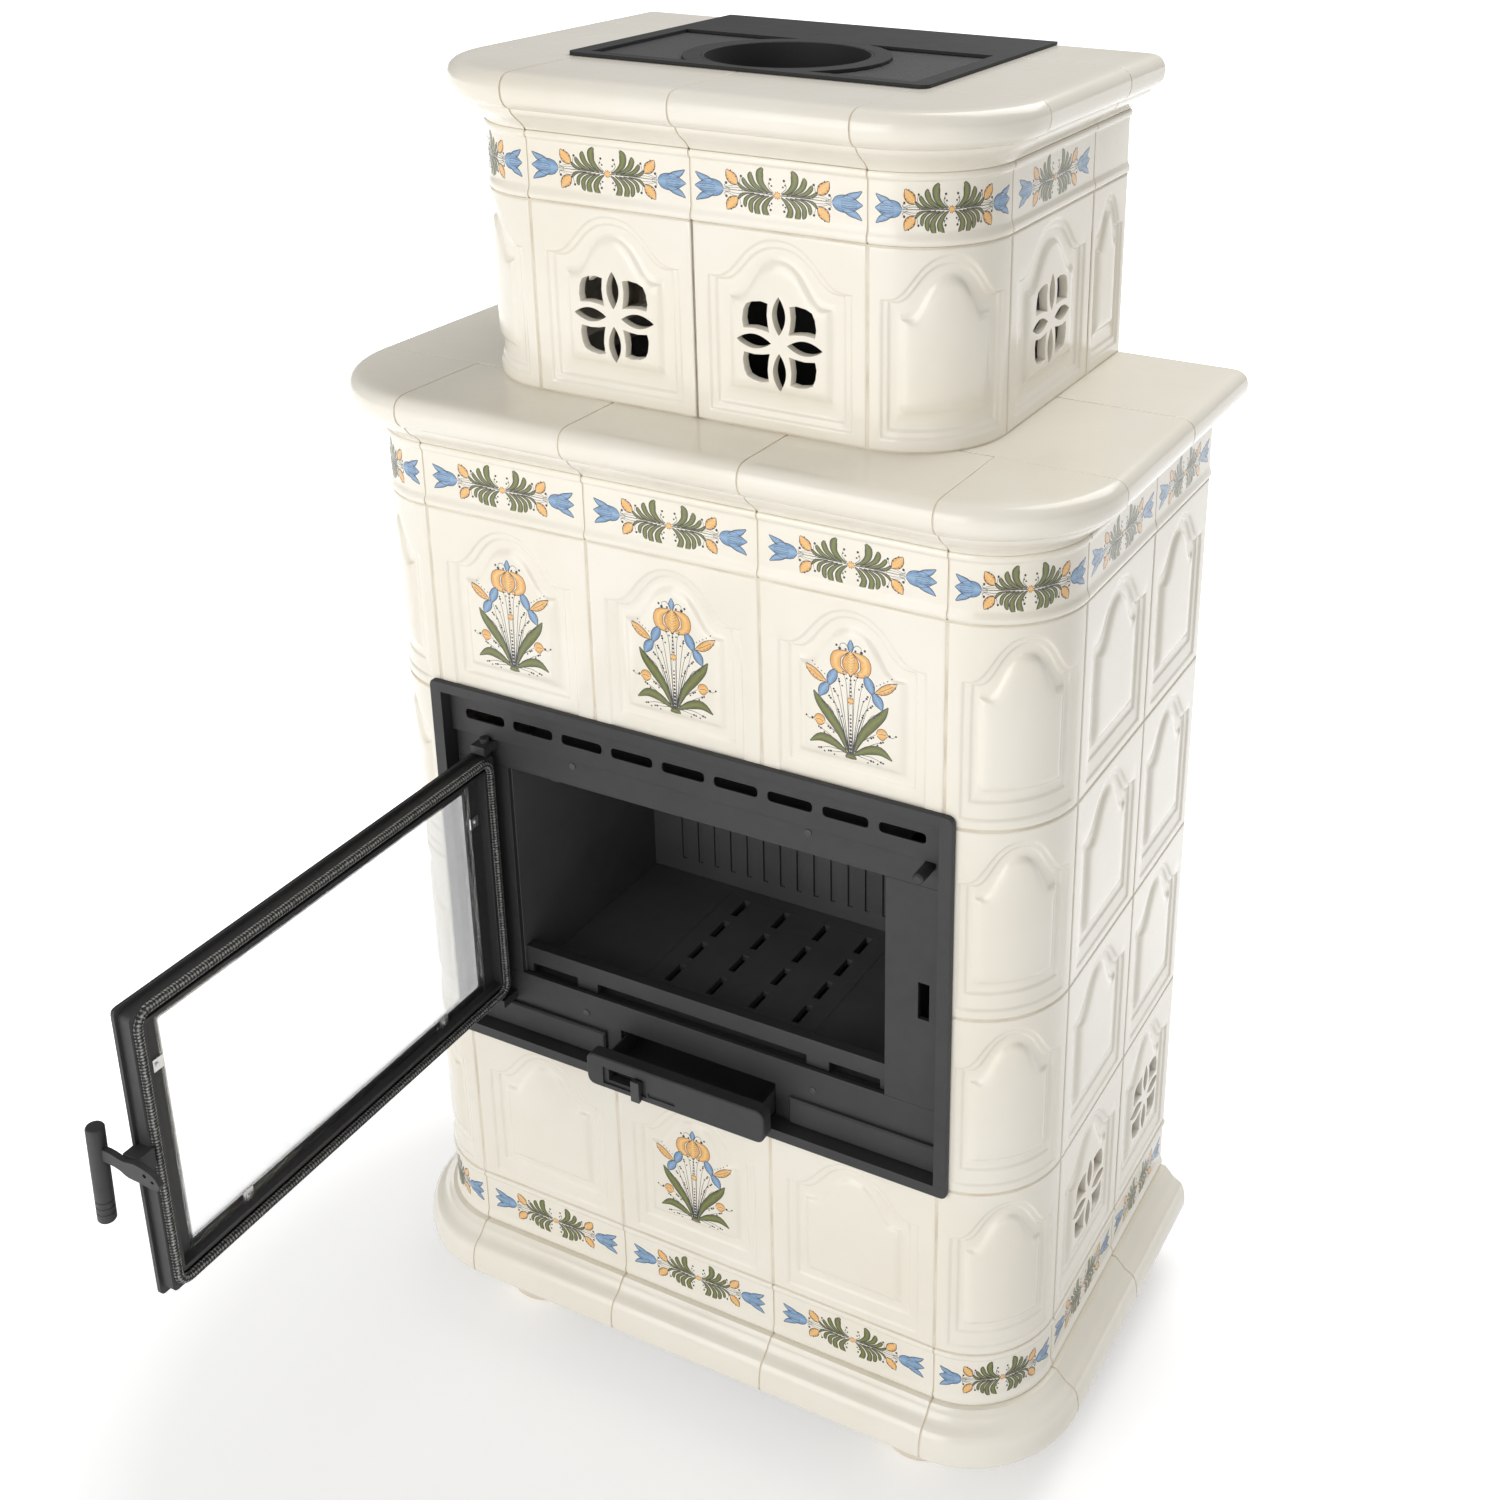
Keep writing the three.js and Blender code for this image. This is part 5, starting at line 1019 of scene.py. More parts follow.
    def grout_rings(self) -> list[Ring]:
        """Lists the rings of the joint round the tile.

        Returns:
            The joint's rings.
        """
        inner = self.gap + JOINT_RIM
        return [
            self.edge_ring(0, JOINT_FACE),
            self.edge_ring(inner, JOINT_FACE),
            self.edge_ring(inner, JOINT_BACK),
            self.edge_ring(0, JOINT_BACK),
        ]


@dataclass(frozen=True)
class Rosette:
    """The pierced rosette: four pointed petals on the axes and four holes between them."""

    u: float
    v: float
    start: float = 9
    end: float = 48
    width: float = 14.5
    taper: float = 0.92

    def petal(self, share: float) -> list[Point]:
        """Draws the petal to the right, drawn in by a share of its width.

        Args:
            share: The part that is kept.

        Returns:
            The hole's points.
        """
        points = []
        steps = 12
        for i in range(steps + 1):
            t = i / steps
            x = lerp(self.start, self.end, t)
            half = self.width / 2 * share * math.sin(math.pi * t) ** 0.85
            points.append((x, half))
        lower = [(x, -half) for x, half in points[1:-1]]
        return points + lower[::-1]

    def quarter(self, share: float) -> list[Point]:
        """Draws the hole between two petals, drawn in towards its middle.

        Args:
            share: The part that is kept.

        Returns:
            The hole's points.
        """
        corners = [(11, 11), (18.5, 12.6), (28, 13.6), (39.5, 12.4), (41, 20), (39.5, 30)]
        outline = corners + [(36.5, 36.5)] + [(y, x) for x, y in reversed(corners[1:])]
        middle = (26.5, 26.5)
        return [
            (lerp(middle[0], x, share), lerp(middle[1], y, share)) for x, y in outline
        ]

    def cutter(
        self, outline: Callable[[float], list[Point]], turn: float, deep: float
    ) -> bpy.types.Object:
        """Builds one tapering cutter, turned round the rosette's middle.

        Args:
            outline: Draws the hole at a share of its size.
            turn: The turn in radians.
            deep: The tile's thickness.

        Returns:
            The cutter.
        """
        rings = []
        for w, share in ((4.0, 1.09), (0.4, 1.045), (-0.6, 1.0), (-deep - 3, self.taper)):
            ring = []
            for x, y in outline(share):
                across = x * math.cos(turn) - y * math.sin(turn)
                up = x * math.sin(turn) + y * math.cos(turn)
                ring.append(Vector((self.u + across, self.v + up, w)))
            rings.append(ring)
        return Bench.tidy(Bench.skin("cutter", rings), 40)

    def cut(self, tile: bpy.types.Object, deep: float) -> None:
        """Cuts the rosette through a flat tile.

        Args:
            tile: The tile, lying flat in millimetres.
            deep: The tile's thickness.
        """
        cutters = []
        for quarter in range(4):
            turn = quarter * math.pi / 2
            cutters.append(self.cutter(self.petal, turn, deep))
            cutters.append(self.cutter(self.quarter, turn, deep))
        whole = Bench.join("rosette_cutter", cutters)
        Bench.pick(tile)
        modifier = tile.modifiers.new("rosette", "BOOLEAN")
        modifier.operation = "DIFFERENCE"
        modifier.solver = "EXACT"
        modifier.object = whole
        bpy.ops.object.modifier_apply(modifier=modifier.name)
        bpy.data.objects.remove(whole)
        Bench.tidy(tile, 40)


LOWER_ARCHES = (
    Arch(0.105, 0.055, 0.724, 0.938),
    Arch(0.160, 0.140, 0.712, 0.905),
    Arch(0.220, 0.200, 0.646, 0.845),
)
UPPER_ARCHES = (
    Arch(0.090, 0.070, 0.745, 0.958),
    Arch(0.130, 0.108, 0.735, 0.920),
    Arch(0.214, 0.203, 0.650, 0.850),
)
HALF_ARCHES = (
    Arch(0.120, 0.070, 0.745, 0.930),
    Arch(0.165, 0.108, 0.735, 0.900),
    Arch(0.235, 0.203, 0.650, 0.830),
)


@dataclass
class Tiling:
    """Lays relief tiles over the stove and fills their joints."""

    palette: Palette
    kinds: dict[Relief, bpy.types.Object] = field(default_factory=dict)
    grout: dict[str, list[bpy.types.Object]] = field(default_factory=dict)
    count: int = 0

    def kind(self, relief: Relief) -> bpy.types.Object:
        """Gives the flat tile of a kind, built once.

        Args:
            relief: The kind's measures.

        Returns:
            The flat tile.
        """
        if relief not in self.kinds:
            self.kinds[relief] = relief.flat()
        return self.kinds[relief]

    def lay(self, relief: Relief, place: Place, node: str, mirrored: bool = False) -> None:
        """Lays one tile with its joint.

        Args:
            relief: The tile's kind.
            place: The way to its place on the stove.
            node: The CAD node that it stands for.
            mirrored: Whether the place turns the tile inside out.
        """
        self.count += 1
        mesh = self.kind(relief).data.copy()
        tile = bpy.data.objects.new(f"tile_{node}_{self.count}", mesh)
        bpy.context.scene.collection.objects.link(tile)
        for vertex in mesh.vertices:
            vertex.co = place(*vertex.co)
        if mirrored:
            mesh.flip_normals()
        dress(tile, Body.STOVE, "glaze", self.palette.glaze)
        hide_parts(node)
        rings = [[place(*point) for point in ring] for ring in relief.grout_rings()]
        joint = Bench.skin("joint", rings, looped=True)
        self.grout.setdefault(node, []).append(joint)

    def close(self) -> None:
        """Joins the joints of each node into one piece and drops the flat patterns."""
        for node, joints in self.grout.items():
            joint = Bench.tidy(Bench.join(f"grout_{node}", joints), 30)
            dress(joint, Body.STOVE, "glaze", self.palette.grout)
            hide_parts(node)
        for tile in self.kinds.values():
            bpy.data.objects.remove(tile)


@dataclass
class TiledWalls:
    """All relief tiles of both tiers."""

    tiling: Tiling
    tile_width: float = 206.0
    tile_height: float = 222.8
    side_widths: tuple[float, float] = (192.3, 181.1)
    upper_width: float = 192.3
    upper_height: float = 202.8
    upper_side_width: float = 211.3
    slab_top: float = 1022.1

    def build(self) -> None:
        """Lays the front, the sides and the corners."""
        self.lower_front()
        for sign in (-1, 1):
            self.lower_side(sign)
            self.upper_side(sign)
        for column in (-1, 0):
            relief = Relief(
                self.upper_width, self.upper_height, *UPPER_ARCHES, True, PIERCED_THICKNESS
            )
            place = on_front(UPPER, column * self.upper_width, self.slab_top)
            self.tiling.lay(relief, place, "upper_rosette_front")

    def lower_front(self) -> None:
        """Lays the top and the bottom row of the front."""
        relief = Relief(self.tile_width, self.tile_height, *LOWER_ARCHES)
        for column in range(3):
            x = (column - 1.5) * self.tile_width
            self.tiling.lay(relief, on_front(LOWER, x, 0), "row4_front_tiles")
            top = on_front(LOWER, x, 3 * self.tile_height)
            self.tiling.lay(relief, top, "row1_front_tiles")

    def lower_side(self, sign: int) -> None:
        """Lays a side wall with its pierced bottom row, and its rounded corner.

        Args:
            sign: 1 for the right side, -1 for the left.
        """
        name = "right" if sign > 0 else "left"
        flip = sign < 0
        y = LOWER.start
        for width in self.side_widths:
            for row in range(4):
                pierced = row == 0
                node = f"side_rosette_{name}" if pierced else f"side_wall_{name}"
                deep = PIERCED_THICKNESS if pierced else WALL_THICKNESS
                relief = Relief(
                    width, self.tile_height, *LOWER_ARCHES, pierced=pierced, thickness=deep
                )
                place = on_side(LOWER, sign, y, row * self.tile_height)
                self.tiling.lay(relief, place, node, flip)
            y += width
        arc = LOWER.radius * math.pi / 2
        relief = Relief(arc, self.tile_height, *LOWER_ARCHES)
        for row in range(4):
            place = on_corner(LOWER, sign, row * self.tile_height)
            self.tiling.lay(relief, place, f"corner_{name}", flip)

    def upper_side(self, sign: int) -> None:
        """Lays the upper tier's side and its rounded corner.

        Args:
            sign: 1 for the right side, -1 for the left.
        """
        name = "right" if sign > 0 else "left"
        flip = sign < 0
        node = f"upper_side_{name}"
        relief = Relief(
            self.upper_side_width, self.upper_height, *UPPER_ARCHES, True, PIERCED_THICKNESS
        )
        self.tiling.lay(relief, on_side(UPPER, sign, UPPER.start, self.slab_top), node, flip)
        y = UPPER.start + self.upper_side_width
        relief = Relief(UPPER.rear - y, self.upper_height, *HALF_ARCHES)
        self.tiling.lay(relief, on_side(UPPER, sign, y, self.slab_top), node, flip)
        arc = UPPER.radius * math.pi / 2
        relief = Relief(arc, self.upper_height, *UPPER_ARCHES)
        place = on_corner(UPPER, sign, self.slab_top)
        self.tiling.lay(relief, place, f"upper_corner_{name}", flip)


# ------------------------------------------------------------------ mouldings


def frieze_section(band: Band) -> list[Point]:
    """Draws the frieze's section: [out, up] with a roll at the foot and at the head.

    Args:
        band: The frieze's band.

    Returns:
        The section, out and up.
    """
    height = band.height
    high = height - HALF_GAP
    face = [
        (-1.2, 0.15), (-0.1, 0.5), (0.8, 1.6), (1.4, 3.4), (1.55, 5.2), (1.25, 7.2), (0.5, 9.2),
        (-0.4, 11.2), (-1.0, 13.4), (-1.2, 16.0), (-1.2, height / 2), (-1.2, height - 11.5),
        (-1.12, height - 9.4), (-0.6, height - 8.2), (0.5, height - 7.3), (1.2, height - 6.0),
        (1.5, height - 4.2), (1.3, height - 2.2), (0.7, height - 0.9), (-0.2, height - 0.3),
        (-1.2, high),
    ]
    outline = [(-14.0, 0.15), *face, (-14.0, high)]
    return [(w, band.low + v) for w, v in outline]


def cornice_face(low: float) -> list[Point]:
    """Draws the cornice's face: an ogee, a small step and the bullnose of the slab.

    Args:
        low: The height of its foot.

    Returns:
        The face, out and up.
    """
    reach, high = 35.5, 59.85
    shape = [
        (0, 0.15), (2.2, 3.6), (7.2, 8.4), (13.5, 13.2), (19.0, 18.2), (21.6, 22.2), (22.6, 24.2),
        (25.5, 25.4), (29.8, 28.2), (33.4, 33.2), (35.1, 39.0), (reach - 0.05, 43.5), (34.9, 48.6),
        (32.6, 53.4), (28.6, 57.2), (23.0, 59.2), (15.0, high - 0.05), (8.0, high),
    ]
    smooth = smooth_path(shape, 3)
    return [(min(w, reach - 0.05), low + min(v, high)) for w, v in smooth]


def plinth_section(low: float) -> list[Point]:
    """Draws the plinth's section: a bold roll that runs in to the frieze above.

    Args:
        low: The height of its foot.

    Returns:
        The section, out and up.
    """
    reach, high = 35.5, 58.85
    shape = [
        (30.5, 0.15), (33.4, 2.0), (35.0, 6.0), (reach - 0.05, 12.0), (35.2, 20.0), (34.0, 28.0),
        (32.0, 34.5), (28.6, 39.6), (24.6, 42.4), (19.6, 45.2), (15.6, 48.8), (12.6, 52.6),
        (9.4, 55.6), (6.4, high),
    ]
    smooth = smooth_path(shape, 3)
    face = [(min(w, reach - 0.05), min(v, high)) for w, v in smooth]
    return [(w, low + v) for w, v in [(-14, 0.15), *face, (-14, high)]]


@dataclass
class Moulding:
    """A moulding round the front and both sides, cut into tiles by its joints."""

    name: str
    plan: Plan
    front_joints: list[float]
    side_joints: list[float]
    section: list[Point] = field(default_factory=list)
    gap: float = 0.8
    steps: int = 14

    def inset(self, amount: float) -> list[Point]:
        """Draws the section in by some millimetres, for the jointing behind the tiles.

        Args:
            amount: The distance in millimetres.

        Returns:
            The section drawn in.
        """
        count = len(self.section)
        drawn = []
        for i, (w, v) in enumerate(self.section):
            w0, v0 = self.section[i - 1]
            w1, v1 = self.section[(i + 1) % count]
            run = Vector((w1 - w0, v1 - v0))
            if run.length == 0:
                drawn.append((w, v))
                continue
            run.normalize()
            drawn.append((w - run.y * amount, v + run.x * amount))
        return drawn

    def front_bar(self, section: list[Point], x0: float, x1: float) -> bpy.types.Object:
        """Draws a bar along the front from x0 to x1.

        Args:
            section: The bar's section.
            x0: Its left end.
            x1: Its right end.

        Returns:
            The bar.
        """
        outline = [at(x0, self.plan.front - w, v) for w, v in section]
        bar = Bench.face("bar", outline)
        Bench.extrude(bar, Vector(((x1 - x0) * MM, 0, 0)))
        return bar

    def side_bar(
        self, section: list[Point], sign: int, y0: float, y1: float
    ) -> bpy.types.Object:
        """Draws a bar along a side from y0 to y1.

        Args:
            section: The bar's section.
            sign: 1 for the right side, -1 for the left.
            y0: Its front end.
            y1: Its rear end.

        Returns:
            The bar.
        """
        outline = [at(sign * (self.plan.side + w), y0, v) for w, v in section]
        bar = Bench.face("bar", outline)
        Bench.extrude(bar, Vector((0, (y1 - y0) * MM, 0)))
        return bar

    def corner_bar(self, section: list[Point], sign: int, gap: float) -> bpy.types.Object:
        """Sweeps the section round a corner.

        Args:
            section: The bar's section.
            sign: 1 for the right side, -1 for the left.
            gap: The length left open at each end.

        Returns:
            The bar.
        """
        trim = gap / self.plan.radius
        outline = []
        for w, v in section:
            reach = self.plan.radius + w
            x = sign * (self.plan.half + reach * math.sin(trim))
            outline.append(at(x, self.plan.start - reach * math.cos(trim), v))
        bar = Bench.face("bar", outline)
        centre = at(sign * self.plan.half, self.plan.start, 0)
        sweep = -sign * (math.pi / 2 - 2 * trim)
        Bench.spin(bar, centre, Vector((0, 0, 1)), sweep, self.steps)
        return bar

    def build(self, palette: Palette) -> None:
        """Builds the tiles and the jointing.

        Args:
            palette: The stove's materials.
        """
        gap, plan = self.gap, self.plan
        tiles = []
        for x0, x1 in zip(self.front_joints, self.front_joints[1:]):
            tiles.append(self.front_bar(self.section, x0 + gap, x1 - gap))
        for sign in (-1, 1):
            tiles.append(self.corner_bar(self.section, sign, gap))
            for y0, y1 in zip(self.side_joints, self.side_joints[1:]):
                end = y1 - gap if y1 < plan.rear - 1 else y1
                tiles.append(self.side_bar(self.section, sign, y0 + gap, end))
        for tile in tiles:
            Bench.bevel(tile, 0.0009, 2, 60)
            Bench.tidy(tile, 32)
            Bench.even(tile)
        whole = Bench.join(f"tiles_{self.name}", tiles)
        dress(whole, Body.STOVE, "glaze", palette.glaze)
        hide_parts(self.name)
        inner = self.inset(1.3)
        core = [self.front_bar(inner, -plan.half, plan.half)]
        for sign in (-1, 1):
            core.append(self.corner_bar(inner, sign, 0))
            core.append(self.side_bar(inner, sign, plan.start, plan.rear - 1.5))
        for bar in core:
            Bench.tidy(bar, 30)
        jointing = Bench.join(f"grout_{self.name}", core)
        dress(jointing, Body.STOVE, "glaze", palette.grout)
        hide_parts(self.name)


@dataclass
class Cornice(Moulding):
    """A cornice whose slabs run in over the wall, in a front, a left and a right node."""

    prefix: str = ""
    low: float = 0
    inner_x: float = 0
    inner_y: float = 0
    slab: float = 26.0

    def slab_section(self, depth: float) -> list[Point]:
        """Closes the cornice's face with a slab of the given depth.

        Args:
            depth: The depth behind the tiles' face.

        Returns:
            The section, out and up.
        """
        under = self.low + 59.85 - self.slab
        face = cornice_face(self.low)
        high = self.low + 59.85
        back = [(-14.0, self.low + 0.15)]
        return [(-depth, under), (-14.0, under), *back, *face, (-depth, high)]

    def build(self, palette: Palette) -> None:
        """Builds the slabs of each node.

        Args:
            palette: The stove's materials.
        """
        gap, plan = self.gap, self.plan
        front_section = self.slab_section(self.inner_y - plan.front)
        side_section = self.slab_section(plan.side - self.inner_x)
        corner_section = self.slab_section(plan.radius - 0.02)
        bars = []
        for x0, x1 in zip(self.front_joints, self.front_joints[1:]):
            bars.append(self.front_bar(front_section, x0 + gap, x1 - gap))
        groups = {f"{self.prefix}_front": bars}
        for sign, side in ((-1, "left"), (1, "right")):
            slabs = [self.corner_bar(corner_section, sign, gap)]
            for y0, y1 in zip(self.side_joints, self.side_joints[1:]):
                end = y1 - gap if y1 < plan.rear - 1 else y1
                slabs.append(self.side_bar(side_section, sign, y0 + gap, end))
            groups[f"{self.prefix}_{side}"] = slabs
        for node, slabs in groups.items():
            for slab in slabs:
                Bench.bevel(slab, 0.0009, 2, 60)
                Bench.tidy(slab, 32)
                Bench.even(slab)
            whole = Bench.join(f"tiles_{node}", slabs)
            dress(whole, Body.STOVE, "glaze", palette.glaze)
            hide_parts(node)
        self.jointing(palette)

    def jointing(self, palette: Palette) -> None:
        """Fills the joints a little below the slabs' faces.

        Args:
            palette: The stove's materials.
        """
        plan = self.plan
        cores = []
        for depth, draw in (
            (self.inner_y - plan.front, lambda s: self.front_bar(s, -plan.half, plan.half)),
            (plan.radius - 4, lambda s: self.corner_bar(s, 1, 0)),
            (plan.radius - 4, lambda s: self.corner_bar(s, -1, 0)),
            (plan.side - self.inner_x, lambda s: self.side_bar(s, 1, plan.start, plan.rear - 2)),
            (plan.side - self.inner_x, lambda s: self.side_bar(s, -1, plan.start, plan.rear - 2)),
        ):
            self.section = self.slab_section(depth)
            cores.append(Bench.tidy(draw(self.inset(1.3)), 30))
        jointing = Bench.join(f"grout_{self.prefix}", cores)
        dress(jointing, Body.STOVE, "glaze", palette.grout)
        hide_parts(f"{self.prefix}_front")


# ------------------------------------------------------------------ painted ornament


@dataclass
class Stroke:
    """One touch of the brush: a path with a width along it."""

    path: list[Point]
    widths: list[float]
    pigment: Pigment
    lift: float = 0.0


@dataclass
class Ornament:
    """A painted motif, drawn flat in millimetres round its own middle."""

    strokes: list[Stroke] = field(default_factory=list)

    def leaf(
        self,
        points: Sequence[Point],
        widths: Sequence[float],
        pigment: Pigment,
        lined: float = 0.6,
        lift: float = 0.0,
    ) -> None:
        """Paints a broad stroke with a dark line along its edges.

        Args:
            points: The points that the stroke passes.
            widths: Its width at those points.
            pigment: Its pigment.
            lined: The width of the dark line, or 0.
            lift: How far over the other strokes it lies.
        """
        path = smooth_path(points, 4)
        spread = [w for w, _ in smooth_path([(w, 0.0) for w in widths], 4)]
        spread = [max(width, 0.12) for width in spread]
        self.strokes.append(Stroke(path, spread, pigment, lift))
        if lined:
            for side in (-0.5, 0.5):
                edge = [
                    offset(path, i, side * spread[i]) for i in range(len(path))
                ]
                self.strokes.append(Stroke(edge, [lined] * len(edge), Pigment.LINE, lift + 0.05))

    def line(
        self, points: Sequence[Point], width: float, pigment: Pigment = Pigment.LINE
    ) -> None:
        """Paints a fine line that thins out towards its end.

        Args:
            points: The line's points.
            width: The line's width.
            pigment: Its pigment.
        """
        path = smooth_path(points, 4)
        widths = [lerp(width, width * 0.55, i / (len(path) - 1)) for i in range(len(path))]
        self.strokes.append(Stroke(path, widths, pigment, 0.02))

    def vein(self, points: Sequence[Point], width: float) -> None:
        """Paints a fine even line over a broad stroke."""
        path = smooth_path(points, 4)
        self.strokes.append(Stroke(path, [width] * len(path), Pigment.LINE, 0.14))

    def dot(self, u: float, v: float, radius: float, pigment: Pigment = Pigment.LINE) -> None:
        """Paints a round dot.

        Args:
            u: Across the tile.
            v: Up the tile.
            radius: Its radius.
            pigment: Its pigment.
        """
        path = [(u + radius * math.cos(math.pi * (1 - t / 6)), v) for t in range(7)]
        widths = [max(2 * radius * math.sin(math.pi * t / 6), 0.1) for t in range(7)]
        self.strokes.append(Stroke(path, widths, pigment, 0.04))

    def mirrored(self) -> "Ornament":
        """Gives the motif together with its mirror image.

        Returns:
            The whole motif.
        """
        twins = [
            Stroke([(-u, v) for u, v in s.path], list(s.widths), s.pigment, s.lift)
            for s in self.strokes
        ]
        return Ornament(self.strokes + twins)

    def paint(
        self, name: str, place: Place, height: Callable[[float, float], float]
    ) -> bpy.types.Object:
        """Lays the motif on the stove as thin closed films of glaze.

        Args:
            name: The piece's name.
            place: The way from the motif's (across, up, out) to the stove.
            height: The surface's height at a point of the motif.

        Returns:
            The painted piece with its own map along the strokes.
        """
        points: list[Vector] = []
        faces: list[tuple[int, ...]] = []
        slots: list[int] = []
        maps: list[Point] = []
        order = list(Pigment)
        for stroke in self.strokes:
            base = len(points)
            count = len(stroke.path)
            wide = max(stroke.widths) > 2
            shares = (-0.5, -0.25, 0, 0.25, 0.5) if wide else (-0.5, 0, 0.5)
            film = 0.11 + stroke.lift
            run = random.random() * 9
            for i in range(count):
                for share in shares:
                    u, v = offset(stroke.path, i, share * stroke.widths[i])
                    rise = film if abs(share) < 0.5 else film * 0.3
                    points.append(place(u, v, height(u, v) + rise))
                    maps.append((share + 0.5, run + i * 0.25))
                for share in (0.5, -0.5):
                    u, v = offset(stroke.path, i, share * stroke.widths[i])
                    points.append(place(u, v, height(u, v) - 0.35))
                    maps.append((share + 0.5, run + i * 0.25))
            size = len(shares) + 2
            for i in range(count - 1):
                for k in range(size):
                    a, b = base + i * size + k, base + i * size + (k + 1) % size
                    faces.append((a, b, b + size, a + size))
                    slots.append(order.index(stroke.pigment))
            faces.append(tuple(base + k for k in reversed(range(size))))
            faces.append(tuple(base + (count - 1) * size + k for k in range(size)))
            slots += [order.index(stroke.pigment)] * 2
        mesh = bpy.data.meshes.new(name)
        mesh.from_pydata([tuple(point) for point in points], [], faces)
        layer = mesh.uv_layers.new(name="stroke")
        for loop in mesh.loops:
            layer.data[loop.index].uv = maps[loop.vertex_index]
        for polygon, slot in zip(mesh.polygons, slots):
            polygon.material_index = slot
        piece = bpy.data.objects.new(name, mesh)
        bpy.context.scene.collection.objects.link(piece)
        Bench.pick(piece)
        bpy.ops.object.mode_set(mode="EDIT")
        bpy.ops.mesh.select_all(action="SELECT")
        bpy.ops.mesh.normals_make_consistent(inside=False)
        bpy.ops.object.mode_set(mode="OBJECT")
        bpy.ops.object.shade_smooth_by_angle(angle=math.radians(60))
        return piece


def offset(path: Sequence[Point], index: int, amount: float) -> Point:
    """Gives the point beside a path, to its left for a positive amount.

    Args:
        path: The path's points.
        index: The point's place on the path.
        amount: The distance in millimetres.

    Returns:
        The point beside the path.
    """
    before = path[max(index - 1, 0)]
    after = path[min(index + 1, len(path) - 1)]
    du, dv = after[0] - before[0], after[1] - before[1]
    length = math.hypot(du, dv) or 1.0
    u, v = path[index]
    return u - dv / length * amount, v + du / length * amount


def curl(motif: Ornament, start: Point, bend: Point, end: Point, berries: int = 2) -> None:
    """Paints a curled tendril that ends in dark berries.

    Args:
        motif: The ornament it is added to.
        start: Its root.
        bend: Its bend.
        end: Its tip.
        berries: The number of berries.
    """
    motif.line([start, bend, end], 0.72, Pigment.LINE)
    du, dv = end[0] - bend[0], end[1] - bend[1]
    length = math.hypot(du, dv) or 1.0
    for berry in range(berries):
        step = 0.6 + 2.6 * berry
        motif.dot(end[0] + du / length * step, end[1] + dv / length * step, 1.25 - 0.15 * berry)


def spray(
    motif: Ornament, leaves: Sequence[Sequence[tuple[float, float, float]]], pigment: Pigment
) -> None:
    """Paints a row of lined leaves, each given as (across, up, width) from tail to head."""
    for leaf in leaves:
        motif.leaf([(u, v) for u, v, _ in leaf], [w for _, _, w in leaf], pigment, 0.75)


GARLAND_LEAVES = (
    ((22, 0.8, 0.4), (30, 1.4, 1.2), (37, 3.0, 2.5), (41.4, 5.8, 2.6), (42.4, 7.6, 0.6)),
    ((15, 1.0, 0.4), (24, 2.4, 1.8), (32, 5.6, 3.8), (36.6, 10.6, 4.0), (37, 13.4, 0.9)),
    ((10, 1.2, 0.5), (18, 3.6, 2.4), (26, 8.6, 5.0), (29.4, 15.6, 5.4), (28.4, 19.4, 1.2)),
    ((5, 1.4, 0.6), (11.4, 4.0, 3.2), (18, 10.8, 6.4), (18.8, 19.6, 7.4), (15.6, 24.6, 1.6)),
    ((25, -0.6, 0.3), (33, -1.4, 1.1), (38.5, -3.2, 2.4), (41.4, -5.8, 2.2), (42, -7.4, 0.6)),
    ((19, -0.8, 0.4), (28, -2.6, 1.6), (34, -6.6, 3.5), (35.4, -12, 3.4), (34.4, -14.6, 0.9)),
    ((14, -1.2, 0.4), (22, -3.8, 2.2), (28.6, -9.2, 4.3), (29, -16.2, 4.4), (27.2, -19.4, 1.0)),
    ((9, -1.4, 0.5), (16.4, -4.8, 3), (22.4, -11.8, 5.2), (21.6, -19.4, 5.4), (18.6, -23.4, 1.2)),
    ((4, -1.6, 0.6), (9.6, -5.6, 3.4), (14.2, -13.0, 5.6), (11.8, -20.6, 5.6), (7.6, -24.6, 1.2)),
)


BUD_DOTS = ((45.2, 13.4), (47.8, 16.4), (50.8, 18.8), (51.4, 7.6), (54.2, 10.2), (56, 13.4))


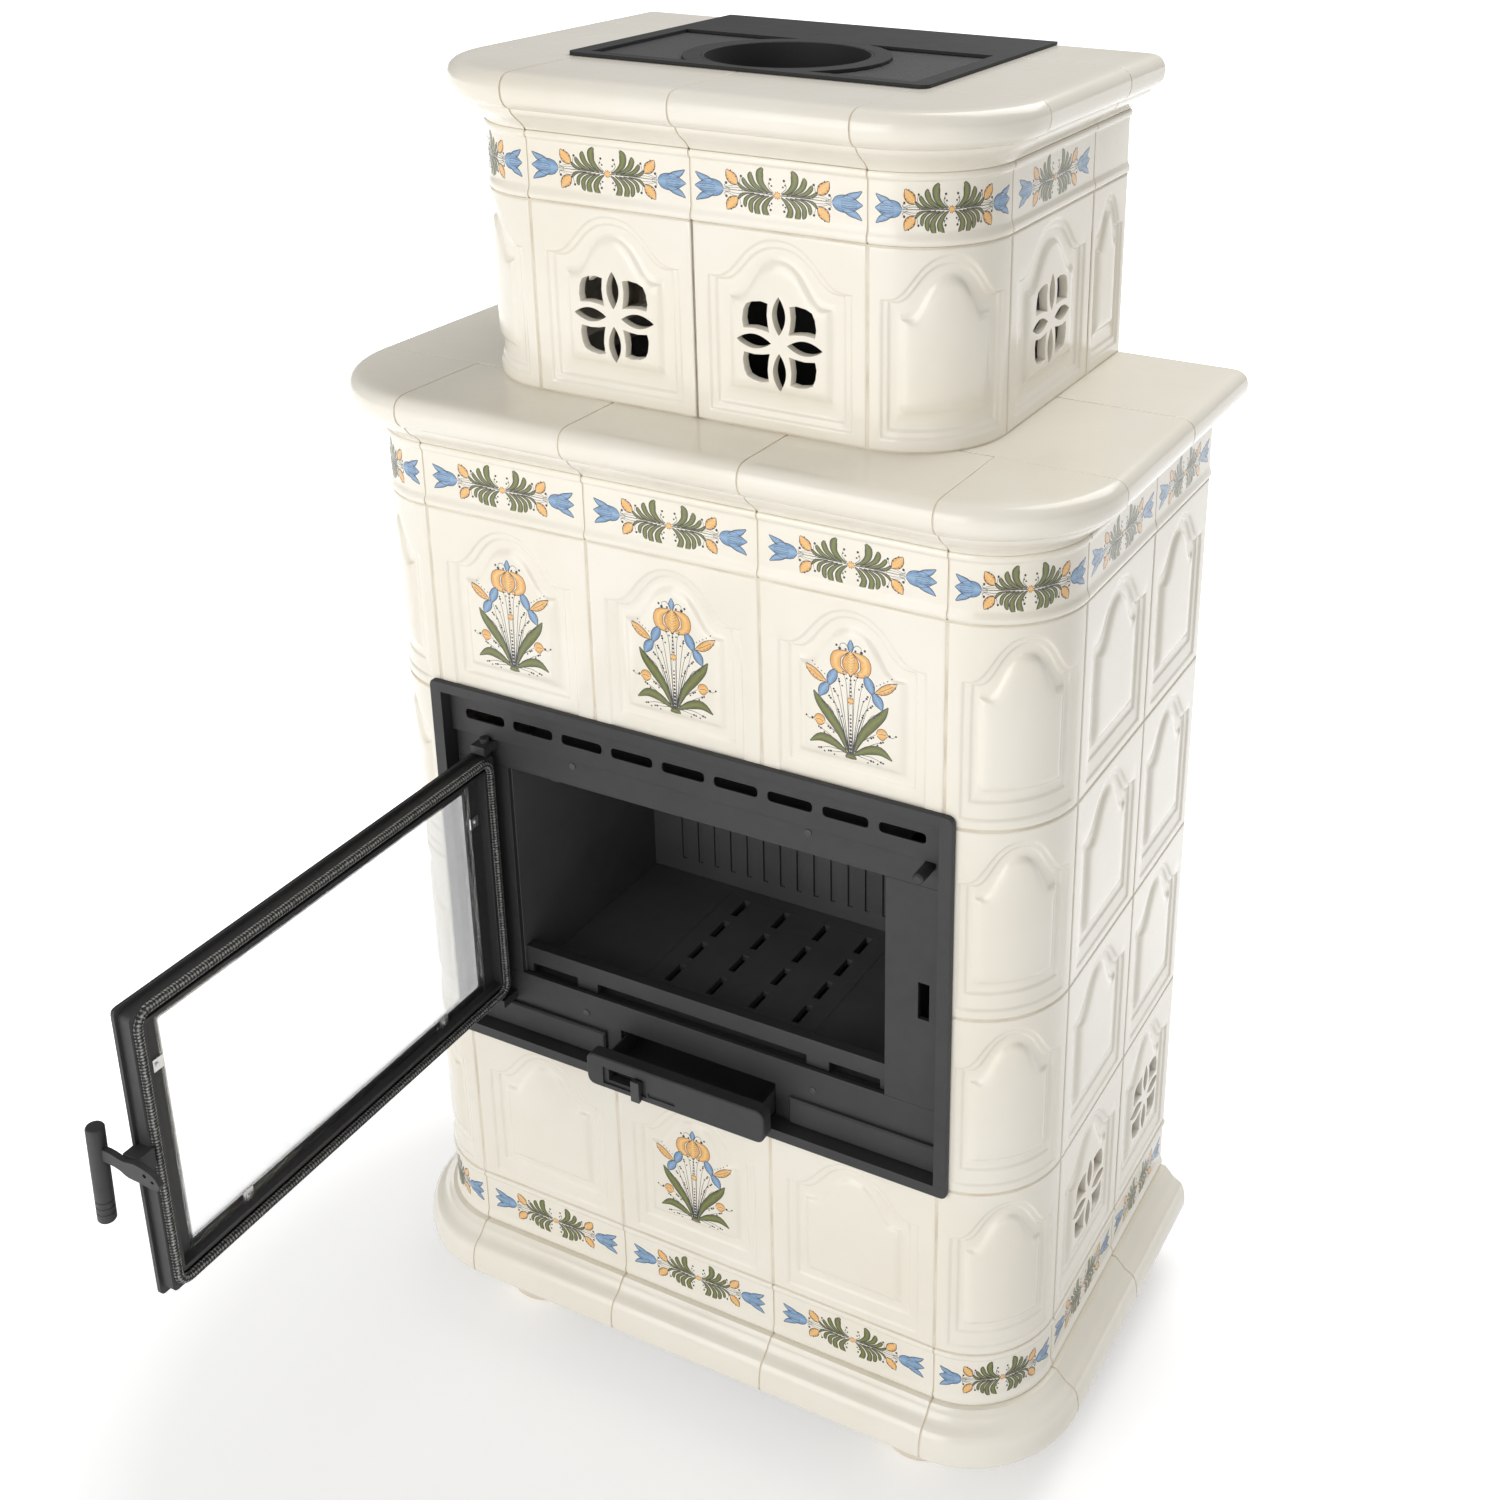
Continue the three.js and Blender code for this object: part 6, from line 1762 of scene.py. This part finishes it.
def garland(reach: float = 1.0) -> Ornament:
    """Draws the frieze's garland: tulips at both ends, buds, leaf sprays and a middle dot.

    Args:
        reach: The length as a share of the full one.

    Returns:
        The ornament.
    """
    half = Ornament()
    half.line([(3, 0), (22, 0.6), (44, 0.4), (60, 0.2)], 0.9, Pigment.LINE)
    for rise in (-5.2, -2.8, 3.0, 5.4):
        half.line([(31, rise * 0.2), (44, rise), (58, rise * 0.35)], 0.5, Pigment.LINE)
    spray(half, GARLAND_LEAVES, Pigment.LEAF)
    for lean in (1, -1):
        bud = ((43.6, 6.2, 1.5), (47.6, 10, 10), (52, 14.2, 9.4), (55.4, 19.4, 0.6))
        spray(half, [[(u, v * lean, w) for u, v, w in bud]], Pigment.OCHRE)
        half.line([(46.6, 9 * lean), (50.6, 12.6 * lean), (53.6, 15.8 * lean)], 0.9, Pigment.LINE)
        for u, v in BUD_DOTS:
            half.dot(u, v * lean, 0.7)
        half.line([(38, 1.2 * lean), (41.4, 5.2 * lean), (40, 13 * lean)], 0.6, Pigment.LINE)
        half.dot(39.4, 14.4 * lean, 1.3)
        half.dot(42.8, 7.2 * lean, 1.2)
        half.line([(52, 1 * lean), (57.8, 3.4 * lean), (56.4, 5.6 * lean)], 0.6, Pigment.LINE)
        half.dot(56, 6.4 * lean, 1.4)
        half.line([(4, 2 * lean), (9.6, 7.4 * lean), (8.6, 12.6 * lean)], 0.6, Pigment.LINE)
        half.dot(7.4, 14.6 * lean, 1.3)
        half.dot(6.2, 8.4 * lean, 1.0)
        half.dot(8.6, 10.4 * lean, 0.8)
    for lean in (1, -1):
        tip = ((70, 4.6, 3), (77, 7, 6.6), (84, 9.6, 5.6), (90, 13.6, 0.5))
        spray(half, [[(u, v * lean, w) for u, v, w in tip]], Pigment.BLUE)
    half.leaf(
        [(59, 0), (63, 0.2), (71, 0.3), (80, 0.4), (91, 0.6)], [2.6, 12.4, 16.4, 13.6, 0.5],
        Pigment.BLUE, 0.6, 0.04,
    )
    for rise in (-3.8, -1.6, 0.8, 3.2):
        path = smooth_path([(68, rise * 0.7), (76, rise), (85, rise * 0.7)], 4)
        half.strokes.append(Stroke(path, [0.5] * len(path), Pigment.LINE, 0.16))
    whole = half.mirrored()
    whole.dot(0, 0, 3.4, Pigment.OCHRE)
    for i in range(9):
        turn = i * 2 * math.pi / 9
        whole.dot(3.4 * math.cos(turn), 3.4 * math.sin(turn), 0.5)
    if reach != 1.0:
        for stroke in whole.strokes:
            stroke.path = [(u * reach, v) for u, v in stroke.path]
    return whole


BOUQUET_LEAVES = (
    ((-4, 57, 1.6), (-12, 76, 8), (-24, 92, 11), (-35, 105, 8.4), (-41.4, 115.4, 0.6)),
    ((-3, 53, 1.4), (-18, 62, 8.2), (-33, 65, 9), (-46, 57.5, 0.6)),
)
BOUQUET_PETALS = (
    ((-24.5, 125, 1.6), (-22, 132, 9.6), (-18.6, 139, 9), (-15.6, 144.4, 0.8)),
    ((-24, 127.5, 1.6), (-28.5, 122, 9.8), (-32, 116.4, 9), (-35, 110.6, 0.8)),
)
BOUQUET_TENDRILS = (
    ((-12.5, 131), (-9.5, 114)),
    ((-17.4, 119), (-12, 108)),
    ((-22, 110.6), (-15, 102)),
    ((-7.5, 140), (-4.2, 124)),
    ((-29, 104), (-20, 97)),
    ((-13, 97), (-9, 84)),
    ((-22.4, 77), (-14, 72)),
    ((-33, 74.5), (-24, 70)),
    ((-22, 51.6), (-13, 53)),
    ((-33, 53), (-22, 56)),
)


def pomegranate(motif: Ornament) -> None:
    """Paints the ochre fruit at the head of the bouquet, with its hatched middle and crest.

    Args:
        motif: The ornament it is added to.
    """
    for side in (-1, 1):
        lobe = [(side * u, v) for u, v in ((4, 141.6), (15.4, 147), (15.2, 159.6), (3, 166))]
        motif.leaf(lobe, [1.6, 10.6, 10.6, 1.6], Pigment.OCHRE, 0.6, 0.02)
    heart = [(0, 140.6), (0, 149), (0, 158), (0, 167)]
    motif.leaf(heart, [1.2, 16.5, 16, 1.2], Pigment.OCHRE, 0.7, 0.07)
    for i in range(7):
        rise, wide = 144.4 + 3.0 * i, 5.6 - 0.55 * abs(i - 3)
        for side in (-1, 1):
            path = [(0.4 * side, rise), (wide * 0.5 * side, rise + 0.9), (wide * side, rise + 2.8)]
            motif.strokes.append(Stroke(path, [0.6] * 3, Pigment.LINE, 0.14))
    motif.leaf([(0, 165.6), (0, 170), (0, 174), (0, 179.4)], [2.2, 6, 6.2, 0.6], Pigment.BLUE, 0.6)
    motif.dot(0, 140.6, 1.8)


def bouquet() -> Ornament:
    """Draws the tile's bouquet, with its middle at the foot of the tile's centre line.

    Returns:
        The ornament.
    """
    half = Ornament()
    half.line([(-2, 54), (-14, 72), (-29, 83)], 0.6, Pigment.LINE)
    half.line([(-2, 54), (-12, 86), (-23, 126)], 0.65, Pigment.LINE)
    for tip, bend in BOUQUET_TENDRILS:
        curl(half, (-1.6, 55), bend, tip, 2)
        half.dot(tip[0] + 3.2, tip[1] - 3.4, 1.0)
    spray(half, BOUQUET_LEAVES, Pigment.LEAF)
    spray(half, BOUQUET_PETALS, Pigment.BLUE)
    side_leaf = ((-27, 128, 1), (-35, 131.6, 8.4), (-43, 137, 8.6), (-50.6, 142.4, 0.6))
    spray(half, [side_leaf], Pigment.OCHRE)
    half.vein([(-31, 129.8), (-38, 133.6), (-46, 139)], 0.6)
    for i in range(6):
        half.dot(-30 - 3.8 * i, 124.8 + 2.6 * i, 0.75)
        half.dot(-25 - 3.8 * i, 133.8 + 2.4 * i, 0.65)
    bud = [(-29, 82.4), (-32, 83.4), (-37, 84.4), (-41, 83.8)]
    half.leaf(bud, [2.6, 11, 11.4, 1.6], Pigment.OCHRE, 0.6)
    half.vein([(-31, 83.2), (-35, 84.4), (-39, 84)], 0.7)
    half.dot(-43, 84.2, 1.5)
    half.line([(-43, 84.2), (-46, 82.8), (-49.6, 85)], 0.6, Pigment.LINE)
    half.dot(-50, 85.6, 1.1)
    half.line([(0, 167), (-6, 174), (-11, 172.8), (-11.8, 169.4)], 0.7, Pigment.LINE)
    for u, v, radius in ((-12, 167.8, 1.7), (-15.6, 170.6, 1.3), (-5.4, 168.2, 1.2)):
        half.dot(u, v, radius)
    whole = half.mirrored()
    pomegranate(whole)
    for u in (-2.1, 2.1):
        whole.line([(0, 52), (u, 80), (u * 0.9, 110), (0, 140)], 0.6, Pigment.LINE)
    whole.dot(0, 113, 3.4, Pigment.OCHRE)
    for i in range(8):
        turn = i * math.pi / 4
        whole.dot(3.4 * math.cos(turn), 113 + 3.4 * math.sin(turn), 0.6)
    for i in range(11):
        whole.dot(0, 55 + 4.2 * i, 1.7 - 0.07 * i)
    for i in range(5):
        whole.dot(0, 118.6 + 4.2 * i, 1.1)
    foot = [(-6, 48.6), (-2.6, 50.6), (2.6, 50.6), (6, 48.6)]
    whole.leaf(foot, [1.2, 5.6, 5.6, 1.2], Pigment.LEAF, 0.6)
    return whole


@dataclass
class Decoration:
    """Lays the bouquets on the tiles and the garlands on the friezes."""

    palette: Palette
    frieze_middle: float = 0.50

    def lay(self, motif: Ornament, name: str, place: Place, height: Callable) -> None:
        """Paints one motif on the stove's body."""
        piece = motif.paint(name, place, height)
        dress(piece, Body.STOVE, "glaze", *self.palette.paints)

    def bouquets(self, tiling: Tiling) -> None:
        """Paints the three tiles of the top row and the middle one of the bottom row.

        Args:
            tiling: The tiles that are painted.
        """
        width, high = 206.0, 222.8
        relief = Relief(width, high, *LOWER_ARCHES)
        tile = tiling.kind(relief)
        tree = BVHTree.FromPolygons(
            [v.co.copy() for v in tile.data.vertices],
            [tuple(p.vertices) for p in tile.data.polygons],
        )

        def height(u: float, v: float) -> float:
            """Gives the tile's height under a point of the motif."""
            hit = tree.ray_cast(Vector((u + width / 2, v, 20)), Vector((0, 0, -1)))[0]
            return hit.z if hit else 0.0

        motif = bouquet()
        places = [(-1, 3), (0, 3), (1, 3), (0, 0)]
        for index, (column, row) in enumerate(places):
            place = on_front(LOWER, column * width, row * high)
            self.lay(motif, f"bouquet_{index}", place, height)

    def frieze(
        self,
        name: str,
        plan: Plan,
        band: Band,
        fronts: Sequence[float],
        sides: Sequence[tuple[float, float]],
    ) -> None:
        """Paints a garland on each tile of a frieze.

        Args:
            name: The frieze's name.
            plan: The tier's outline.
            band: The frieze's band.
            fronts: The middles of its front tiles.
            sides: The middles and widths of its side tiles.
        """
        middle = band.low + band.height * self.frieze_middle
        surface = lambda u, v: -1.2
        motif = garland()
        for index, x in enumerate(fronts):
            self.lay(motif, f"garland_{name}_front_{index}", on_front(plan, x, middle), surface)
        arc = plan.radius * math.pi / 2
        short = garland(0.80)
        for sign in (-1, 1):
            place = on_corner(plan, sign, middle, arc / 2)
            self.lay(short, f"garland_{name}_corner_{sign + 1}", place, surface)
            for index, (y, width) in enumerate(sides):
                fit = garland(min(1.0, (width - 14) / 186))
                place = on_side(plan, sign, y, middle)
                self.lay(fit, f"garland_{name}_side_{sign + 1}_{index}", place, surface)

    def build(self, tiling: Tiling) -> None:
        """Paints everything.

        Args:
            tiling: The tiles that are painted.
        """
        self.bouquets(tiling)
        sides = [(LOWER.start + 96.15, 192.3), (LOWER.start + 192.3 + 90.7, 181.4)]
        self.frieze("base", LOWER, BASE_BAND, (-206, 0, 206), sides)
        self.frieze("top", LOWER, TOP_BAND, (-206, 0, 206), sides)
        upper = [(UPPER.start + 105.65, 211.3)]
        self.frieze("upper", UPPER, UPPER_BAND, (-96.15, 96.15), upper)


# ------------------------------------------------------------------ feet, top and ironwork


@dataclass
class Feet:
    """Four round glazed feet."""

    palette: Palette
    edge: float = 8.0

    def build(self) -> None:
        """Turns each foot in its place."""
        for side in ("front_left", "front_right", "rear_left", "rear_right"):
            low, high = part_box(f"foot_{side}")
            centre = (low + high) / 2
            Bench.clear()
            bpy.ops.mesh.primitive_cylinder_add(
                vertices=64,
                radius=(high.x - low.x) / 2,
                depth=high.z - low.z,
                location=centre,
            )
            foot = bpy.context.active_object
            foot.name = f"foot_turned_{side}"
            Bench.settle(foot)
            Bench.bevel(foot, self.edge * MM * 0.6, 4)
            Bench.tidy(foot, 30)
            # The foot's glaze is a darker copy of the cream glaze, as painted shade for the shadow
            # under the stove.
            dress(foot, Body.STOVE, "foot_glaze", self.palette.foot)
            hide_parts(f"foot_{side}")


def turned(
    name: str, section: Sequence[Point], centre: Vector, steps: int = 64
) -> bpy.types.Object:
    """Turns a section round an upright axis.

    Args:
        name: The piece's name.
        section: Its closed outline as [radius, height] in millimetres.
        centre: The axis's foot in the frame.
        steps: The number of facets.

    Returns:
        The closed piece.
    """
    outline = [centre + Vector((r, 0, z)) * MM for r, z in section]
    piece = Bench.face(name, outline)
    Bench.spin(piece, centre, Vector((0, 0, 1)), 2 * math.pi, steps)
    Bench.pick(piece)
    bpy.ops.object.mode_set(mode="EDIT")
    bpy.ops.mesh.select_all(action="SELECT")
    bpy.ops.mesh.remove_doubles(threshold=2e-6)
    bpy.ops.mesh.delete_loose()
    bpy.ops.mesh.select_all(action="DESELECT")
    bpy.ops.mesh.select_mode(type="FACE")
    bpy.ops.mesh.select_interior_faces()
    bpy.ops.mesh.delete(type="FACE")
    bpy.ops.object.mode_set(mode="OBJECT")
    return Bench.tidy(piece, 30)


@dataclass
class TopPlate:
    """The iron top plate with its mesh and the flue collar."""

    palette: Palette

    def build(self) -> None:
        """Dresses the plate and turns a round flue."""
        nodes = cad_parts
        finish(nodes["top_plate"], self.palette.plate)
        finish(nodes["mesh_panel"], self.palette.mesh)
        low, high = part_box("flue_pipe")
        centre = Vector(((low.x + high.x) / 2, (low.y + high.y) / 2, low.z))
        tall = (high.z - low.z) / MM
        outer = (high.x - low.x) / 2 / MM
        section = [
            (outer - 3, 0), (outer, 0), (outer, tall - 0.6), (outer - 0.6, tall),
            (outer - 2.4, tall), (outer - 3, tall - 0.6),
        ]
        pipe = turned("flue_turned", section, centre, 96)
        dress(pipe, Body.STOVE, "cast_iron", self.palette.flue)
        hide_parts("flue_pipe")


def finish(node: bpy.types.Object, material: bpy.types.Material) -> None:
    """Gives a CAD node its finish."""
    node.data.materials.clear()
    node.data.materials.append(material)


@dataclass
class Ironwork:
    """The insert's CAD nodes with their finishes."""

    palette: Palette

    def build(self) -> None:
        """Dresses every metal node."""
        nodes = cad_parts
        iron = self.palette.iron
        for name in (
            "insert_frame", "seat_rail_upper", "seat_rail_lower", "seat_stile_left",
            "seat_stile_right", "fascia_plate", "log_guard", "hinge_block_top",
            "hinge_block_bottom", "pull_rod", "drawer_front", "door_frame", "handle_lever",
        ):
            finish(nodes[name], iron)
        for name in ("firebox_shell", "smoke_baffle", "firebox_floor", "grate", "ash_housing"):
            finish(nodes[name], self.palette.soot)
        for name in ("ash_tray", "air_slider"):
            finish(nodes[name], self.palette.dark)
        for name in ("base_plate", "back_panel"):
            finish(nodes[name], self.palette.sheet)
        for name in ("left", "right", "low_left", "low_right"):
            finish(nodes[f"glass_clip_{name}"], self.palette.bright)
        finish(nodes["door_glass"], self.palette.pane)
        finish(nodes["glass_gasket"], self.palette.dark)


@dataclass
class Door:
    """Soft and turned pieces of the door, drawn closed and swung open on the hinge."""

    palette: Palette
    hinge_x: float = -258.0
    hinge_y: float = 3.0
    opened: float = 89.0
    rope: float = 10.0
    half: float = 254.0
    low: float = 289.5
    high: float = 595.5
    corner: float = 14.0
    rope_y: float = 9.6
    grip_x: float = 282.6
    grip_y: float = -34.0
    grip_low: float = 373.6
    grip_high: float = 481.7
    grip_radius: float = 8.7
    grip_tilt: float = -2.6

    def swung(self, x: float, y: float, z: float) -> Vector:
        """Takes a point of the closed door to where the open door has it.

        Args:
            x: Across the stove.
            y: To the rear.
            z: Up from the tiles' foot.

        Returns:
            The point in the frame.
        """
        angle = math.radians(-self.opened)
        dx, dy = x - self.hinge_x, y - self.hinge_y
        return at(
            self.hinge_x + dx * math.cos(angle) - dy * math.sin(angle),
            self.hinge_y + dx * math.sin(angle) + dy * math.cos(angle),
            z,
        )

    def rope_path(self) -> list[tuple[float, float, float, float]]:
        """Lists the rope's centre line: x, z and the outward direction in the door's plane.

        Returns:
            The rope's points and directions.
        """
        path = []
        corners = (
            (self.half, self.high, 0), (-self.half, self.high, 90),
            (-self.half, self.low, 180), (self.half, self.low, 270),
        )
        for x, z, start in corners:
            cx = x - math.copysign(self.corner, x)
            cz = z - math.copysign(self.corner, z - (self.low + self.high) / 2)
            for i in range(9):
                angle = math.radians(start + 90 * i / 8)
                path.append((
                    cx + self.corner * math.cos(angle), cz + self.corner * math.sin(angle),
                    math.cos(angle), math.sin(angle),
                ))
        dense = []
        for here, there in zip(path, path[1:] + path[:1]):
            length = math.hypot(there[0] - here[0], there[1] - here[1])
            steps = max(1, round(length / 6))
            for i in range(steps):
                dense.append(tuple(lerp(a, b, i / steps) for a, b in zip(here, there)))
        return dense

    def gasket(self) -> None:
        """Winds the braided rope into its channel."""
        path = self.rope_path()
        sides = 14
        rings = []
        for x, z, out_x, out_z in path:
            ring = []
            for k in range(sides):
                angle = 2 * math.pi * k / sides
                aside = self.rope / 2 * 0.97 * math.cos(angle)
                deep = self.rope / 2 * 0.97 * math.sin(angle)
                ring.append(self.swung(x + out_x * aside, self.rope_y + deep, z + out_z * aside))
            rings.append(ring)
        rope = Bench.skin("door_rope", rings, looped=True)
        layer = rope.data.uv_layers.new(name="rope")
        run = 0.0
        lengths = []
        for here, there in zip(path, path[1:] + path[:1]):
            lengths.append(run)
            run += math.hypot(there[0] - here[0], there[1] - here[1])
        whole = round(run / 7)
        for polygon in rope.data.polygons:
            row, column = divmod(polygon.index, sides)
            after = lengths[row + 1] if row + 1 < len(path) else run
            for corner, loop in enumerate(polygon.loop_indices):
                along = lengths[row] if corner in (0, 1) else after
                around = column + (1 if corner in (1, 2) else 0)
                layer.data[loop].uv = (along / run * whole, around / sides * 3)
        Bench.tidy(rope, 60)
        dress(rope, Body.DOOR, "gasket", self.palette.rope)
        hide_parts("door_gasket")

    def grip(self) -> None:
        """Turns the grip with its three fine rings."""
        low, high, radius = self.grip_low, self.grip_high, self.grip_radius
        length = high - low
        section = [(0.0, 0.0), (radius - 2.2, 0.0), (radius - 0.8, 0.5), (radius, 2.0)]
        for ring in range(3):
            z = 10.0 + 7.0 * ring
            section += [(radius, z), (radius - 0.6, z + 0.4)]
            section += [(radius - 0.6, z + 1.2), (radius, z + 1.6)]
        section += [(radius, length - 2.0), (radius - 0.8, length - 0.5)]
        section += [(radius - 2.2, length), (0, length)]
        steps = 40
        tilt = Matrix.Rotation(math.radians(self.grip_tilt), 3, "X")
        centre = Vector((self.grip_x, self.grip_y, (low + high) / 2))
        rings = []
        for r, z in section[1:-1]:
            ring = []
            for k in range(steps):
                angle = 2 * math.pi * k / steps
                local = Vector((r * math.cos(angle), r * math.sin(angle), z - length / 2))
                point = centre + tilt @ local
                ring.append(self.swung(point.x, point.y, point.z))
            rings.append(ring)
        grip = Bench.tidy(Bench.skin("grip_turned", rings), 30)
        dress(grip, Body.HANDLE, "cast_iron", self.palette.iron)
        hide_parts("handle_grip")

    def build(self) -> None:
        """Builds the rope and the grip."""
        self.gasket()
        self.grip()


@dataclass
class Screws:
    """Countersunk screws in the seat's two rails."""

    palette: Palette
    radius: float = 4.2
    height: float = 1.6
    depth: float = 14.9
    places: tuple[Point, ...] = ((-148, 607), (148, 607), (-150, 281), (150, 281))

    def build(self) -> None:
        """Sets each screw in its rail."""
        made = []
        for x, z in self.places:
            Bench.clear()
            bpy.ops.mesh.primitive_cylinder_add(
                vertices=32,
                radius=self.radius * MM,
                depth=self.height * MM,
                location=at(x, self.depth, z),
                rotation=(math.pi / 2, 0, 0),
            )
            head = bpy.context.active_object
            Bench.settle(head)
            Bench.bevel(head, 0.0004, 2)
            made.append(Bench.tidy(head, 30))
        screws = Bench.join("seat_screws", made)
        dress(screws, Body.STOVE, "dark_steel", self.palette.dark)


# ------------------------------------------------------------------ studio


@dataclass
class Studio:
    """Floor, lamps and camera."""

    key: float = 110.0
    fill: float = 6.0
    top: float = 62.0
    sky: float = 0.40
    floor_glow: float = 0.30
    far_glow: float = 0.9

    def floor(self) -> None:
        """Lays a wide pale floor that keeps the stove's shadow."""
        Bench.clear()
        bpy.ops.mesh.primitive_plane_add(size=80, location=(0, 0, 0))
        floor = bpy.context.active_object
        floor.name = "studio_floor"
        graph = Graph("studio_white")
        place = graph.place()
        shade = graph.ramp(graph.noise(place, 0.4), [(0.3, (0.90,) * 3), (0.7, (0.92,) * 3)])
        diffuse = graph.node("BsdfDiffuse", Color=shade)
        rays = graph.node("LightPath")
        seen = graph.math("MAXIMUM", rays.outputs["Is Camera Ray"], rays.outputs["Is Glossy Ray"])
        seen = graph.math("MAXIMUM", seen, rays.outputs["Is Transmission Ray"])
        away = graph.node("VectorMath", {"operation": "LENGTH"})
        graph.tree.links.new(place, away.inputs[0])
        far = graph.node("MapRange", Value=away.outputs["Value"])
        far.inputs["From Min"].default_value = 0.6
        far.inputs["From Max"].default_value = 1.4
        far.inputs["To Max"].default_value = self.far_glow
        light = graph.math("ADD", far.outputs["Result"], self.floor_glow)
        lift = graph.math("MULTIPLY", seen, light)
        glow = graph.node("Emission", Color=(1, 1, 1, 1), Strength=lift)
        mix = graph.tree.nodes.new("ShaderNodeAddShader")
        graph.tree.links.new(diffuse.outputs[0], mix.inputs[0])
        graph.tree.links.new(glow.outputs[0], mix.inputs[1])
        graph.tree.links.new(mix.outputs[0], graph.output.inputs["Surface"])
        floor.data.materials.append(graph.material)

    def lamp(
        self, name: str, place: Sequence[float], aim: Sequence[float], size: Point, power: float
    ) -> None:
        """Hangs one soft lamp.

        Args:
            name: The lamp's name.
            place: Where it hangs, in metres.
            aim: The point that it faces.
            size: Its width and height in metres.
            power: Its power in watts.
        """
        data = bpy.data.lights.new(name, "AREA")
        data.shape = "RECTANGLE"
        data.size, data.size_y = size
        data.energy = power
        lamp = bpy.data.objects.new(name, data)
        bpy.context.scene.collection.objects.link(lamp)
        lamp.location = place
        lamp.rotation_euler = (Vector(aim) - Vector(place)).to_track_quat("-Z", "Y").to_euler()

    def world(self) -> None:
        """Sets an even white sky."""
        world = bpy.data.worlds.new("studio")
        bpy.context.scene.world = world
        world.use_nodes = True
        tree = world.node_tree
        tree.nodes.clear()
        output = tree.nodes.new("ShaderNodeOutputWorld")
        soft = tree.nodes.new("ShaderNodeBackground")
        soft.inputs["Color"].default_value = (1, 1, 1, 1)
        soft.inputs["Strength"].default_value = self.sky
        white = tree.nodes.new("ShaderNodeBackground")
        white.inputs["Strength"].default_value = 1.0
        white.inputs["Color"].default_value = (1, 1, 1, 1)
        rays = tree.nodes.new("ShaderNodeLightPath")
        mix = tree.nodes.new("ShaderNodeMixShader")
        tree.links.new(rays.outputs["Is Camera Ray"], mix.inputs[0])
        tree.links.new(soft.outputs[0], mix.inputs[1])
        tree.links.new(white.outputs[0], mix.inputs[2])
        tree.links.new(mix.outputs[0], output.inputs["Surface"])

    def camera(self) -> None:
        """Stands the camera at the photograph's place."""
        data = bpy.data.cameras.new("view")
        data.lens = 45.74
        data.sensor_width = 36
        data.shift_x = -0.1136
        data.shift_y = -0.1792
        data.clip_end = 200
        camera = bpy.data.objects.new("view", data)
        bpy.context.scene.collection.objects.link(camera)
        right = Vector((0.8969, 0.4421, 0.0116))
        up = Vector((-0.1707, 0.3218, 0.9313))
        back = Vector((0.4080, -0.8373, 0.3641))
        turn = Matrix((right, up, back)).transposed()
        camera.matrix_world = Matrix.Translation((0.9931, -1.4291, 1.8633)) @ turn.to_4x4()
        bpy.context.scene.camera = camera

    def build(self) -> None:
        """Sets up the whole studio."""
        self.floor()
        self.world()
        self.lamp("key", (-0.9, -4.2, 1.9), (0, 0.2, 0.6), (3.2, 3.2), self.key)
        self.lamp("fill", (2.8, -2.6, 1.6), (0.1, 0.2, 0.8), (1.4, 2.4), self.fill)
        self.lamp("top", (0.7, 2.0, 3.7), (0, 0, 0.5), (2.4, 2.4), self.top)
        self.camera()
        bpy.context.scene.view_settings.view_transform = "Standard"


def moulding_set(palette: Palette) -> None:
    """Builds the plinth, the friezes and the cornices.

    Args:
        palette: The stove's materials.
    """
    lower_front = [-309, -103, 103, 309]
    lower_side = [LOWER.start, LOWER.start + 192.3, LOWER.rear]
    upper_front = [-192.3, 0, 192.3]
    upper_side = [UPPER.start, UPPER.start + 211.3, UPPER.rear]
    Moulding("plinth", LOWER, lower_front, lower_side, plinth_section(-131.4)).build(palette)
    for name, band in (("base_frieze", BASE_BAND), ("top_frieze", TOP_BAND)):
        Moulding(name, LOWER, lower_front, lower_side, frieze_section(band)).build(palette)
    Moulding(
        "upper_frieze", UPPER, upper_front, upper_side, frieze_section(UPPER_BAND)
    ).build(palette)
    Cornice(
        "lower_cornice", LOWER, lower_front, lower_side,
        prefix="lower_cornice", low=962.1, inner_x=262, inner_y=100,
    ).build(palette)
    Cornice(
        "upper_cornice", UPPER, upper_front, [UPPER.start, 373.0, UPPER.rear],
        prefix="upper_cornice", low=1294.6, inner_x=200, inner_y=158,
    ).build(palette)


def main() -> None:
    """Builds every sub-assembly in order."""
    logging.basicConfig(level=logging.INFO, format="%(name)s: %(message)s")
    random.seed(7)
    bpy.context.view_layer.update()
    palette = Palette()
    tiling = Tiling(palette)
    TiledWalls(tiling).build()
    Decoration(palette).build(tiling)
    tiling.close()
    log.info("tiles: %d laid and painted", tiling.count)
    moulding_set(palette)
    log.info("mouldings: plinth, friezes and cornices")
    Feet(palette).build()
    TopPlate(palette).build()
    Ironwork(palette).build()
    Door(palette).build()
    Screws(palette).build()
    log.info("ironwork: top plate, insert, door and drawer")
    Studio().build()


if __name__ == "__main__":
    main()
